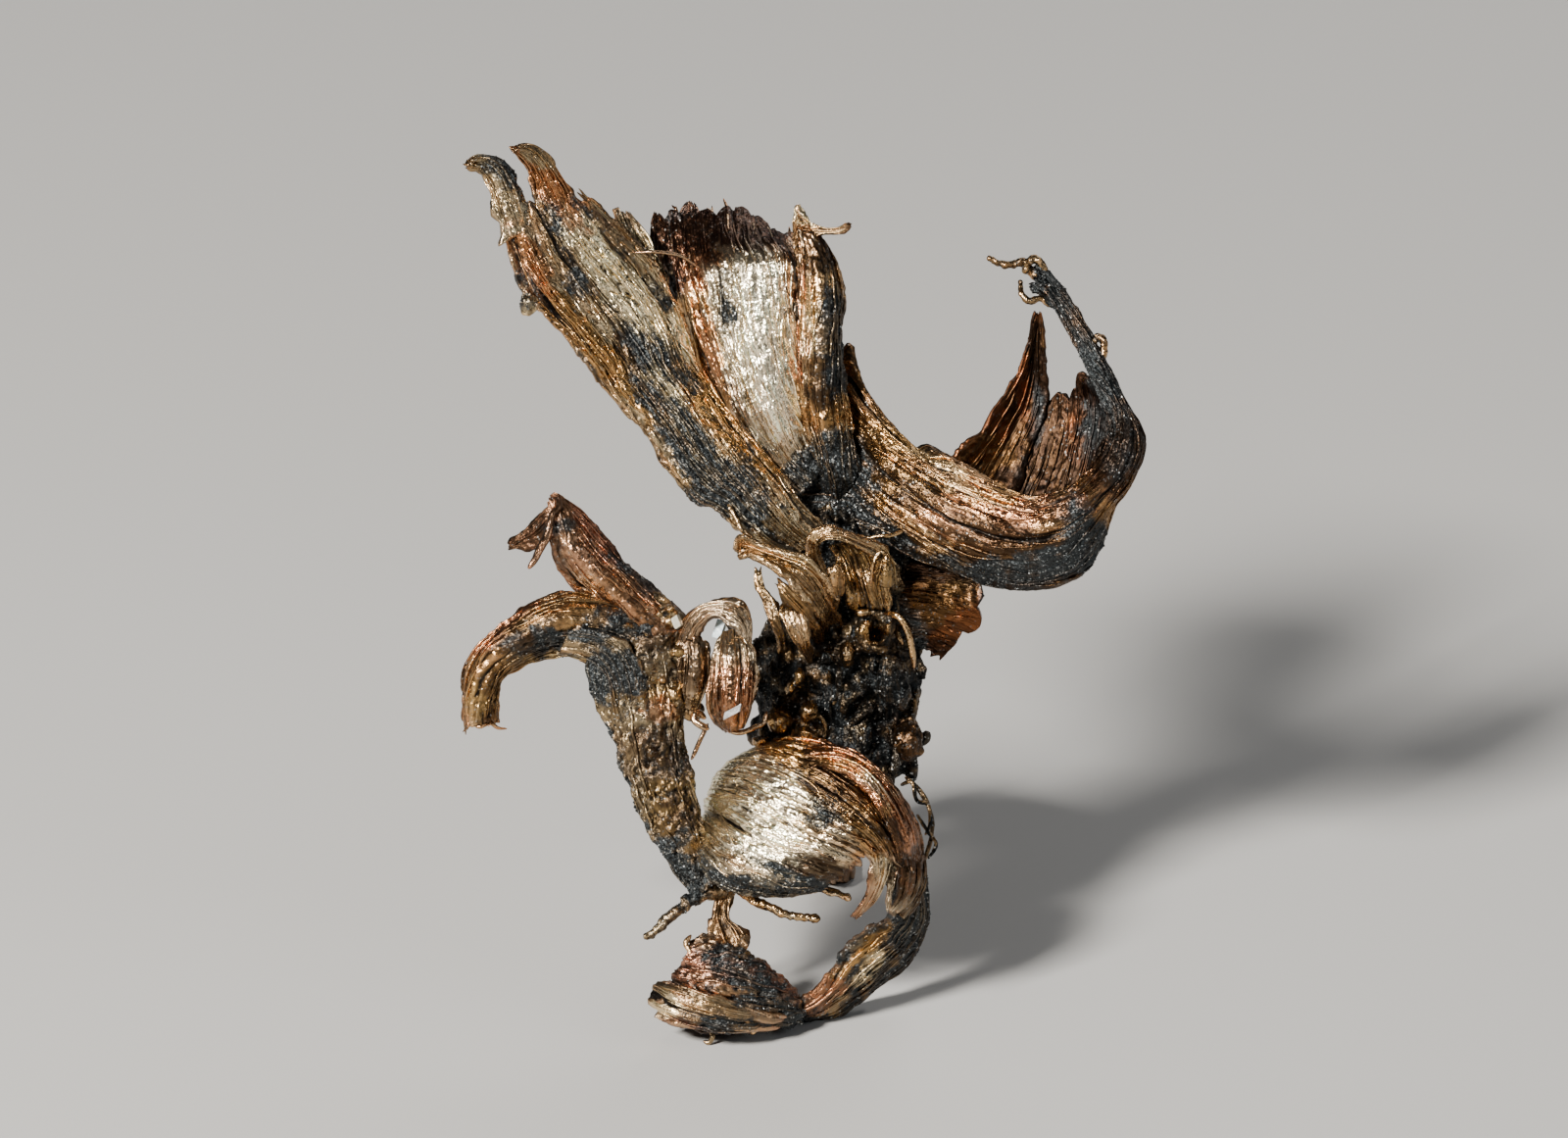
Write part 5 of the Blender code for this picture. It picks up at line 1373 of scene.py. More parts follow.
        ((-6.2, 34.8, -2.6), (-7.1, 33.5, -2.4), (-7.8, 29.7, -2.2), (-7.4, 27.8, -2), (-6.3, 26.8, -1.8)),
        ((-5.8, 34.8, -3.6), (-5.8, 33, -5), (-5.9, 29.3, -5.4), (-5.8, 27.7, -4.6), (-5.6, 26.7, -2.8)),
        ((-5.2, 34.8, -2.8), (-3.7, 32.7, -3), (-4.2, 28.7, -2.6), (-4.9, 26.9, -2.2)),
    ),
    "front_curl": (
        ((3.7, 35.3, 3), (3.1, 37.7, -2.2), (2.2, 39.6, -3.9), (0.5, 41.2, -4.4), (-4.2, 42.8, -3.1),
         (-5.3, 42.7, -2.6), (-5.5, 41.8, -2.2)),
        ((2.8, 34.8, 3.2), (2.2, 37, -0.6), (1.2, 38.8, -2), (-0.4, 40.3, -2.4), (-4.1, 41.9, -1.6),
         (-4.9, 42, -1.4), (-5.1, 41.5, -1.5)),
        ((1.8, 34.2, 3.4), (1.3, 36.2, -1.6), (-1.2, 39.5, -3.8), (-4.1, 41.2, -2.9), (-5.2, 41.2, -2.2)),
    ),
    "back_curl": (
        ((2.5, 36.5, 3), (1.7, 39.5, -0.6), (0.7, 41.3, -2.6), (0.7, 42.7, -3.6), (1.5, 43.6, -4),
         (3, 43.8, -4.2), (6.6, 42.6, -3.4), (8, 41.2, -1.8), (9, 39.2, 2)),
        ((3.8, 37.3, 3), (2.8, 39.5, -0.2), (1.5, 42.3, -2.8), (3.2, 43, -3.8), (6, 41.5, -3),
         (7, 40.3, -1.4), (7.7, 38.7, 2)),
    ),
    "gold_knot": (
        ((2.7, 42.2, 0.2), (3, 40.3, -1.2), (3.7, 38.3, -1.4), (4.4, 36.7, 0.2)),
        ((3.6, 42.6, -1), (4.3, 40.5, -0.4), (5, 38.5, -0.8), (5.6, 36.7, -0.2)),
        ((5.1, 42.8, -2), (6, 40.8, -1), (6.5, 38.8, -1.2), (6.8, 36.8, -0.2)),
        ((6.3, 42.3, -2), (7.3, 40.5, -2.2), (7.9, 38.7, -1.8), (8.1, 36.8, 0)),
    ),
    "stem_leaf": (
        ((-1.6, 32.7, 3.4), (-2.2, 34.9, -0.6), (-3.7, 38.7, -0.2), (-4, 40.8, 0.4)),
        ((-1.2, 32.7, 3.4), (-1.4, 35.3, -0.6), (-1.8, 37.2, -1), (-2.8, 38.7, -0.4), (-3.3, 40.8, 0.4)),
    ),
    "pointed_leaf": (
        ((0.7, 32.3, 3), (-0.4, 34, -1.2), (-1.3, 34.9, -1.8), (-1.7, 36.6, -1.4), (-0.7, 38.3, 0)),
        ((1.3, 32.5, 3), (1, 34, -1), (1, 35.3, -1.8), (0.5, 37, -1.6), (-0.3, 38.3, 0)),
    ),
    "root_curl": (
        ((-1.7, 28.2, 6.8), (-2.3, 31, 14), (-1.7, 29.8, 22), (-0.8, 26, 28.2), (-1.3, 20.8, 32.8),
         (-1.6, 16.3, 34.8), (-1.3, 13.8, 31.8), (-0.8, 13.8, 27.6), (-0.4, 15.3, 25.8)),
        ((2.5, 28.6, 6.8), (2.5, 32.3, 14.5), (2.2, 31, 23.8), (1.7, 26.3, 31), (1.1, 20.8, 35.4),
         (1, 16, 36.8), (1.2, 13.6, 33), (1.4, 13.9, 28.6), (1.6, 15.5, 26.6)),
        ((6.8, 28.8, 6.8), (7.7, 31.8, 13.6), (6, 30.3, 22.6), (4.2, 26, 29.2), (3.8, 20.8, 33.4),
         (4.3, 16.3, 35.4), (4.7, 13.8, 32.2), (4.3, 13.9, 28.4), (3.8, 15, 26.4)),
    ),
    "shell_petal": (
        ((4.7, 18.2, -6.4), (5.7, 15.8, -6.4), (5.8, 14, -6), (5.3, 12.3, -5.2), (4.2, 10.6, -4.2)),
        ((7.7, 18.2, -5.2), (7.8, 15.5, -5.2), (6.4, 12.2, -4.6), (4.6, 10.5, -4)),
    ),
    "shell_band": (
        ((8.2, 16.3, -4.6), (8.6, 14.3, -4.2), (8.2, 12.5, -3.2), (7.4, 11.2, -2.2)),
        ((9.5, 16.2, -3.2), (9.7, 14.2, -2.6), (9.2, 12.4, -1.8), (8.2, 10.8, -1.2)),
        ((10.5, 16, -0.8), (10.1, 12.3, 0), (9, 10.7, 0)),
    ),
    "left_arm": (
        ((-8.7, 12.2, 1), (-11.2, 16.2, 1), (-12.8, 18.2, 1), (-14.7, 22.8, 0.8), (-15.7, 26.2, 0.6),
         (-17.7, 30.3, 0.6), (-18, 32.2, 0.6), (-17, 34.1, 0.4)),
        ((-7.8, 13.2, 0.2), (-10.9, 19.9, -0.4), (-13.4, 29.3, -1), (-13.4, 33, -1.4), (-12.8, 34.9, -1.4)),
        ((-6.8, 14.1, 0.6), (-9, 20.5, 0.8), (-10, 27.2, 0.6), (-8.7, 31.2, 0.6), (-8.7, 33.7, 0.4),
         (-9.5, 35.8, 0.4)),
    ),
    "leaf_left": (
        ((-12, 63.2, 6.4), (-12.9, 68.7, 7), (-12.4, 70.9, 7.6)),
        ((-11.2, 63.2, 5.8), (-11.4, 66.3, 5.8), (-11.7, 68.7, 6.4), (-12.2, 70.9, 7.6)),
        ((-10.2, 63.2, 6.2), (-10.2, 66.3, 6.4), (-11.3, 69.8, 7.4), (-12.1, 70.9, 7.6)),
    ),
    "leaf_middle": (
        ((-10.5, 63.7, 6.2), (-10.8, 69.1, 6.8), (-9.5, 71.8, 7.2)),
        ((-9.2, 63.7, 5.4), (-9.2, 66.8, 5.6), (-9.2, 71.8, 7.2)),
        ((-7.7, 63.7, 5.8), (-7.5, 66.8, 6), (-7.7, 69.2, 6.6), (-8.9, 71.7, 7.2)),
    ),
    "knot_leaf": (
        ((6.3, 39.3, -2.6), (6.8, 40.6, -3.8), (7.2, 41.7, -4.2)),
        ((7.1, 38.8, -4), (7.4, 40.2, -4.6), (7.3, 41.6, -4.4)),
        ((8.2, 39.2, -2.6), (7.9, 40.5, -3.8), (7.4, 41.7, -4.2)),
    ),
    "knot_fold": (
        ((2.4, 38.5, -1.8), (2.2, 39.8, -3), (2.6, 41, -3.4)),
        ((3, 38, -2.6), (3, 39.5, -3.8), (3, 40.9, -3.8)),
        ((3.8, 38.2, -2.2), (3.9, 39.5, -3.2), (3.5, 40.8, -3.4)),
    ),
    "under_curl": (
        ((1.3, 34, 1.6), (0.5, 35.5, -1.2), (-1.7, 38.2, -2.2), (-2.2, 39.1, -1.8)),
        ((2.2, 34.5, 1.4), (1.5, 36.2, -1.4), (0.4, 37.7, -2.4), (-0.8, 38.8, -2.6), (-1.8, 39.7, -2)),
    ),
    "whorl": (
        ((-0.8, 25, -1), (1.8, 25.3, -1.6), (4.3, 24.8, -2.2), (6.8, 23.2, -2.8), (8.8, 20.7, -3),
         (10, 17.8, -2.8), (10.2, 15.5, -2)),
        ((-0.2, 24.5, -2.6), (2.3, 24.7, -3.6), (4.7, 23.8, -4.6), (6.8, 21.8, -5.2), (8.2, 19.5, -5.4),
         (9.2, 17.2, -5), (9.5, 15.5, -4)),
        ((0.8, 23.5, -4.2), (3, 23.3, -5.6), (5, 22.2, -6.6), (6.5, 20.3, -7), (8.2, 16.7, -6.6),
         (8.4, 15.3, -5.6)),
    ),
    "foot_roll": (
        ((-12.3, 3.2, -1.6), (-11, 2.4, -2.8), (-8.7, 1.6, -3.2), (-5.9, 1.2, -2.8), (-2.6, 1.4, -1.4)),
        ((-12.5, 4.1, -2.2), (-10.8, 3.8, -4.2), (-8.3, 3, -4.8), (-5.5, 2.4, -4.4), (-2.2, 2.2, -2.4)),
        ((-11.7, 5, -1.8), (-10, 4.9, -3.8), (-7.7, 4.3, -4.6), (-5.2, 3.6, -4.2), (-2, 2.8, -2)),
    ),
    "arm_wrap": (
        ((-20.3, 33.3, -1.6), (-18.3, 33, -2), (-17, 32, -2), (-16.3, 30.3, -1.6), (-15.5, 26, -0.4)),
        ((-19.8, 34.5, -2.4), (-17.7, 34.1, -2.8), (-15.8, 32.8, -2.8), (-14.9, 30.8, -2.4),
         (-14, 26.3, -1)),
        ((-19, 35.5, -2.9), (-16.7, 35.2, -3.1), (-14.5, 34, -3), (-13.4, 31.8, -2.7), (-12.8, 27.2, -1.2)),
    ),
}


# ---- branches ---------------------------------------------------------------------------------


def joined(piece: Object, node: str, slot: str) -> None:
    """Joins a piece to the frame: it rides the one body, and takes the place of a node."""
    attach(piece, BODY)
    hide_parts(node)
    piece.data.calc_loop_triangles()
    LOG.info("%s: %d triangles", piece.name, len(piece.data.loop_triangles))


@dataclass
class Branch:
    """One branch of the specimen: its ribbons, its loose wires, its crust and its finish.

    crystals is how many lie on each square metre of crust, and crystal_size is in metres.
    """

    node: str = "branch"
    metal: Metal = Metal("silver_metal")
    tones: Tones = Tones()
    patches: Patches = ()
    ribbons: Ribbons = ()
    crystals: float = 5.0e6
    crystal_size: float = 0.00011
    name: str = ""

    def extra_sheets(self) -> list[Sheet]:
        """Surfaces that aren't ribbons."""
        return []

    def named_wires(self) -> list[Wire]:
        """Wires that have their own place."""
        return []

    def build(self) -> list[Object]:
        """Builds the branch's skin, loose wires and crystals, dressed and joined to the frame.

        Returns:
            The objects.
        """
        name = self.name or self.node + "_skin"
        rng = np.random.default_rng(sum(map(ord, name)))
        sheets, wires = self.extra_sheets(), self.named_wires()
        for ribbon in self.ribbons:
            sheet, front = ribbon.sheet(ribbon.tones or self.tones, self.patches)
            sheets.append(sheet)
            wires += strewn_wires(ribbon, front, rng)
        skin = mesh_object(name, sheets, self.metal.material())
        routes = route_object(name + "_routes", wires)
        pieces = [skin, grown(routes, name + "_wires", wire_tree(),
                              {"Sides": 6, "Kink": WIRE_KINK, "Kink Scale": 800.0, "Seed": float(len(wires)),
                               "Finish": self.metal.material(fibrous=False)})]
        bpy.data.objects.remove(routes)
        if self.crystals:
            pieces.append(grown(skin, name + "_crystals", crystal_tree(),
                                {"Density": self.crystals * DETAIL, "Least Crust": 0.5, "Seed": len(name),
                                 "Size": self.crystal_size, "Finish": crystal_material()}))
        for piece in pieces:
            joined(piece, self.node, self.node)
        return pieces


# What ribbons of one kind share.
SMOOTHER = {"relief": 0.04, "fold": 0.2, "bundle": 2.6, "slits": 0.08}
GOLDEN = Tones(0.75, 0.14, 0.36, 0, 0.1)
GREY = Tones(0.45, 0.14, 0.3, 0, 0.1)
CORE_LEAF = {"fold": 0.1, "slits": 0.08, "relief": 0.12, "columns": 4, "strays": 1, "tones": GOLDEN}


@dataclass
class LeftFan(Branch):
    """The long fan to the upper left, with two hooked tips and a tooth behind."""

    node: str = "left_fan"
    metal: Metal = Metal("left_fan_silver", pale=(0.9, 0.75, 0.47), copper=(0.6, 0.26, 0.1))
    tones: Tones = Tones(0.42, 0.06, 0.22, 0.16, 0.45)
    patches: Patches = spots(
        pale=[(-18, 68, 3.4, 1.4, -50, 0.9), (-15.3, 64.1, 4.2, 1.6, -50, 0.9),
              (-12, 61.2, 4.5, 1.3, -55, 0.7), (-11.3, 55.8, 2, 0.7, -50, 0.7)],
        warm=[(-20, 61.2, 3.2, 1.4, -55, 0.8), (-16.2, 57.7, 3.8, 1, -55, 0.8), (-13, 54.1, 4.2, 1, -52, 0.7),
              (-8.4, 54.5, 5, 1.3, -48, 0.7), (-5.1, 50.8, 4, 1, -45, 0.7)],
        copper=[(-21.3, 72.2, 4.8, 1, -50, 0.95), (-23, 66.3, 3.2, 1.2, -60, 0.8),
                (-20.5, 72.8, 3.2, 0.9, -35, 0.8)],
        smoke=[(-20.3, 67.2, 2.2, 0.7, -60, 0.6), (-14.5, 58.8, 2.6, 0.9, -55, 0.8)],
        crust=[(-23.2, 63.8, 1.2, 2.2, 0, 0.7), (-25.7, 74.5, 3, 1.2, -40, 0.6),
               (-24.2, 72.8, 2.6, 1, -60, 0.7), (-20.7, 70.2, 2.2, 0.8, -60, 0.9),
               (-18.8, 70.8, 1.6, 0.6, -50, 0.7), (-19, 64.5, 1.8, 1, -60, 0.9), (-12, 58, 4.4, 1.6, -50),
               (-13.4, 55.3, 2, 0.9, -50, 0.9), (-12, 63, 1.8, 0.7, -60, 0.9), (-9.5, 50.8, 6, 1.5, -50),
               (-5.9, 47, 4, 2.4, -40), (-6.6, 52.2, 3, 0.5, -40, 0.6)],
    )
    ribbons: Ribbons = (
        Ribbon("left_fan", 1.2, 11, 0.46, columns=9, ragged=0.03, fray=1.2, strays=34, fringe=12, fold=0.4,
               edge_wobble=0.4, pits=0.14, knobs=0.1),
        Ribbon("tip_hook", 0.9, 12, 0.42, strays=3, fold=0.15),
        Ribbon("tip_horn", 0.9, 13, 0.42, strays=4, fold=0.15),
        Ribbon("back_tooth", 0.9, 14, 0.42, strays=2, fold=0.15),
    )

    def extra_sheets(self) -> list[Sheet]:
        """The lump on the fan's left edge."""
        return [knobbly([Lump((-22.9, 62.8, -3.2), (1.0, 1.3, 0.9), 12)], 0.12, self.tones, self.patches, 12)]


@dataclass
class MiddleFan(Branch):
    """The upright ragged fan behind the left one, with the leaves that crowd its tip."""

    node: str = "middle_fan"
    # The bright pale colour and the pale patches in the fan's middle are partly clean silver and partly a
    # painted highlight.
    metal: Metal = Metal("middle_fan_silver", pale=(0.98, 0.85, 0.61), umber=(0.05, 0.022, 0.014))
    tones: Tones = Tones(0.34, 0.06, 0.1, 0.04, 0.3)
    patches: Patches = spots(
        pale=[(-2.3, 57.7, 2.6, 6.4, 8, 1.1), (-3.7, 64.9, 2.6, 2.6, 0, 0.9), (-4.2, 59.9, 2, 4, 0, 0.6)],
        warm=[(-8.4, 61.2, 1.6, 6, 12, 0.6), (-7.6, 56.6, 1.6, 3.2, 20, 0.7)],
        copper=[(-6.8, 69.3, 7, 3, 0, 0.5), (-1.3, 67.8, 1.6, 2.6, 0, 0.6), (-9, 66.3, 2.2, 2, 0, 0.7),
                (-7.3, 59.1, 0.8, 4, 12, 0.5)],
        # The strongest dark patch, across the fan's top where it bends back, is partly reddish tarnish and
        # partly painted shade.
        smoke=[(-6.2, 70, 6.4, 3, 0, 1.7), (-11, 68.7, 2.6, 4.2, 0, 1.1), (-1.3, 64.5, 0.9, 4.5, 0, 0.7),
               (-5.9, 55.3, 1.6, 1.2, 0, 0.6)],
        crust=[(0.8, 48.5, 1.8, 2.4, 0, 1.2), (-5.3, 63.8, 1.5, 2.8, 5), (-5.7, 61, 0.8, 2, 5, 0.8),
               (-9.7, 71, 2.6, 1.2, 0, 0.6), (-11, 64.5, 0.7, 2.2, 0, 0.9), (-3.8, 51.2, 2, 1.6, 0, 0.5)],
    )
    ribbons: Ribbons = (
        Ribbon("middle_fan", 1.1, 21, 0.46, columns=10, ragged=0.04, salt=2, fray=0.8, strays=26, fringe=9,
               fold=0.4, bundle=2, tooth=1.9, slits=0.1),
        *(Ribbon(leaf, 0.7, seed, 0.42, columns=3, strays=1, fold=0.1, tip=0.3, fray=0.3)
          for leaf, seed in (("leaf_left", 22), ("leaf_middle", 23))),
    )

    def named_wires(self) -> list[Wire]:
        """The wire that crosses the dark gap."""
        return [loose(30, 0.16, 0.3, 0.1, 0.5, (-14.2, 67.2, -1.6), (-12.6, 67.2, -2), (-10.5, 67, -1.8),
                      (-9.2, 66.3, -1.2), (-8.3, 65.7, -0.6))]


@dataclass
class RightFold(Branch):
    """The folded ribbon beside the middle fan, with its hooked tip."""

    node: str = "right_fold"
    metal: Metal = Metal("right_fold_silver")
    tones: Tones = Tones(0.5, 0.22, 0.2, 0.06, 0.5)
    patches: Patches = spots(
        pale=[(1.8, 70.8, 3.2, 1.4, 0, 0.7), (1, 61.2, 0.7, 3.4, 0, 0.6)],
        warm=[(2.4, 53.7, 1.8, 1.2, 0, 0.9)],
        copper=[(0.5, 61.2, 0.8, 5, 0, 0.6)],
        smoke=[(1.8, 56.2, 0.9, 2.6, 0, 0.7), (1.6, 66.8, 1.4, 1.6, 0, 0.8)],
        crust=[(2.8, 59.5, 1.1, 4.6, 4), (3.5, 49.1, 3.4, 3)],
    )
    ribbons: Ribbons = (
        Ribbon("right_fold", 1.1, 31, 0.42, strays=12, fringe=3, bundle=1.6),
        Ribbon("fold_hook", 0.8, 32, 0.36, strays=2, fold=0.1, relief=0.16),
    )


@dataclass
class HornWall(Branch):
    """The cupped wall of the horn, which narrows to its wire tip."""

    node: str = "horn"
    metal: Metal = Metal("horn_silver", pale=(0.74, 0.53, 0.28), gold=(0.46, 0.25, 0.08))
    tones: Tones = Tones(0.85, 0.2, 0.36, 0.04, 0.4)
    patches: Patches = spots(
        # The thin pale bands along the upper ridge are partly clean metal and partly a painted highlight on
        # its cords.
        pale=[(9.5, 50.2, 5, 0.6, -28, 0.6), (12, 47, 4, 0.6, -15, 0.3), (20.8, 43.8, 2.2, 0.4, 12, 0.5)],
        warm=[(6.6, 45.8, 1.5, 0.8, -30), (7.4, 52.8, 3, 1.4, -45, 0.5)],
        copper=[(14.1, 44.5, 5, 1.6, -12, 0.5), (20.5, 44.5, 4, 1.5, 12, 0.7), (26, 49.5, 2.2, 3.2, 0, 0.6)],
        # The thin dark bands beside the pale ones are partly painted shade between the cords; the strong dark
        # patches along the lower edge, at the right rim and towards the tip are partly dark tarnish and
        # partly painted shade.
        smoke=[(9.1, 46.2, 2.2, 0.5, -25, 0.8), (15.3, 43.7, 4.5, 1, -8, 0.6), (18.7, 42.7, 5, 0.9, 0, 1.1),
               (10.3, 47, 3, 0.4, -28, 0.8), (20.3, 39.5, 7, 1.8, 5, 1.5), (17, 41.8, 4, 1, 0, 0.9),
               (27, 52, 2.6, 5.6, 0, 1.6), (24.1, 60.3, 2.6, 7, 25, 1.2)],
        crust=[(2.7, 47.7, 4.6, 3.8, -40), (6.2, 44.3, 4.4, 1.5, -25), (19.9, 40.8, 6, 1.4, 10),
               (24.1, 43, 1.8, 3, 30), (13.2, 41, 4.5, 0.9, -10, 0.6), (26.7, 52, 1.4, 4.5, 0, 0.6),
               (22.4, 61.8, 2.4, 6.5, 25, 0.8), (26, 57.4, 1.6, 3.4, 10, 0.8), (19.9, 64.9, 2.4, 2, 0, 0.5)],
    )
    ribbons: Ribbons = (
        Ribbon("horn_wall", 1.1, 41, 0.42, columns=9, tip=0.7, strays=36, fold=0.55, bundle=1.7, relief=0.18),
    )

    def extra_sheets(self) -> list[Sheet]:
        """The knobbly wire that ends the horn, its hook and its rolled lip, and the ear on its outer edge."""
        limbs = (
            ((20, 65.3, 2.4), (19, 66.4, 2.2), (18, 66.2, 1.9), (17, 66.3, 1.8), (16.1, 66.8, 1.7)),
            ((18.8, 64.7, 2), (18.9, 63.7, 1.6), (19.5, 63.1, 1.4), (20.5, 63.3, 1.8), (21.5, 62.7, 1.8)),
            ((19.2, 65.7, 2.2), (19.6, 66.6, 1.8), (20.5, 66.4, 1.8), (21, 65.3, 2.2)),
            ((24.7, 59.3, 0.6), (25.3, 60, 0.4), (25.9, 59.6, 0.2), (25.8, 58.2, 0.4)),
        )
        radii = ((0.5, 0.24), (0.26, 0.3), (0.4, 0.4), (0.36, 0.4))
        worn = replace(self.tones, warm=0.5, smoke=0.6, crust=0.2)
        return [knobbly(chain(limb, radius, 30 + k, 0.6), 0.09, worn, (), 30 + k, roughness=0.3)
                for k, (limb, radius) in enumerate(zip(limbs, radii))]


@dataclass
class HornPetals(Branch):
    """The smooth, brown petals that stand in the horn."""

    name: str = "horn_petals_skin"
    node: str = "horn"
    metal: Metal = Metal("petal_silver", pale=(0.3, 0.19, 0.09), gold=(0.17, 0.09, 0.033),
                         copper=(0.23, 0.08, 0.032), umber=(0.025, 0.014, 0.009), gloss=0.24, relief=0.4,
                         facets=0.4)
    tones: Tones = Tones(0.7, 0.2, 0.42, 0.02, 0.6)
    patches: Patches = spots(
        warm=[(15.3, 49.5, 3.4, 2.4, 30, 0.7)],
        copper=[(19.1, 56.6, 1, 3.6, 8, 0.9), (16.2, 54.1, 1, 2.6, 30, 0.6), (24.5, 52, 1.6, 4, 0, 0.9)],
        smoke=[(19.9, 59.1, 0.9, 4.5, 5), (20.5, 53.7, 0.7, 4.5, 0, 0.9), (22.8, 55.3, 2, 2.6, 0, 0.7),
               (22, 49.5, 3, 3.4, 20, 0.8), (25.7, 52, 2, 5.4, 0, 1.2), (20.2, 47, 4, 0.8, -25)],
        crust=[(20.3, 52.8, 0.6, 3.2, 0, 0.7), (26, 52.7, 1.6, 5, 0, 0.9)],
    )
    ribbons: Ribbons = (
        Ribbon("petal_one", 0.9, 42, 0.55, columns=5, tip=0.3, strays=3, fray=0.2, **SMOOTHER),
        Ribbon("petal_two", 0.9, 43, 0.55, columns=5, ragged=0.12, salt=5, strays=3, tooth=1.6, **SMOOTHER),
        Ribbon("petal_three", 0.9, 44, 0.55, columns=4, strays=2, **SMOOTHER),
    )


@dataclass
class SideFan(Branch):
    """The short ragged fan under the horn."""

    node: str = "side_fan"
    metal: Metal = Metal("side_fan_silver", pale=(0.19, 0.12, 0.055), gold=(0.12, 0.064, 0.022),
                         copper=(0.19, 0.068, 0.026), umber=(0.026, 0.014, 0.009), gloss=0.18, facets=0.5)
    tones: Tones = Tones(0.7, 0.14, 0.3, 0.06, 0.7)
    patches: Patches = spots(
        warm=[(11.6, 37.7, 3, 1, 0, 0.5)],
        copper=[(14.5, 34.5, 3.2, 2.4, 20, 0.9)],
        # The long patch along the fan's top is a painted shadow cast by the horn.
        smoke=[(12, 33, 2.4, 1.4, 20, 0.8), (11.6, 40.5, 6, 1.2, 0, 0.9)],
        crust=[(16.3, 37.8, 0.9, 3.5, 0, 0.6), (9.1, 35.3, 1.6, 2.5, 0, 0.8)],
    )
    ribbons: Ribbons = (
        Ribbon("side_fan", 1, 51, 0.3, columns=8, ragged=0.1, salt=4, strays=5, fold=0.26, relief=0.07,
               tooth=2.6, slits=0.1, edge_wobble=0.6),
    )


@dataclass
class Shell(Branch):
    """The striated curl like a shell, with its petals, hooks and slivers."""

    node: str = "shell"
    # The bright pale colour and the pale patches on the shell's upper left are partly clean silver and partly
    # a painted highlight.
    metal: Metal = Metal("shell_silver", pale=(0.95, 0.82, 0.57))
    tones: Tones = Tones(0.32, 0.05, 0.12, 0.02, 0.4)
    patches: Patches = spots(
        pale=[(-4.2, 20.5, 5, 4, -20), (-8.7, 20.2, 3, 3.6, -10, 0.9), (-5.3, 17.3, 5, 1.6, -20, 0.5),
              (5.8, 22, 2, 0.7, -40, 0.8)],
        warm=[(-2.2, 23.7, 2.8, 1.2, 10, 0.5), (1.8, 24.3, 4.5, 1.6, -10, 0.9), (4.1, 20.8, 3.6, 1.6, -35),
              (6.2, 18.2, 3, 2.2, -50, 0.8)],
        copper=[(2.8, 24.7, 3, 0.8, -10, 0.6), (6, 22.2, 2.6, 1.2, -40, 0.7), (9.1, 18.2, 1.6, 4.4, 0, 0.9),
                (4.8, 12.4, 1.8, 3, -20, 0.6)],
        smoke=[(2.8, 22, 3, 0.9, -35, 0.8), (5.8, 19.5, 3, 1, -40, 0.8), (8, 16.8, 2.2, 0.8, -65, 0.8),
               (9.5, 13.7, 2, 3, 0, 0.9), (1.3, 22.3, 1.4, 1.8, 30, 0.7), (1.8, 15, 4, 1.2, -12, 0.9),
               (5.2, 13.2, 1.4, 2.4, -20, 0.5)],
        crust=[(-3.7, 16, 3.2, 0.4, -24, 0.7), (-1.7, 15, 3.2, 0.4, -18, 0.7), (2.7, 19.7, 2, 0.8, -20),
               (1.3, 18.8, 1.2, 0.5, -10, 0.8), (-5.5, 13.8, 2.2, 0.8, -15, 0.9),
               (-0.9, 13.9, 4.6, 0.8, -5, 0.9), (-7.8, 15.3, 1.6, 1.4, 0, 0.5)],
    )
    ribbons: Ribbons = (
        Ribbon("shell", 1.3, 61, 0.36, columns=10, strays=26, fringe=4, fold=0.34, bundle=2.2, fray=0.8),
        Ribbon("whorl", 0.8, 65, 0.5, columns=5, root=0.5, tip=0.4, strays=4, fold=0.14, relief=0.14,
               tones=Tones(0.75, 0.2, 0.34, 0.02, 0.6)),
        Ribbon("shell_petal", 0.9, 62, 0.7, columns=4, tip=0.3, strays=1, fold=0.08, relief=0.05, slits=0.05),
        Ribbon("shell_hook", 0.7, 63, 0.4, columns=3, strays=1, fold=0.08, relief=0.12),
        Ribbon("shell_band", 1, 64, 0.5, columns=4, strays=2, fold=0.12, relief=0.14),
    )

    def extra_sheets(self) -> list[Sheet]:
        """The two slivers under the shell."""
        short = ((-1, 13.2, -2), (1.5, 13.1, -1), (3.2, 12.7, -1.4), (4.4, 12.4, -2))
        long = ((-5, 13, 0.2), (-4, 12.2, -0.6), (-2.7, 11.6, -1), (-0.9, 10.9, -1.2), (1.5, 10.6, -1.2))
        worn = replace(self.tones, warm=0.7, smoke=0.3)
        return [knobbly(chain(route, (0.48, 0.34), 9 + k, 0.6), 0.1, worn, (), 9 + k, roughness=0.5)
                for k, route in enumerate((short, long))]


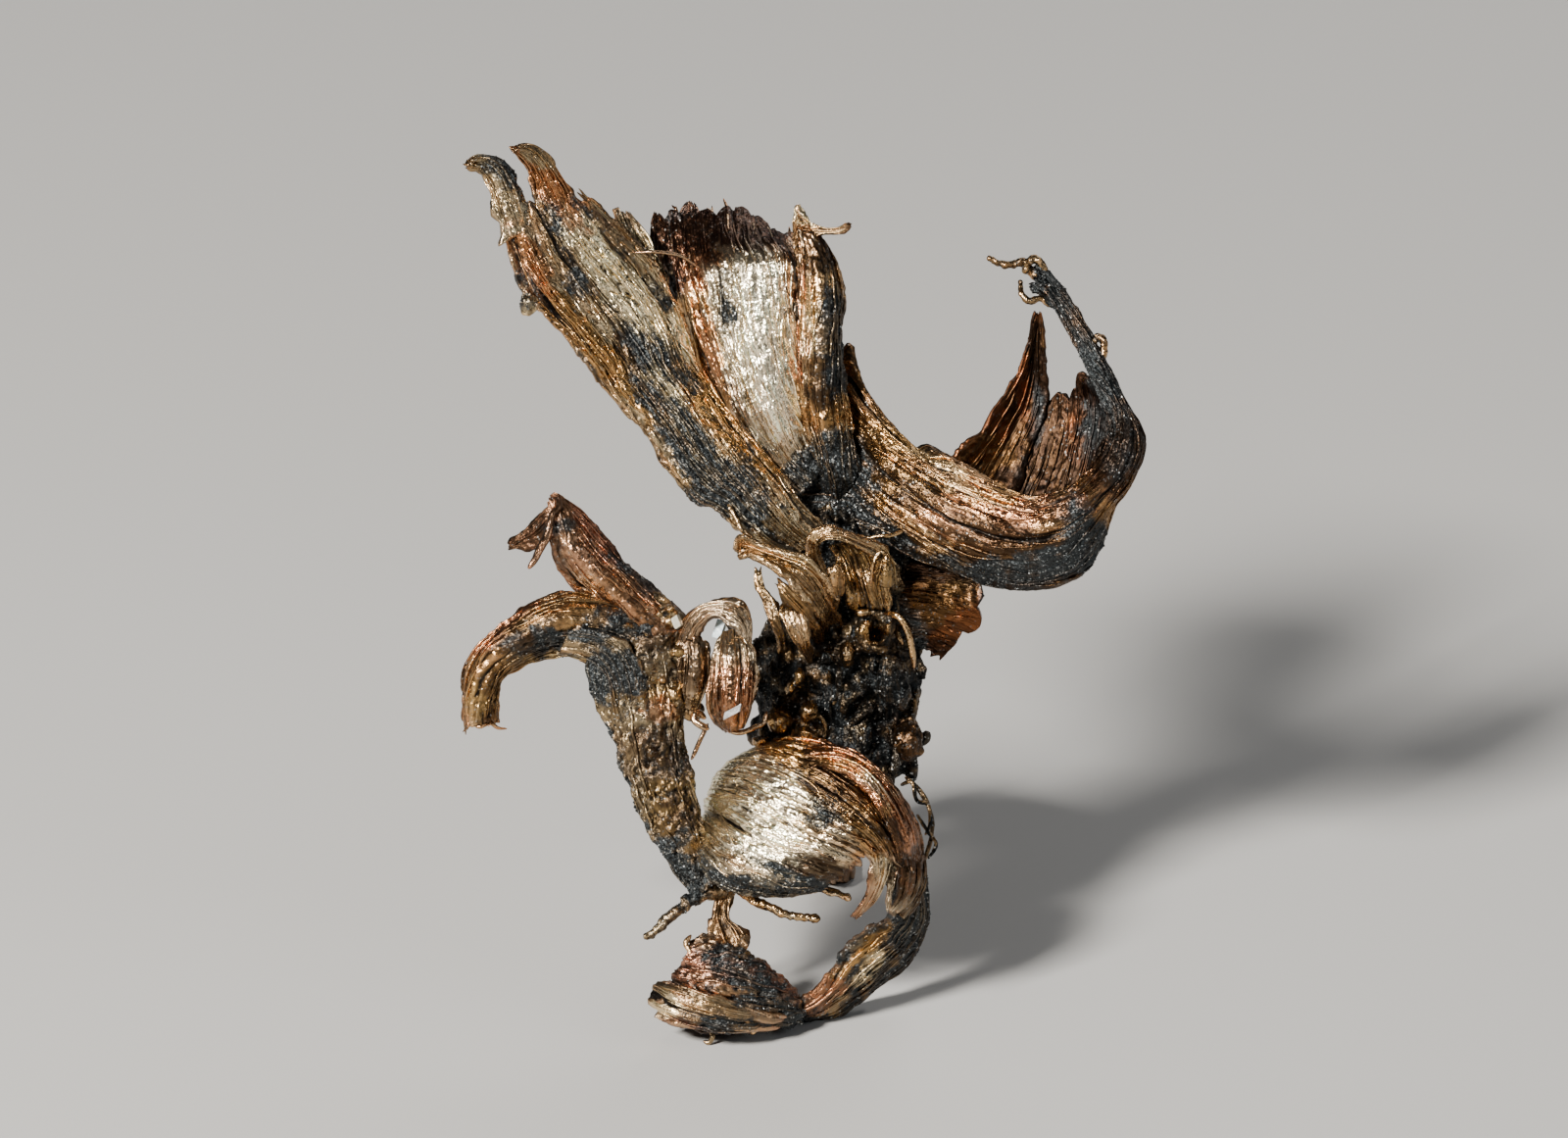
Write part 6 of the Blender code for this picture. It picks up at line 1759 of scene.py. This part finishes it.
@dataclass
class LeftArm(Branch):
    """The porous arm between the claws and the foot, with its spur."""

    node: str = "left_arm"
    metal: Metal = Metal("left_arm_silver", pale=(0.56, 0.45, 0.28), gold=(0.38, 0.245, 0.1), gloss=0.2,
                         facets=0.9)
    tones: Tones = Tones(0.55, 0.07, 0.4, 0.44, 0.1)
    pebbles: int = 70  # small lumps tried on the joint
    patches: Patches = spots(
        pale=[(-9.7, 31.2, 1, 2.4, 0, 0.4), (-10.5, 36, 1, 0.9, 0, 0.4)],
        warm=[(-13, 29.9, 3, 1.4, -20, 0.6), (-9.5, 32, 1.6, 3.4, 0, 0.8), (-10.3, 18.7, 1.2, 4, 28, 0.7)],
        copper=[(-12.3, 28.5, 1.6, 1.2, 0, 0.7)],
        smoke=[(-12, 34.3, 2.4, 1.2, 0, 0.5), (-11.3, 22.8, 1.6, 5, 22, 0.5)],
        crust=[(-17, 31, 2.2, 2.2, -60, 0.8), (-15.7, 31.7, 2, 2.4, 30, 0.9), (-10.5, 14.9, 4, 1.8, -55, 0.9),
               (-15.3, 23.7, 0.9, 5, 22, 0.8), (-15.9, 35.3, 3.6, 1, 5, 0.9)],
    )
    ribbons: Ribbons = (
        Ribbon("left_arm", 3.2, 71, 0.7, root=0.7, tip=0.8, pits=0.5, strays=5, fold=0.08, relief=0.05,
               bundle=1.8, knobs=0.26),
        Ribbon("arm_wrap", 0.9, 72, 0.42, columns=4, tip=0.3, strays=3, fold=0.24, bundle=1.3, relief=0.18),
    )

    def extra_sheets(self) -> list[Sheet]:
        """The knobbly joint of the arm and the claws, and the spur."""
        joint = [Lump((-12.7, 33.7, 0), (3.7, 4.6, 1.9), 6), Lump((-9, 28.2, -0.2), (1, 0.9, 1), 7)]
        rng = np.random.default_rng(3)
        for k in range(self.pebbles):
            across, up = rng.uniform(-15.6, -9.6), rng.uniform(27.6, 37.6)
            if (across + 12.4) ** 2 / 9 + (up - 33.0) ** 2 / 24 < 1:
                wide = rng.uniform(0.3, 0.85)
                back = rng.uniform(-1.9, -1)
                joint.append(Lump((across, up, back), (wide, wide * rng.uniform(0.7, 1.2), 0.8), 20 + k))
        spur = chain(((-5.5, 13.6, 1), (-8.5, 12.6, 0.2), (-10.9, 10.8, -0.6), (-12.2, 9.6, -0.9),
                      (-13.1, 8.9, -1)), (0.95, 0.42), 5)
        return [knobbly(joint, 0.15, self.tones, self.patches, 8, pits=0.4),
                knobbly(spur, 0.12, self.tones, self.patches, 9, pits=0.12, roughness=0.7)]


@dataclass
class UpperClaw(Branch):
    """The upper left claw, with its flap and hooked wire."""

    node: str = "upper_claw"
    metal: Metal = Metal("upper_claw_silver", pale=(0.62, 0.43, 0.27), gold=(0.4, 0.22, 0.1),
                         copper=(0.4, 0.18, 0.105), gloss=0.18)
    tones: Tones = Tones(0.6, 0.42, 0.34, 0.1, 0.4)
    patches: Patches = spots(
        pale=[(-18.2, 39.3, 1.6, 0.8, -40, 0.6)],
        warm=[(-13.8, 37.7, 3, 1.4, -35, 0.6)],
        copper=[(-23.2, 43.2, 2.5, 2.4, 0, 0.5), (-17, 42.8, 3.6, 1, -50, 0.8)],
        smoke=[(-23.3, 43.2, 2.4, 2.6), (-14.2, 40.3, 3, 1, -45, 0.9)],
        crust=[(-14.7, 34.9, 3.5, 1.2, -40, 0.6), (-20.1, 43.8, 1.2, 0.6, 0, 0.8),
               (-13.4, 38.7, 3.4, 0.9, -40, 0.7)],
    )
    ribbons: Ribbons = (
        Ribbon("upper_claw", 1.1, 81, 0.5, strays=5, fold=0.24, bundle=1.9, relief=0.1, knobs=0.13),
        Ribbon("claw_flap", 0.7, 82, 0.8, columns=3, strays=1, fold=0.08, relief=0.05, slits=0, fray=0.1),
    )

    def named_wires(self) -> list[Wire]:
        """The hooked wire on the claw."""
        return wound(((-20.7, 46.4, -1.9), (-20.5, 45.6, -2.3), (-21, 44.8, -2.8), (-21.3, 43.4, -3.2),
                      (-21.8, 42.4, -3.6), (-22.4, 41.2, -4), (-23, 40.3, -4.2)), (0.36, 0.36), 2, 8, 0.8,
                     0.5, 0)


@dataclass
class LowerClaw(Branch):
    """The lower left claw, which hooks down."""

    node: str = "lower_claw"
    metal: Metal = Metal("lower_claw_silver", pale=(0.66, 0.5, 0.28), gold=(0.42, 0.25, 0.09), gloss=0.18)
    tones: Tones = Tones(0.8, 0.14, 0.44, 0.1, 0.5)
    patches: Patches = spots(
        pale=[(-27.4, 28.7, 0.5, 2.6, 0, 0.7), (-18.8, 33.3, 3.4, 0.4, -5, 0.4)],
        warm=[(-26.8, 29.9, 1.4, 3.6, 0, 0.8)],
        copper=[(-25.9, 34.9, 5, 1.1, 38, 0.9)],
        smoke=[(-21.3, 34.5, 4, 0.9, 10, 0.7)],
        crust=[(-17, 34.5, 5, 1.5), (-15.1, 32.7, 3, 1.2, -30, 0.8)],
    )
    ribbons: Ribbons = (
        Ribbon("lower_claw", 1.1, 91, 0.46, tip=0.6, strays=9, fringe=3, fold=0.34, bundle=1.7, relief=0.2,
               knobs=0.14),
    )

    def named_wires(self) -> list[Wire]:
        """The wavy lip at the claw's end."""
        return [loose(24, 0.2, 0.3, 0.6, 0.5, (-28, 27.4, 0.1), (-27.2, 26.9, -1.2), (-26.3, 27.2, -0.4),
                      (-25.7, 26.8, 0), (-24.9, 26.7, 0.2))]


@dataclass
class ArchCurl(Branch):
    """The thin arch, with the leaves that hang in it."""

    node: str = "arch_curl"
    metal: Metal = Metal("arch_silver", pale=(0.74, 0.57, 0.38), gold=(0.42, 0.27, 0.12))
    tones: Tones = Tones(0.52, 0.2, 0.26, 0.02, 0.5)
    crystals: float = 0
    patches: Patches = spots(
        pale=[(-6.8, 37.7, 4, 0.6, 0, 0.6), (-5.3, 34.1, 2, 1.6, 0, 0.6), (-3.8, 31.2, 0.4, 3.4, 0, 0.8)],
        copper=[(-5.9, 29.9, 1.8, 2.6, 0, 0.6)],
        smoke=[(-9.2, 32, 1.8, 3.4, 0, 0.5), (-6.5, 29.1, 1, 2.6, 0, 0.6)],
    )
    ribbons: Ribbons = (
        Ribbon("arch", 0.8, 101, 0.36, columns=4, tip=0.9, strays=4, fold=0.14, relief=0.2, slits=0.1),
        Ribbon("gold_leaf", 1, 102, 0.5, columns=4, strays=2, fold=0.12, relief=0.12, slits=0.05),
        Ribbon("rolled_leaf", 1, 103, 0.32, columns=5, tip=0.8, fold=0.24, bundle=1.3, relief=0.2,
               slits=0.1),
    )

    def named_wires(self) -> list[Wire]:
        """The wires that hang from the leaves."""
        return [
            loose(20, 0.2, 0.2, -0.5, 0.5, (-7.8, 27.2, -1.6), (-8.2, 26.3, -1.5), (-8.7, 25.2, -1.3),
                  (-9.2, 24.1, -1.2)),
            loose(26, 0.24, 0.15, 0.5, 0.3, (-6.3, 26.7, -2.4), (-5.1, 26.4, -2.8), (-4, 26.8, -2.6),
                  (-3.1, 27.2, -2.2), (-2.8, 28.2, -2)),
            loose(24, 0.34, 0.15, 0.3, 0.3, (-8, 27.6, -1.6), (-8.7, 28.1, -2), (-9, 27.6, -2.2),
                  (-8.5, 27.1, -2.4), (-7.7, 26.7, -2.4)),
        ]


@dataclass
class Core(Branch):
    """The dark, lumpy middle, studded with stubs, with the golden curls that grow from it."""

    node: str = "core"
    metal: Metal = Metal("core_silver", pale=(0.72, 0.57, 0.34), gold=(0.46, 0.27, 0.09),
                         black=(0.017, 0.019, 0.02), gloss=0.14, facets=0.9)
    tones: Tones = Tones(0.55, 0.06, 0.8, 1, 0)
    patches: Patches = spots(warm=[(6.4, 34.9, 1.2, 1)], copper=[(9.2, 25.8, 1.6, 1.8, 0, 0.5)])
    ribbons: Ribbons = (
        Ribbon("front_curl", 0.7, 111, 0.3, columns=4, tip=0.8, strays=4, fold=0.14, bundle=0.9, slits=0.04,
               relief=0.14, fray=0.1, tones=GREY),
        Ribbon("under_curl", 0.6, 118, 0.36, **CORE_LEAF),
        Ribbon("back_curl", 0.8, 112, 0.3, columns=4, tip=0.8, strays=4, fold=0.2, bundle=0.7, slits=0.04,
               relief=0.2, tones=GREY),
        Ribbon("gold_knot", 1, 113, 0.4, columns=5, strays=3, fold=0.24, bundle=1.2, relief=0.14,
               tones=GOLDEN),
        Ribbon("knot_leaf", 0.6, 116, 0.36, **CORE_LEAF),
        Ribbon("knot_fold", 0.6, 117, 0.36, **CORE_LEAF),
        Ribbon("stem_leaf", 0.8, 114, 0.36, **CORE_LEAF),
        Ribbon("pointed_leaf", 0.9, 115, 0.36, **CORE_LEAF),
    )
    crystals: float = 2.2e6
    crystal_size: float = 0.00008
    studs: int = 190  # knobs and upright stubs on the big lumps
    blunt_wires: int = 90

    def lumps(self) -> list[Lump]:
        """The big lumps, and the knobs and the upright stubs that stud their front."""
        big = [Lump(*sizes) for sizes in (
            ((3.2, 31.5, 6), (7.4, 7.6, 4.6), 1), ((3, 25.5, 5.6), (7, 4.6, 4.4), 2),
            ((5, 38.5, 4.6), (5.4, 4.6, 3.8), 3), ((4.5, 42.4, 3.4), (4.2, 3, 2.8), 4),
            ((7.6, 31, 1.2), (1.2, 2.2, 1.9), 5), ((8.6, 29.6, 1.6), (0.9, 1.6, 1.6), 5),
            ((5.4, 35, 0.8), (0.8, 1.5, 1.8), 6), ((7.5, 35.4, 0.8), (0.8, 1.4, 1.8), 6),
            ((6.4, 33.6, 0.9), (1.4, 0.6, 1.7), 6), ((6.5, 36.6, 1.1), (1.3, 0.6, 1.5), 6))]
        rng = np.random.default_rng(5)
        for k in range(self.studs):
            host = big[int(rng.integers(0, 4))]
            way = rng.normal(size=3)
            way[2] = -abs(way[2]) if k % 4 else abs(way[2])
            way = unit(way)
            centre = np.array(host.centre) + way * np.array(host.size) * rng.uniform(0.96, 1.06)
            size = rng.uniform(0.4, 0.75) * np.array([1.0, rng.uniform(1.2, 2.8), rng.uniform(1.2, 2.0)])
            big.append(Lump(tuple(centre), tuple(size), 20 + k))
        return big

    def extra_sheets(self) -> list[Sheet]:
        """The lumps, melted together, and the golden beads among them."""
        beads = (
            (-1.8, 27.3, 1, 1.15, 1.3), (0.8, 28.2, 0.4, 0.95, 1.1), (0.7, 26.2, 0.3, 0.95, 0.75),
            (9.2, 25.6, 2.6, 1.5, 1.9), (4, 33.1, 0.9, 0.7, 1.2), (0, 31, 1.2, 0.6, 1.1),
            (-0.8, 30.2, 1.4, 0.5, 0.9), (5.6, 35.6, -0.2, 0.45, 0.4), (7.2, 35.3, -0.2, 0.4, 0.55),
            (6.3, 34, -0.2, 0.6, 0.4), (-3.2, 25.6, 0.8, 0.8, 0.6), (-1.5, 24.8, 0.2, 1.1, 0.6),
            (2.5, 31.2, 1.2, 0.4, 0.7),
        )
        worn = spots(smoke=[(9.2, 25.6, 2.2, 2.6)], copper=[(9.2, 25.6, 2, 2.4, 0, 0.5)])
        melted = [Lump((*bead[:3],), (*bead[3:], 1.6), 60 + k) for k, bead in enumerate(beads)]
        return [knobbly(self.lumps(), 0.2, self.tones, self.patches, 4, pits=0.3),
                knobbly(melted, 0.14, Tones(0.85, 0.14, 0.55, 0.1, 0), worn, 5, pits=0.1)]

    def stubs(self) -> list[Wire]:
        """The short blunt wires that stand out of the core's front."""
        rng = np.random.default_rng(17)
        hosts, made = self.lumps(), []
        for _ in range(self.blunt_wires):
            host = hosts[int(rng.integers(0, 4))]
            way = rng.normal(size=3) * (1, 1, 0.8)
            way[2] = -abs(way[2]) - 0.3
            way = unit(way)
            root = np.array(host.centre) + way * np.array(host.size) * 0.97
            lean = rng.normal(size=3) * (0.5, 1.3, 0.3) + way * 0.5
            aim = unit(lean) * rng.uniform(1.4, 3)
            bend = rng.normal(size=3) * 0.35
            route = smooth((root - aim * 0.3, root + way * 0.3 + aim * 0.3 + bend, root + aim * 0.8), 14)
            gold = rng.uniform() < 0.12
            made.append(Wire(route, rng.uniform(0.2, 0.4), 0.1, rng.uniform(-0.4, 0.3) if gold else -0.8, 0.2,
                             rng.uniform(0, 0.3) if gold else rng.uniform(0.8, 1)))
        return made

    def named_wires(self) -> list[Wire]:
        """The stubs, the looped wires at the core's right, and the single wires round the curls."""
        loops = (
            ((9, 22.6, 3.2), (10.2, 21.5, 2.6), (11, 19.9, 2.2), (11.3, 18, 2), (10.8, 16, 1.9),
             (10.2, 14.4, 2.4)),
            ((8.6, 21.9, 2.6), (9.6, 22.1, 2.2), (10, 20.6, 1.8), (10.9, 20.2, 1.8), (11.1, 18.6, 1.6),
             (10.5, 17.4, 1.8)),
            ((10, 19.4, 2), (10.7, 18.2, 1.6), (11.6, 16.9, 1.6), (11, 15.6, 1.8)),
        )
        wires = self.stubs()
        for k, loop in enumerate(loops):
            wires += wound(loop, (0.26 - 0.04 * k, 0.2), 2, 9 + k, 2, 0.2, 0.8)
        single = (
            (0.2, 0.5, (5.2, 43.2, -1.6), (5.8, 42.9, -2), (7, 43.1, -2.3), (8, 43.2, -2.2),
             (9.2, 43.8, -1.8)),
            (0.24, 0.3, (-6.2, 46.3, -1.2), (-5.8, 45.3, -1.6), (-5.3, 44.5, -1.8), (-5, 43.7, -2),
             (-4, 42.9, -1.9)),
            (0.3, 0.6, (7.2, 36.5, -1.6), (8.3, 36.3, -2.6), (9.1, 35.2, -2.6), (9.5, 33.5, -2),
             (9.7, 31.8, -1)),
            (0.22, 0, (6, 39, -2.6), (6.3, 40.8, -3.2), (7, 41.8, -3.2), (7.5, 40.7, -3), (7.3, 39, -2.4)),
        )
        return wires + [loose(24, radius, 0.2, tone, 0.2, *route) for radius, tone, *route in single]


@dataclass
class Ring(Branch):
    """The ribbon that curls under the shell to the floor."""

    node: str = "ring"
    metal: Metal = Metal("ring_silver", gloss=0.22)
    tones: Tones = Tones(0.7, 0.1, 0.6, 0.72, 0.5)
    patches: Patches = spots(
        pale=[(5.5, 6.7, 1.9, 0.7, 50, 0.8)],
        warm=[(5.3, 8.3, 3.6, 0.45, 42), (2.7, 5.7, 4, 0.5, 45)],
        copper=[(1.8, 4.2, 2.4, 0.7, 40, 0.9)],
        crust=[(9.3, 10.3, 1.8, 8, -8), (7.4, 4.5, 3.5, 2.2, 45), (4.5, 2.4, 5.5, 1.4, 25),
               (-1.3, 2, 2.2, 1.4, 0, 0.9)],
    )
    ribbons: Ribbons = (
        Ribbon("ring", 1.2, 121, 0.46, tip=0.9, strays=10, fold=0.34, bundle=1.7, pits=0.14, edge_wobble=0.5),
    )


@dataclass
class FootCurl(Branch):
    """The curled foot, with the plate that carries it and the drops under it."""

    node: str = "foot_curl"
    metal: Metal = Metal("foot_silver", copper=(0.5, 0.24, 0.15), gloss=0.22)
    tones: Tones = Tones(0.55, 0.34, 0.26, 0.2, 0.3)
    patches: Patches = spots(
        pale=[(-11.3, 3.5, 1.2, 1, 0, 0.7)],
        copper=[(-7.8, 6, 2.4, 1.8, 0, 0.4), (-9.2, 1.6, 2.4, 0.7, -20, 0.7), (-2.2, 4.5, 3, 0.7, -35, 0.6)],
        smoke=[(-5.7, 9.5, 1.4, 2, 0, 0.3), (-8.4, 2, 3, 0.6, -10, 0.8)],
        crust=[(-5.3, 5.6, 3, 1.1, -25), (-2.2, 2.8, 3, 1.4, -25, 0.9), (-4.7, 1.5, 4, 0.8, -8, 0.8),
               (-6.8, 7.4, 1.6, 0.7, 0, 0.9)],
    )
    ribbons: Ribbons = (
        Ribbon("foot_front", 1.4, 131, 0.44, columns=7, tip=1, fold=0.8, bundle=2.3, pits=0.3, knobs=0.3,
               relief=0.12),
        Ribbon("foot_roll", 0.9, 134, 0.42, columns=5, strays=4, fold=0.5, bundle=1, relief=0.16),
        Ribbon("foot_back", 2.4, 132, 0.45, columns=4, tip=1, strays=4, bundle=1.8),
        Ribbon("plate", 0.7, 133, 0.5, columns=3, tip=0.9, strays=2, fold=0.2, relief=0.08, knobs=0.2,
               edge_wobble=0.6),
    )

    def named_wires(self) -> list[Wire]:
        """The wires and drops that hang under the foot."""
        return [
            *wound(((-12, 3.3, -2.6), (-9.8, 4, -3.8), (-6.5, 3.3, -4.2), (-3, 2.3, -3), (-1, 2.2, -1.2)),
                   (0.85, 0.5), 7, 21, 0.5, 0.4, 0.2),
            *wound(((-11.2, 2.2, -2), (-9, 1.9, -3.2), (-5.7, 1.5, -3), (-1.5, 1.5, -1.2)), (0.7, 0.45), 6,
                   22, 0.5, 0.45, 0.3),
            loose(16, 0.22, 0.2, -0.4, 0.1, (-7.8, 1.3, -1.4), (-7.4, 0.7, -1.6), (-7.7, 0.1, -1.4),
                  (-8.2, 0.2, -1.3)),
            loose(12, 0.3, 0.3, 1, 0, (-4, 1.7, -1.2), (-3.9, 1.2, -1.4), (-4.1, 0.8, -1.3)),
            loose(16, 0.26, 0.2, 0.6, 0.2, (-9.7, 6.6, -1.6), (-9.3, 7.7, -1.4), (-9.7, 8.5, -1.2),
                  (-9.2, 9.2, -1)),
        ]


@dataclass
class RearCurl(Branch):
    """The curl behind the core, on which the specimen leans."""

    node: str = "rear_curl"
    metal: Metal = Metal("rear_curl_silver", gloss=0.28)
    tones: Tones = Tones(warm=0.42, copper=0.2, crust=0.24, edge=0.5)
    patches: Patches = spots(crust=[(2.5, 29, 5, 4, 0, 0.7)])
    ribbons: Ribbons = (
        Ribbon("root_curl", 1.7, 141, 0.45, columns=7, ragged=0.1, salt=3, tip=0.7, strays=22, fringe=8,
               fold=0.36, bundle=2),
    )


# ---- the whole --------------------------------------------------------------------------------


@dataclass(frozen=True)
class CalciteChip:
    """A chip of calcite: the node that it stands for, its middle, half sizes and turn, and its finish."""

    node: str
    centre: Triple
    size: Triple
    turn: Triple
    finish: Calcite

    def build(self) -> Object:
        """Builds the chip as a hull of points on a slanting box, with its corners broken off.

        Returns:
            The chip.
        """
        rng = np.random.default_rng(len(self.node) + sum(map(ord, self.node)))
        turned = Euler([math.radians(angle) for angle in self.turn]).to_matrix()
        shape = bmesh.new()
        for corner in itertools.product((-1, 1), repeat=3):
            for axis in range(3):
                point = np.array(corner, float)
                point[axis] *= rng.uniform(0.55, 0.85)
                point[0] += SLANT * point[1]
                shape.verts.new(np.array(self.centre) + turned @ Vector(point * self.size))
        hull = bmesh.ops.convex_hull(shape, input=shape.verts[:])
        bmesh.ops.delete(shape, geom=hull["geom_interior"] + hull["geom_unused"], context="VERTS")
        shape.verts.index_update()
        points, faces = taken(shape)
        worn = {mask: np.zeros(len(points)) for mask in MASKS}
        skin = Sheet(points, faces, points[:, :2], worn)
        chip = mesh_object(self.node + "_chip", [skin], self.finish.material())
        chip.data.shade_flat()
        joined(chip, self.node, "calcite")
        return chip


CHIPS = (
    CalciteChip("calcite_1", (-10.4, 35.8, -2.6), (0.32, 0.48, 0.32), (10, 20, 35),
                Calcite("milky_calcite", (0.5, 0.47, 0.36), 0)),
    CalciteChip("calcite_2", (-6.8, 35.2, -1.6), (0.38, 0.8, 0.3), (0, 20, -12),
                Calcite("blue_calcite", (0.55, 0.68, 0.72), 0.2)),
    CalciteChip("calcite_3", (-5.7, 28.2, -5.7), (0.8, 0.26, 0.16), (5, 10, 28),
                Calcite("clear_calcite", (0.7, 0.7, 0.68), 0.6)),
)


@dataclass
class Studio:
    """The plain floor, the soft light and the camera. Lengths are in metres."""

    floor_size: float = 6.0
    looked_at: Triple = (-1.333, 40.292, 0)  # on the sheet
    frame_width: float = 133.33 * MM
    away: float = 1.2
    sensor: float = 36.0
    nearest: float = 0.05
    lit: Triple = (0, 0, 0.04)  # what the lamps face

    def floor(self) -> None:
        """Lays a plain pale floor."""
        half = self.floor_size / 2
        mesh = bpy.data.meshes.new("floor")
        corners = [(-half, -half, 0), (half, -half, 0), (half, half, 0), (-half, half, 0)]
        mesh.from_pydata(corners, [], [(0, 1, 2, 3)])
        material, graph, shader = begun("pale_floor")
        graph.feed(shader, {"Base Color": (0.45, 0.445, 0.435, 1), "Roughness": 0.6})
        mesh.materials.append(material)
        linked("floor", mesh)

    def light(self, name: str, place_at: Triple, power: float, size: float, colour: Colour) -> None:
        """Hangs one soft lamp that faces the specimen."""
        lamp = bpy.data.lights.new(name, "AREA")
        lamp.energy, lamp.size, lamp.color = power, size, colour
        aimed(linked(name, lamp), place_at, Vector(self.lit) - Vector(place_at))

    def lights(self) -> None:
        """Hangs the lamps and sets the dim surroundings."""
        self.light("key", (-0.50, -0.62, 0.60), 30.0, 0.18, (1.0, 0.96, 0.9))
        self.light("fill", (0.8, -0.4, 0.5), 2.0, 0.5, (0.92, 0.96, 1.0))
        self.light("rim", (0.25, 0.6, 0.6), 1.8, 0.4, (1.0, 0.98, 0.95))
        world = bpy.data.worlds.new("surroundings")
        world.use_nodes = True
        Graph(world.node_tree).feed(world.node_tree.nodes["Background"],
                                    {"Color": (0.30, 0.31, 0.33, 1), "Strength": 0.15})
        bpy.context.scene.world = world

    def camera(self) -> None:
        """Sets the camera square to the sheet."""
        ahead = np.array([0.0, math.cos(LEAN), -math.sin(LEAN)])
        data = bpy.data.cameras.new("camera")
        data.sensor_width = self.sensor
        data.lens = self.sensor * self.away / self.frame_width
        data.clip_start = self.nearest
        obj = linked("camera", data)
        aimed(obj, place([self.looked_at])[0] + SHIFT - ahead * self.away, Vector(ahead))
        bpy.context.scene.camera = obj


def aimed(obj: Object, place_at: Triple, aim: Vector) -> None:
    """Stands a lamp or the camera in its place, facing along a direction."""
    obj.location = Vector(place_at)
    obj.rotation_euler = aim.to_track_quat("-Z", "Y").to_euler()


BRANCHES = (LeftFan, MiddleFan, RightFold, HornWall, HornPetals, SideFan, Core, RearCurl, LeftArm, UpperClaw,
            LowerClaw, ArchCurl, Shell, Ring, FootCurl)


def main() -> None:
    """Builds and dresses every branch, then the studio."""
    logging.basicConfig(level=logging.INFO, format="%(message)s")
    for branch in BRANCHES:
        branch().build()
    for chip in CHIPS:
        chip.build()
    studio = Studio()
    studio.floor()
    studio.lights()
    studio.camera()


if __name__ == "__main__":
    main()
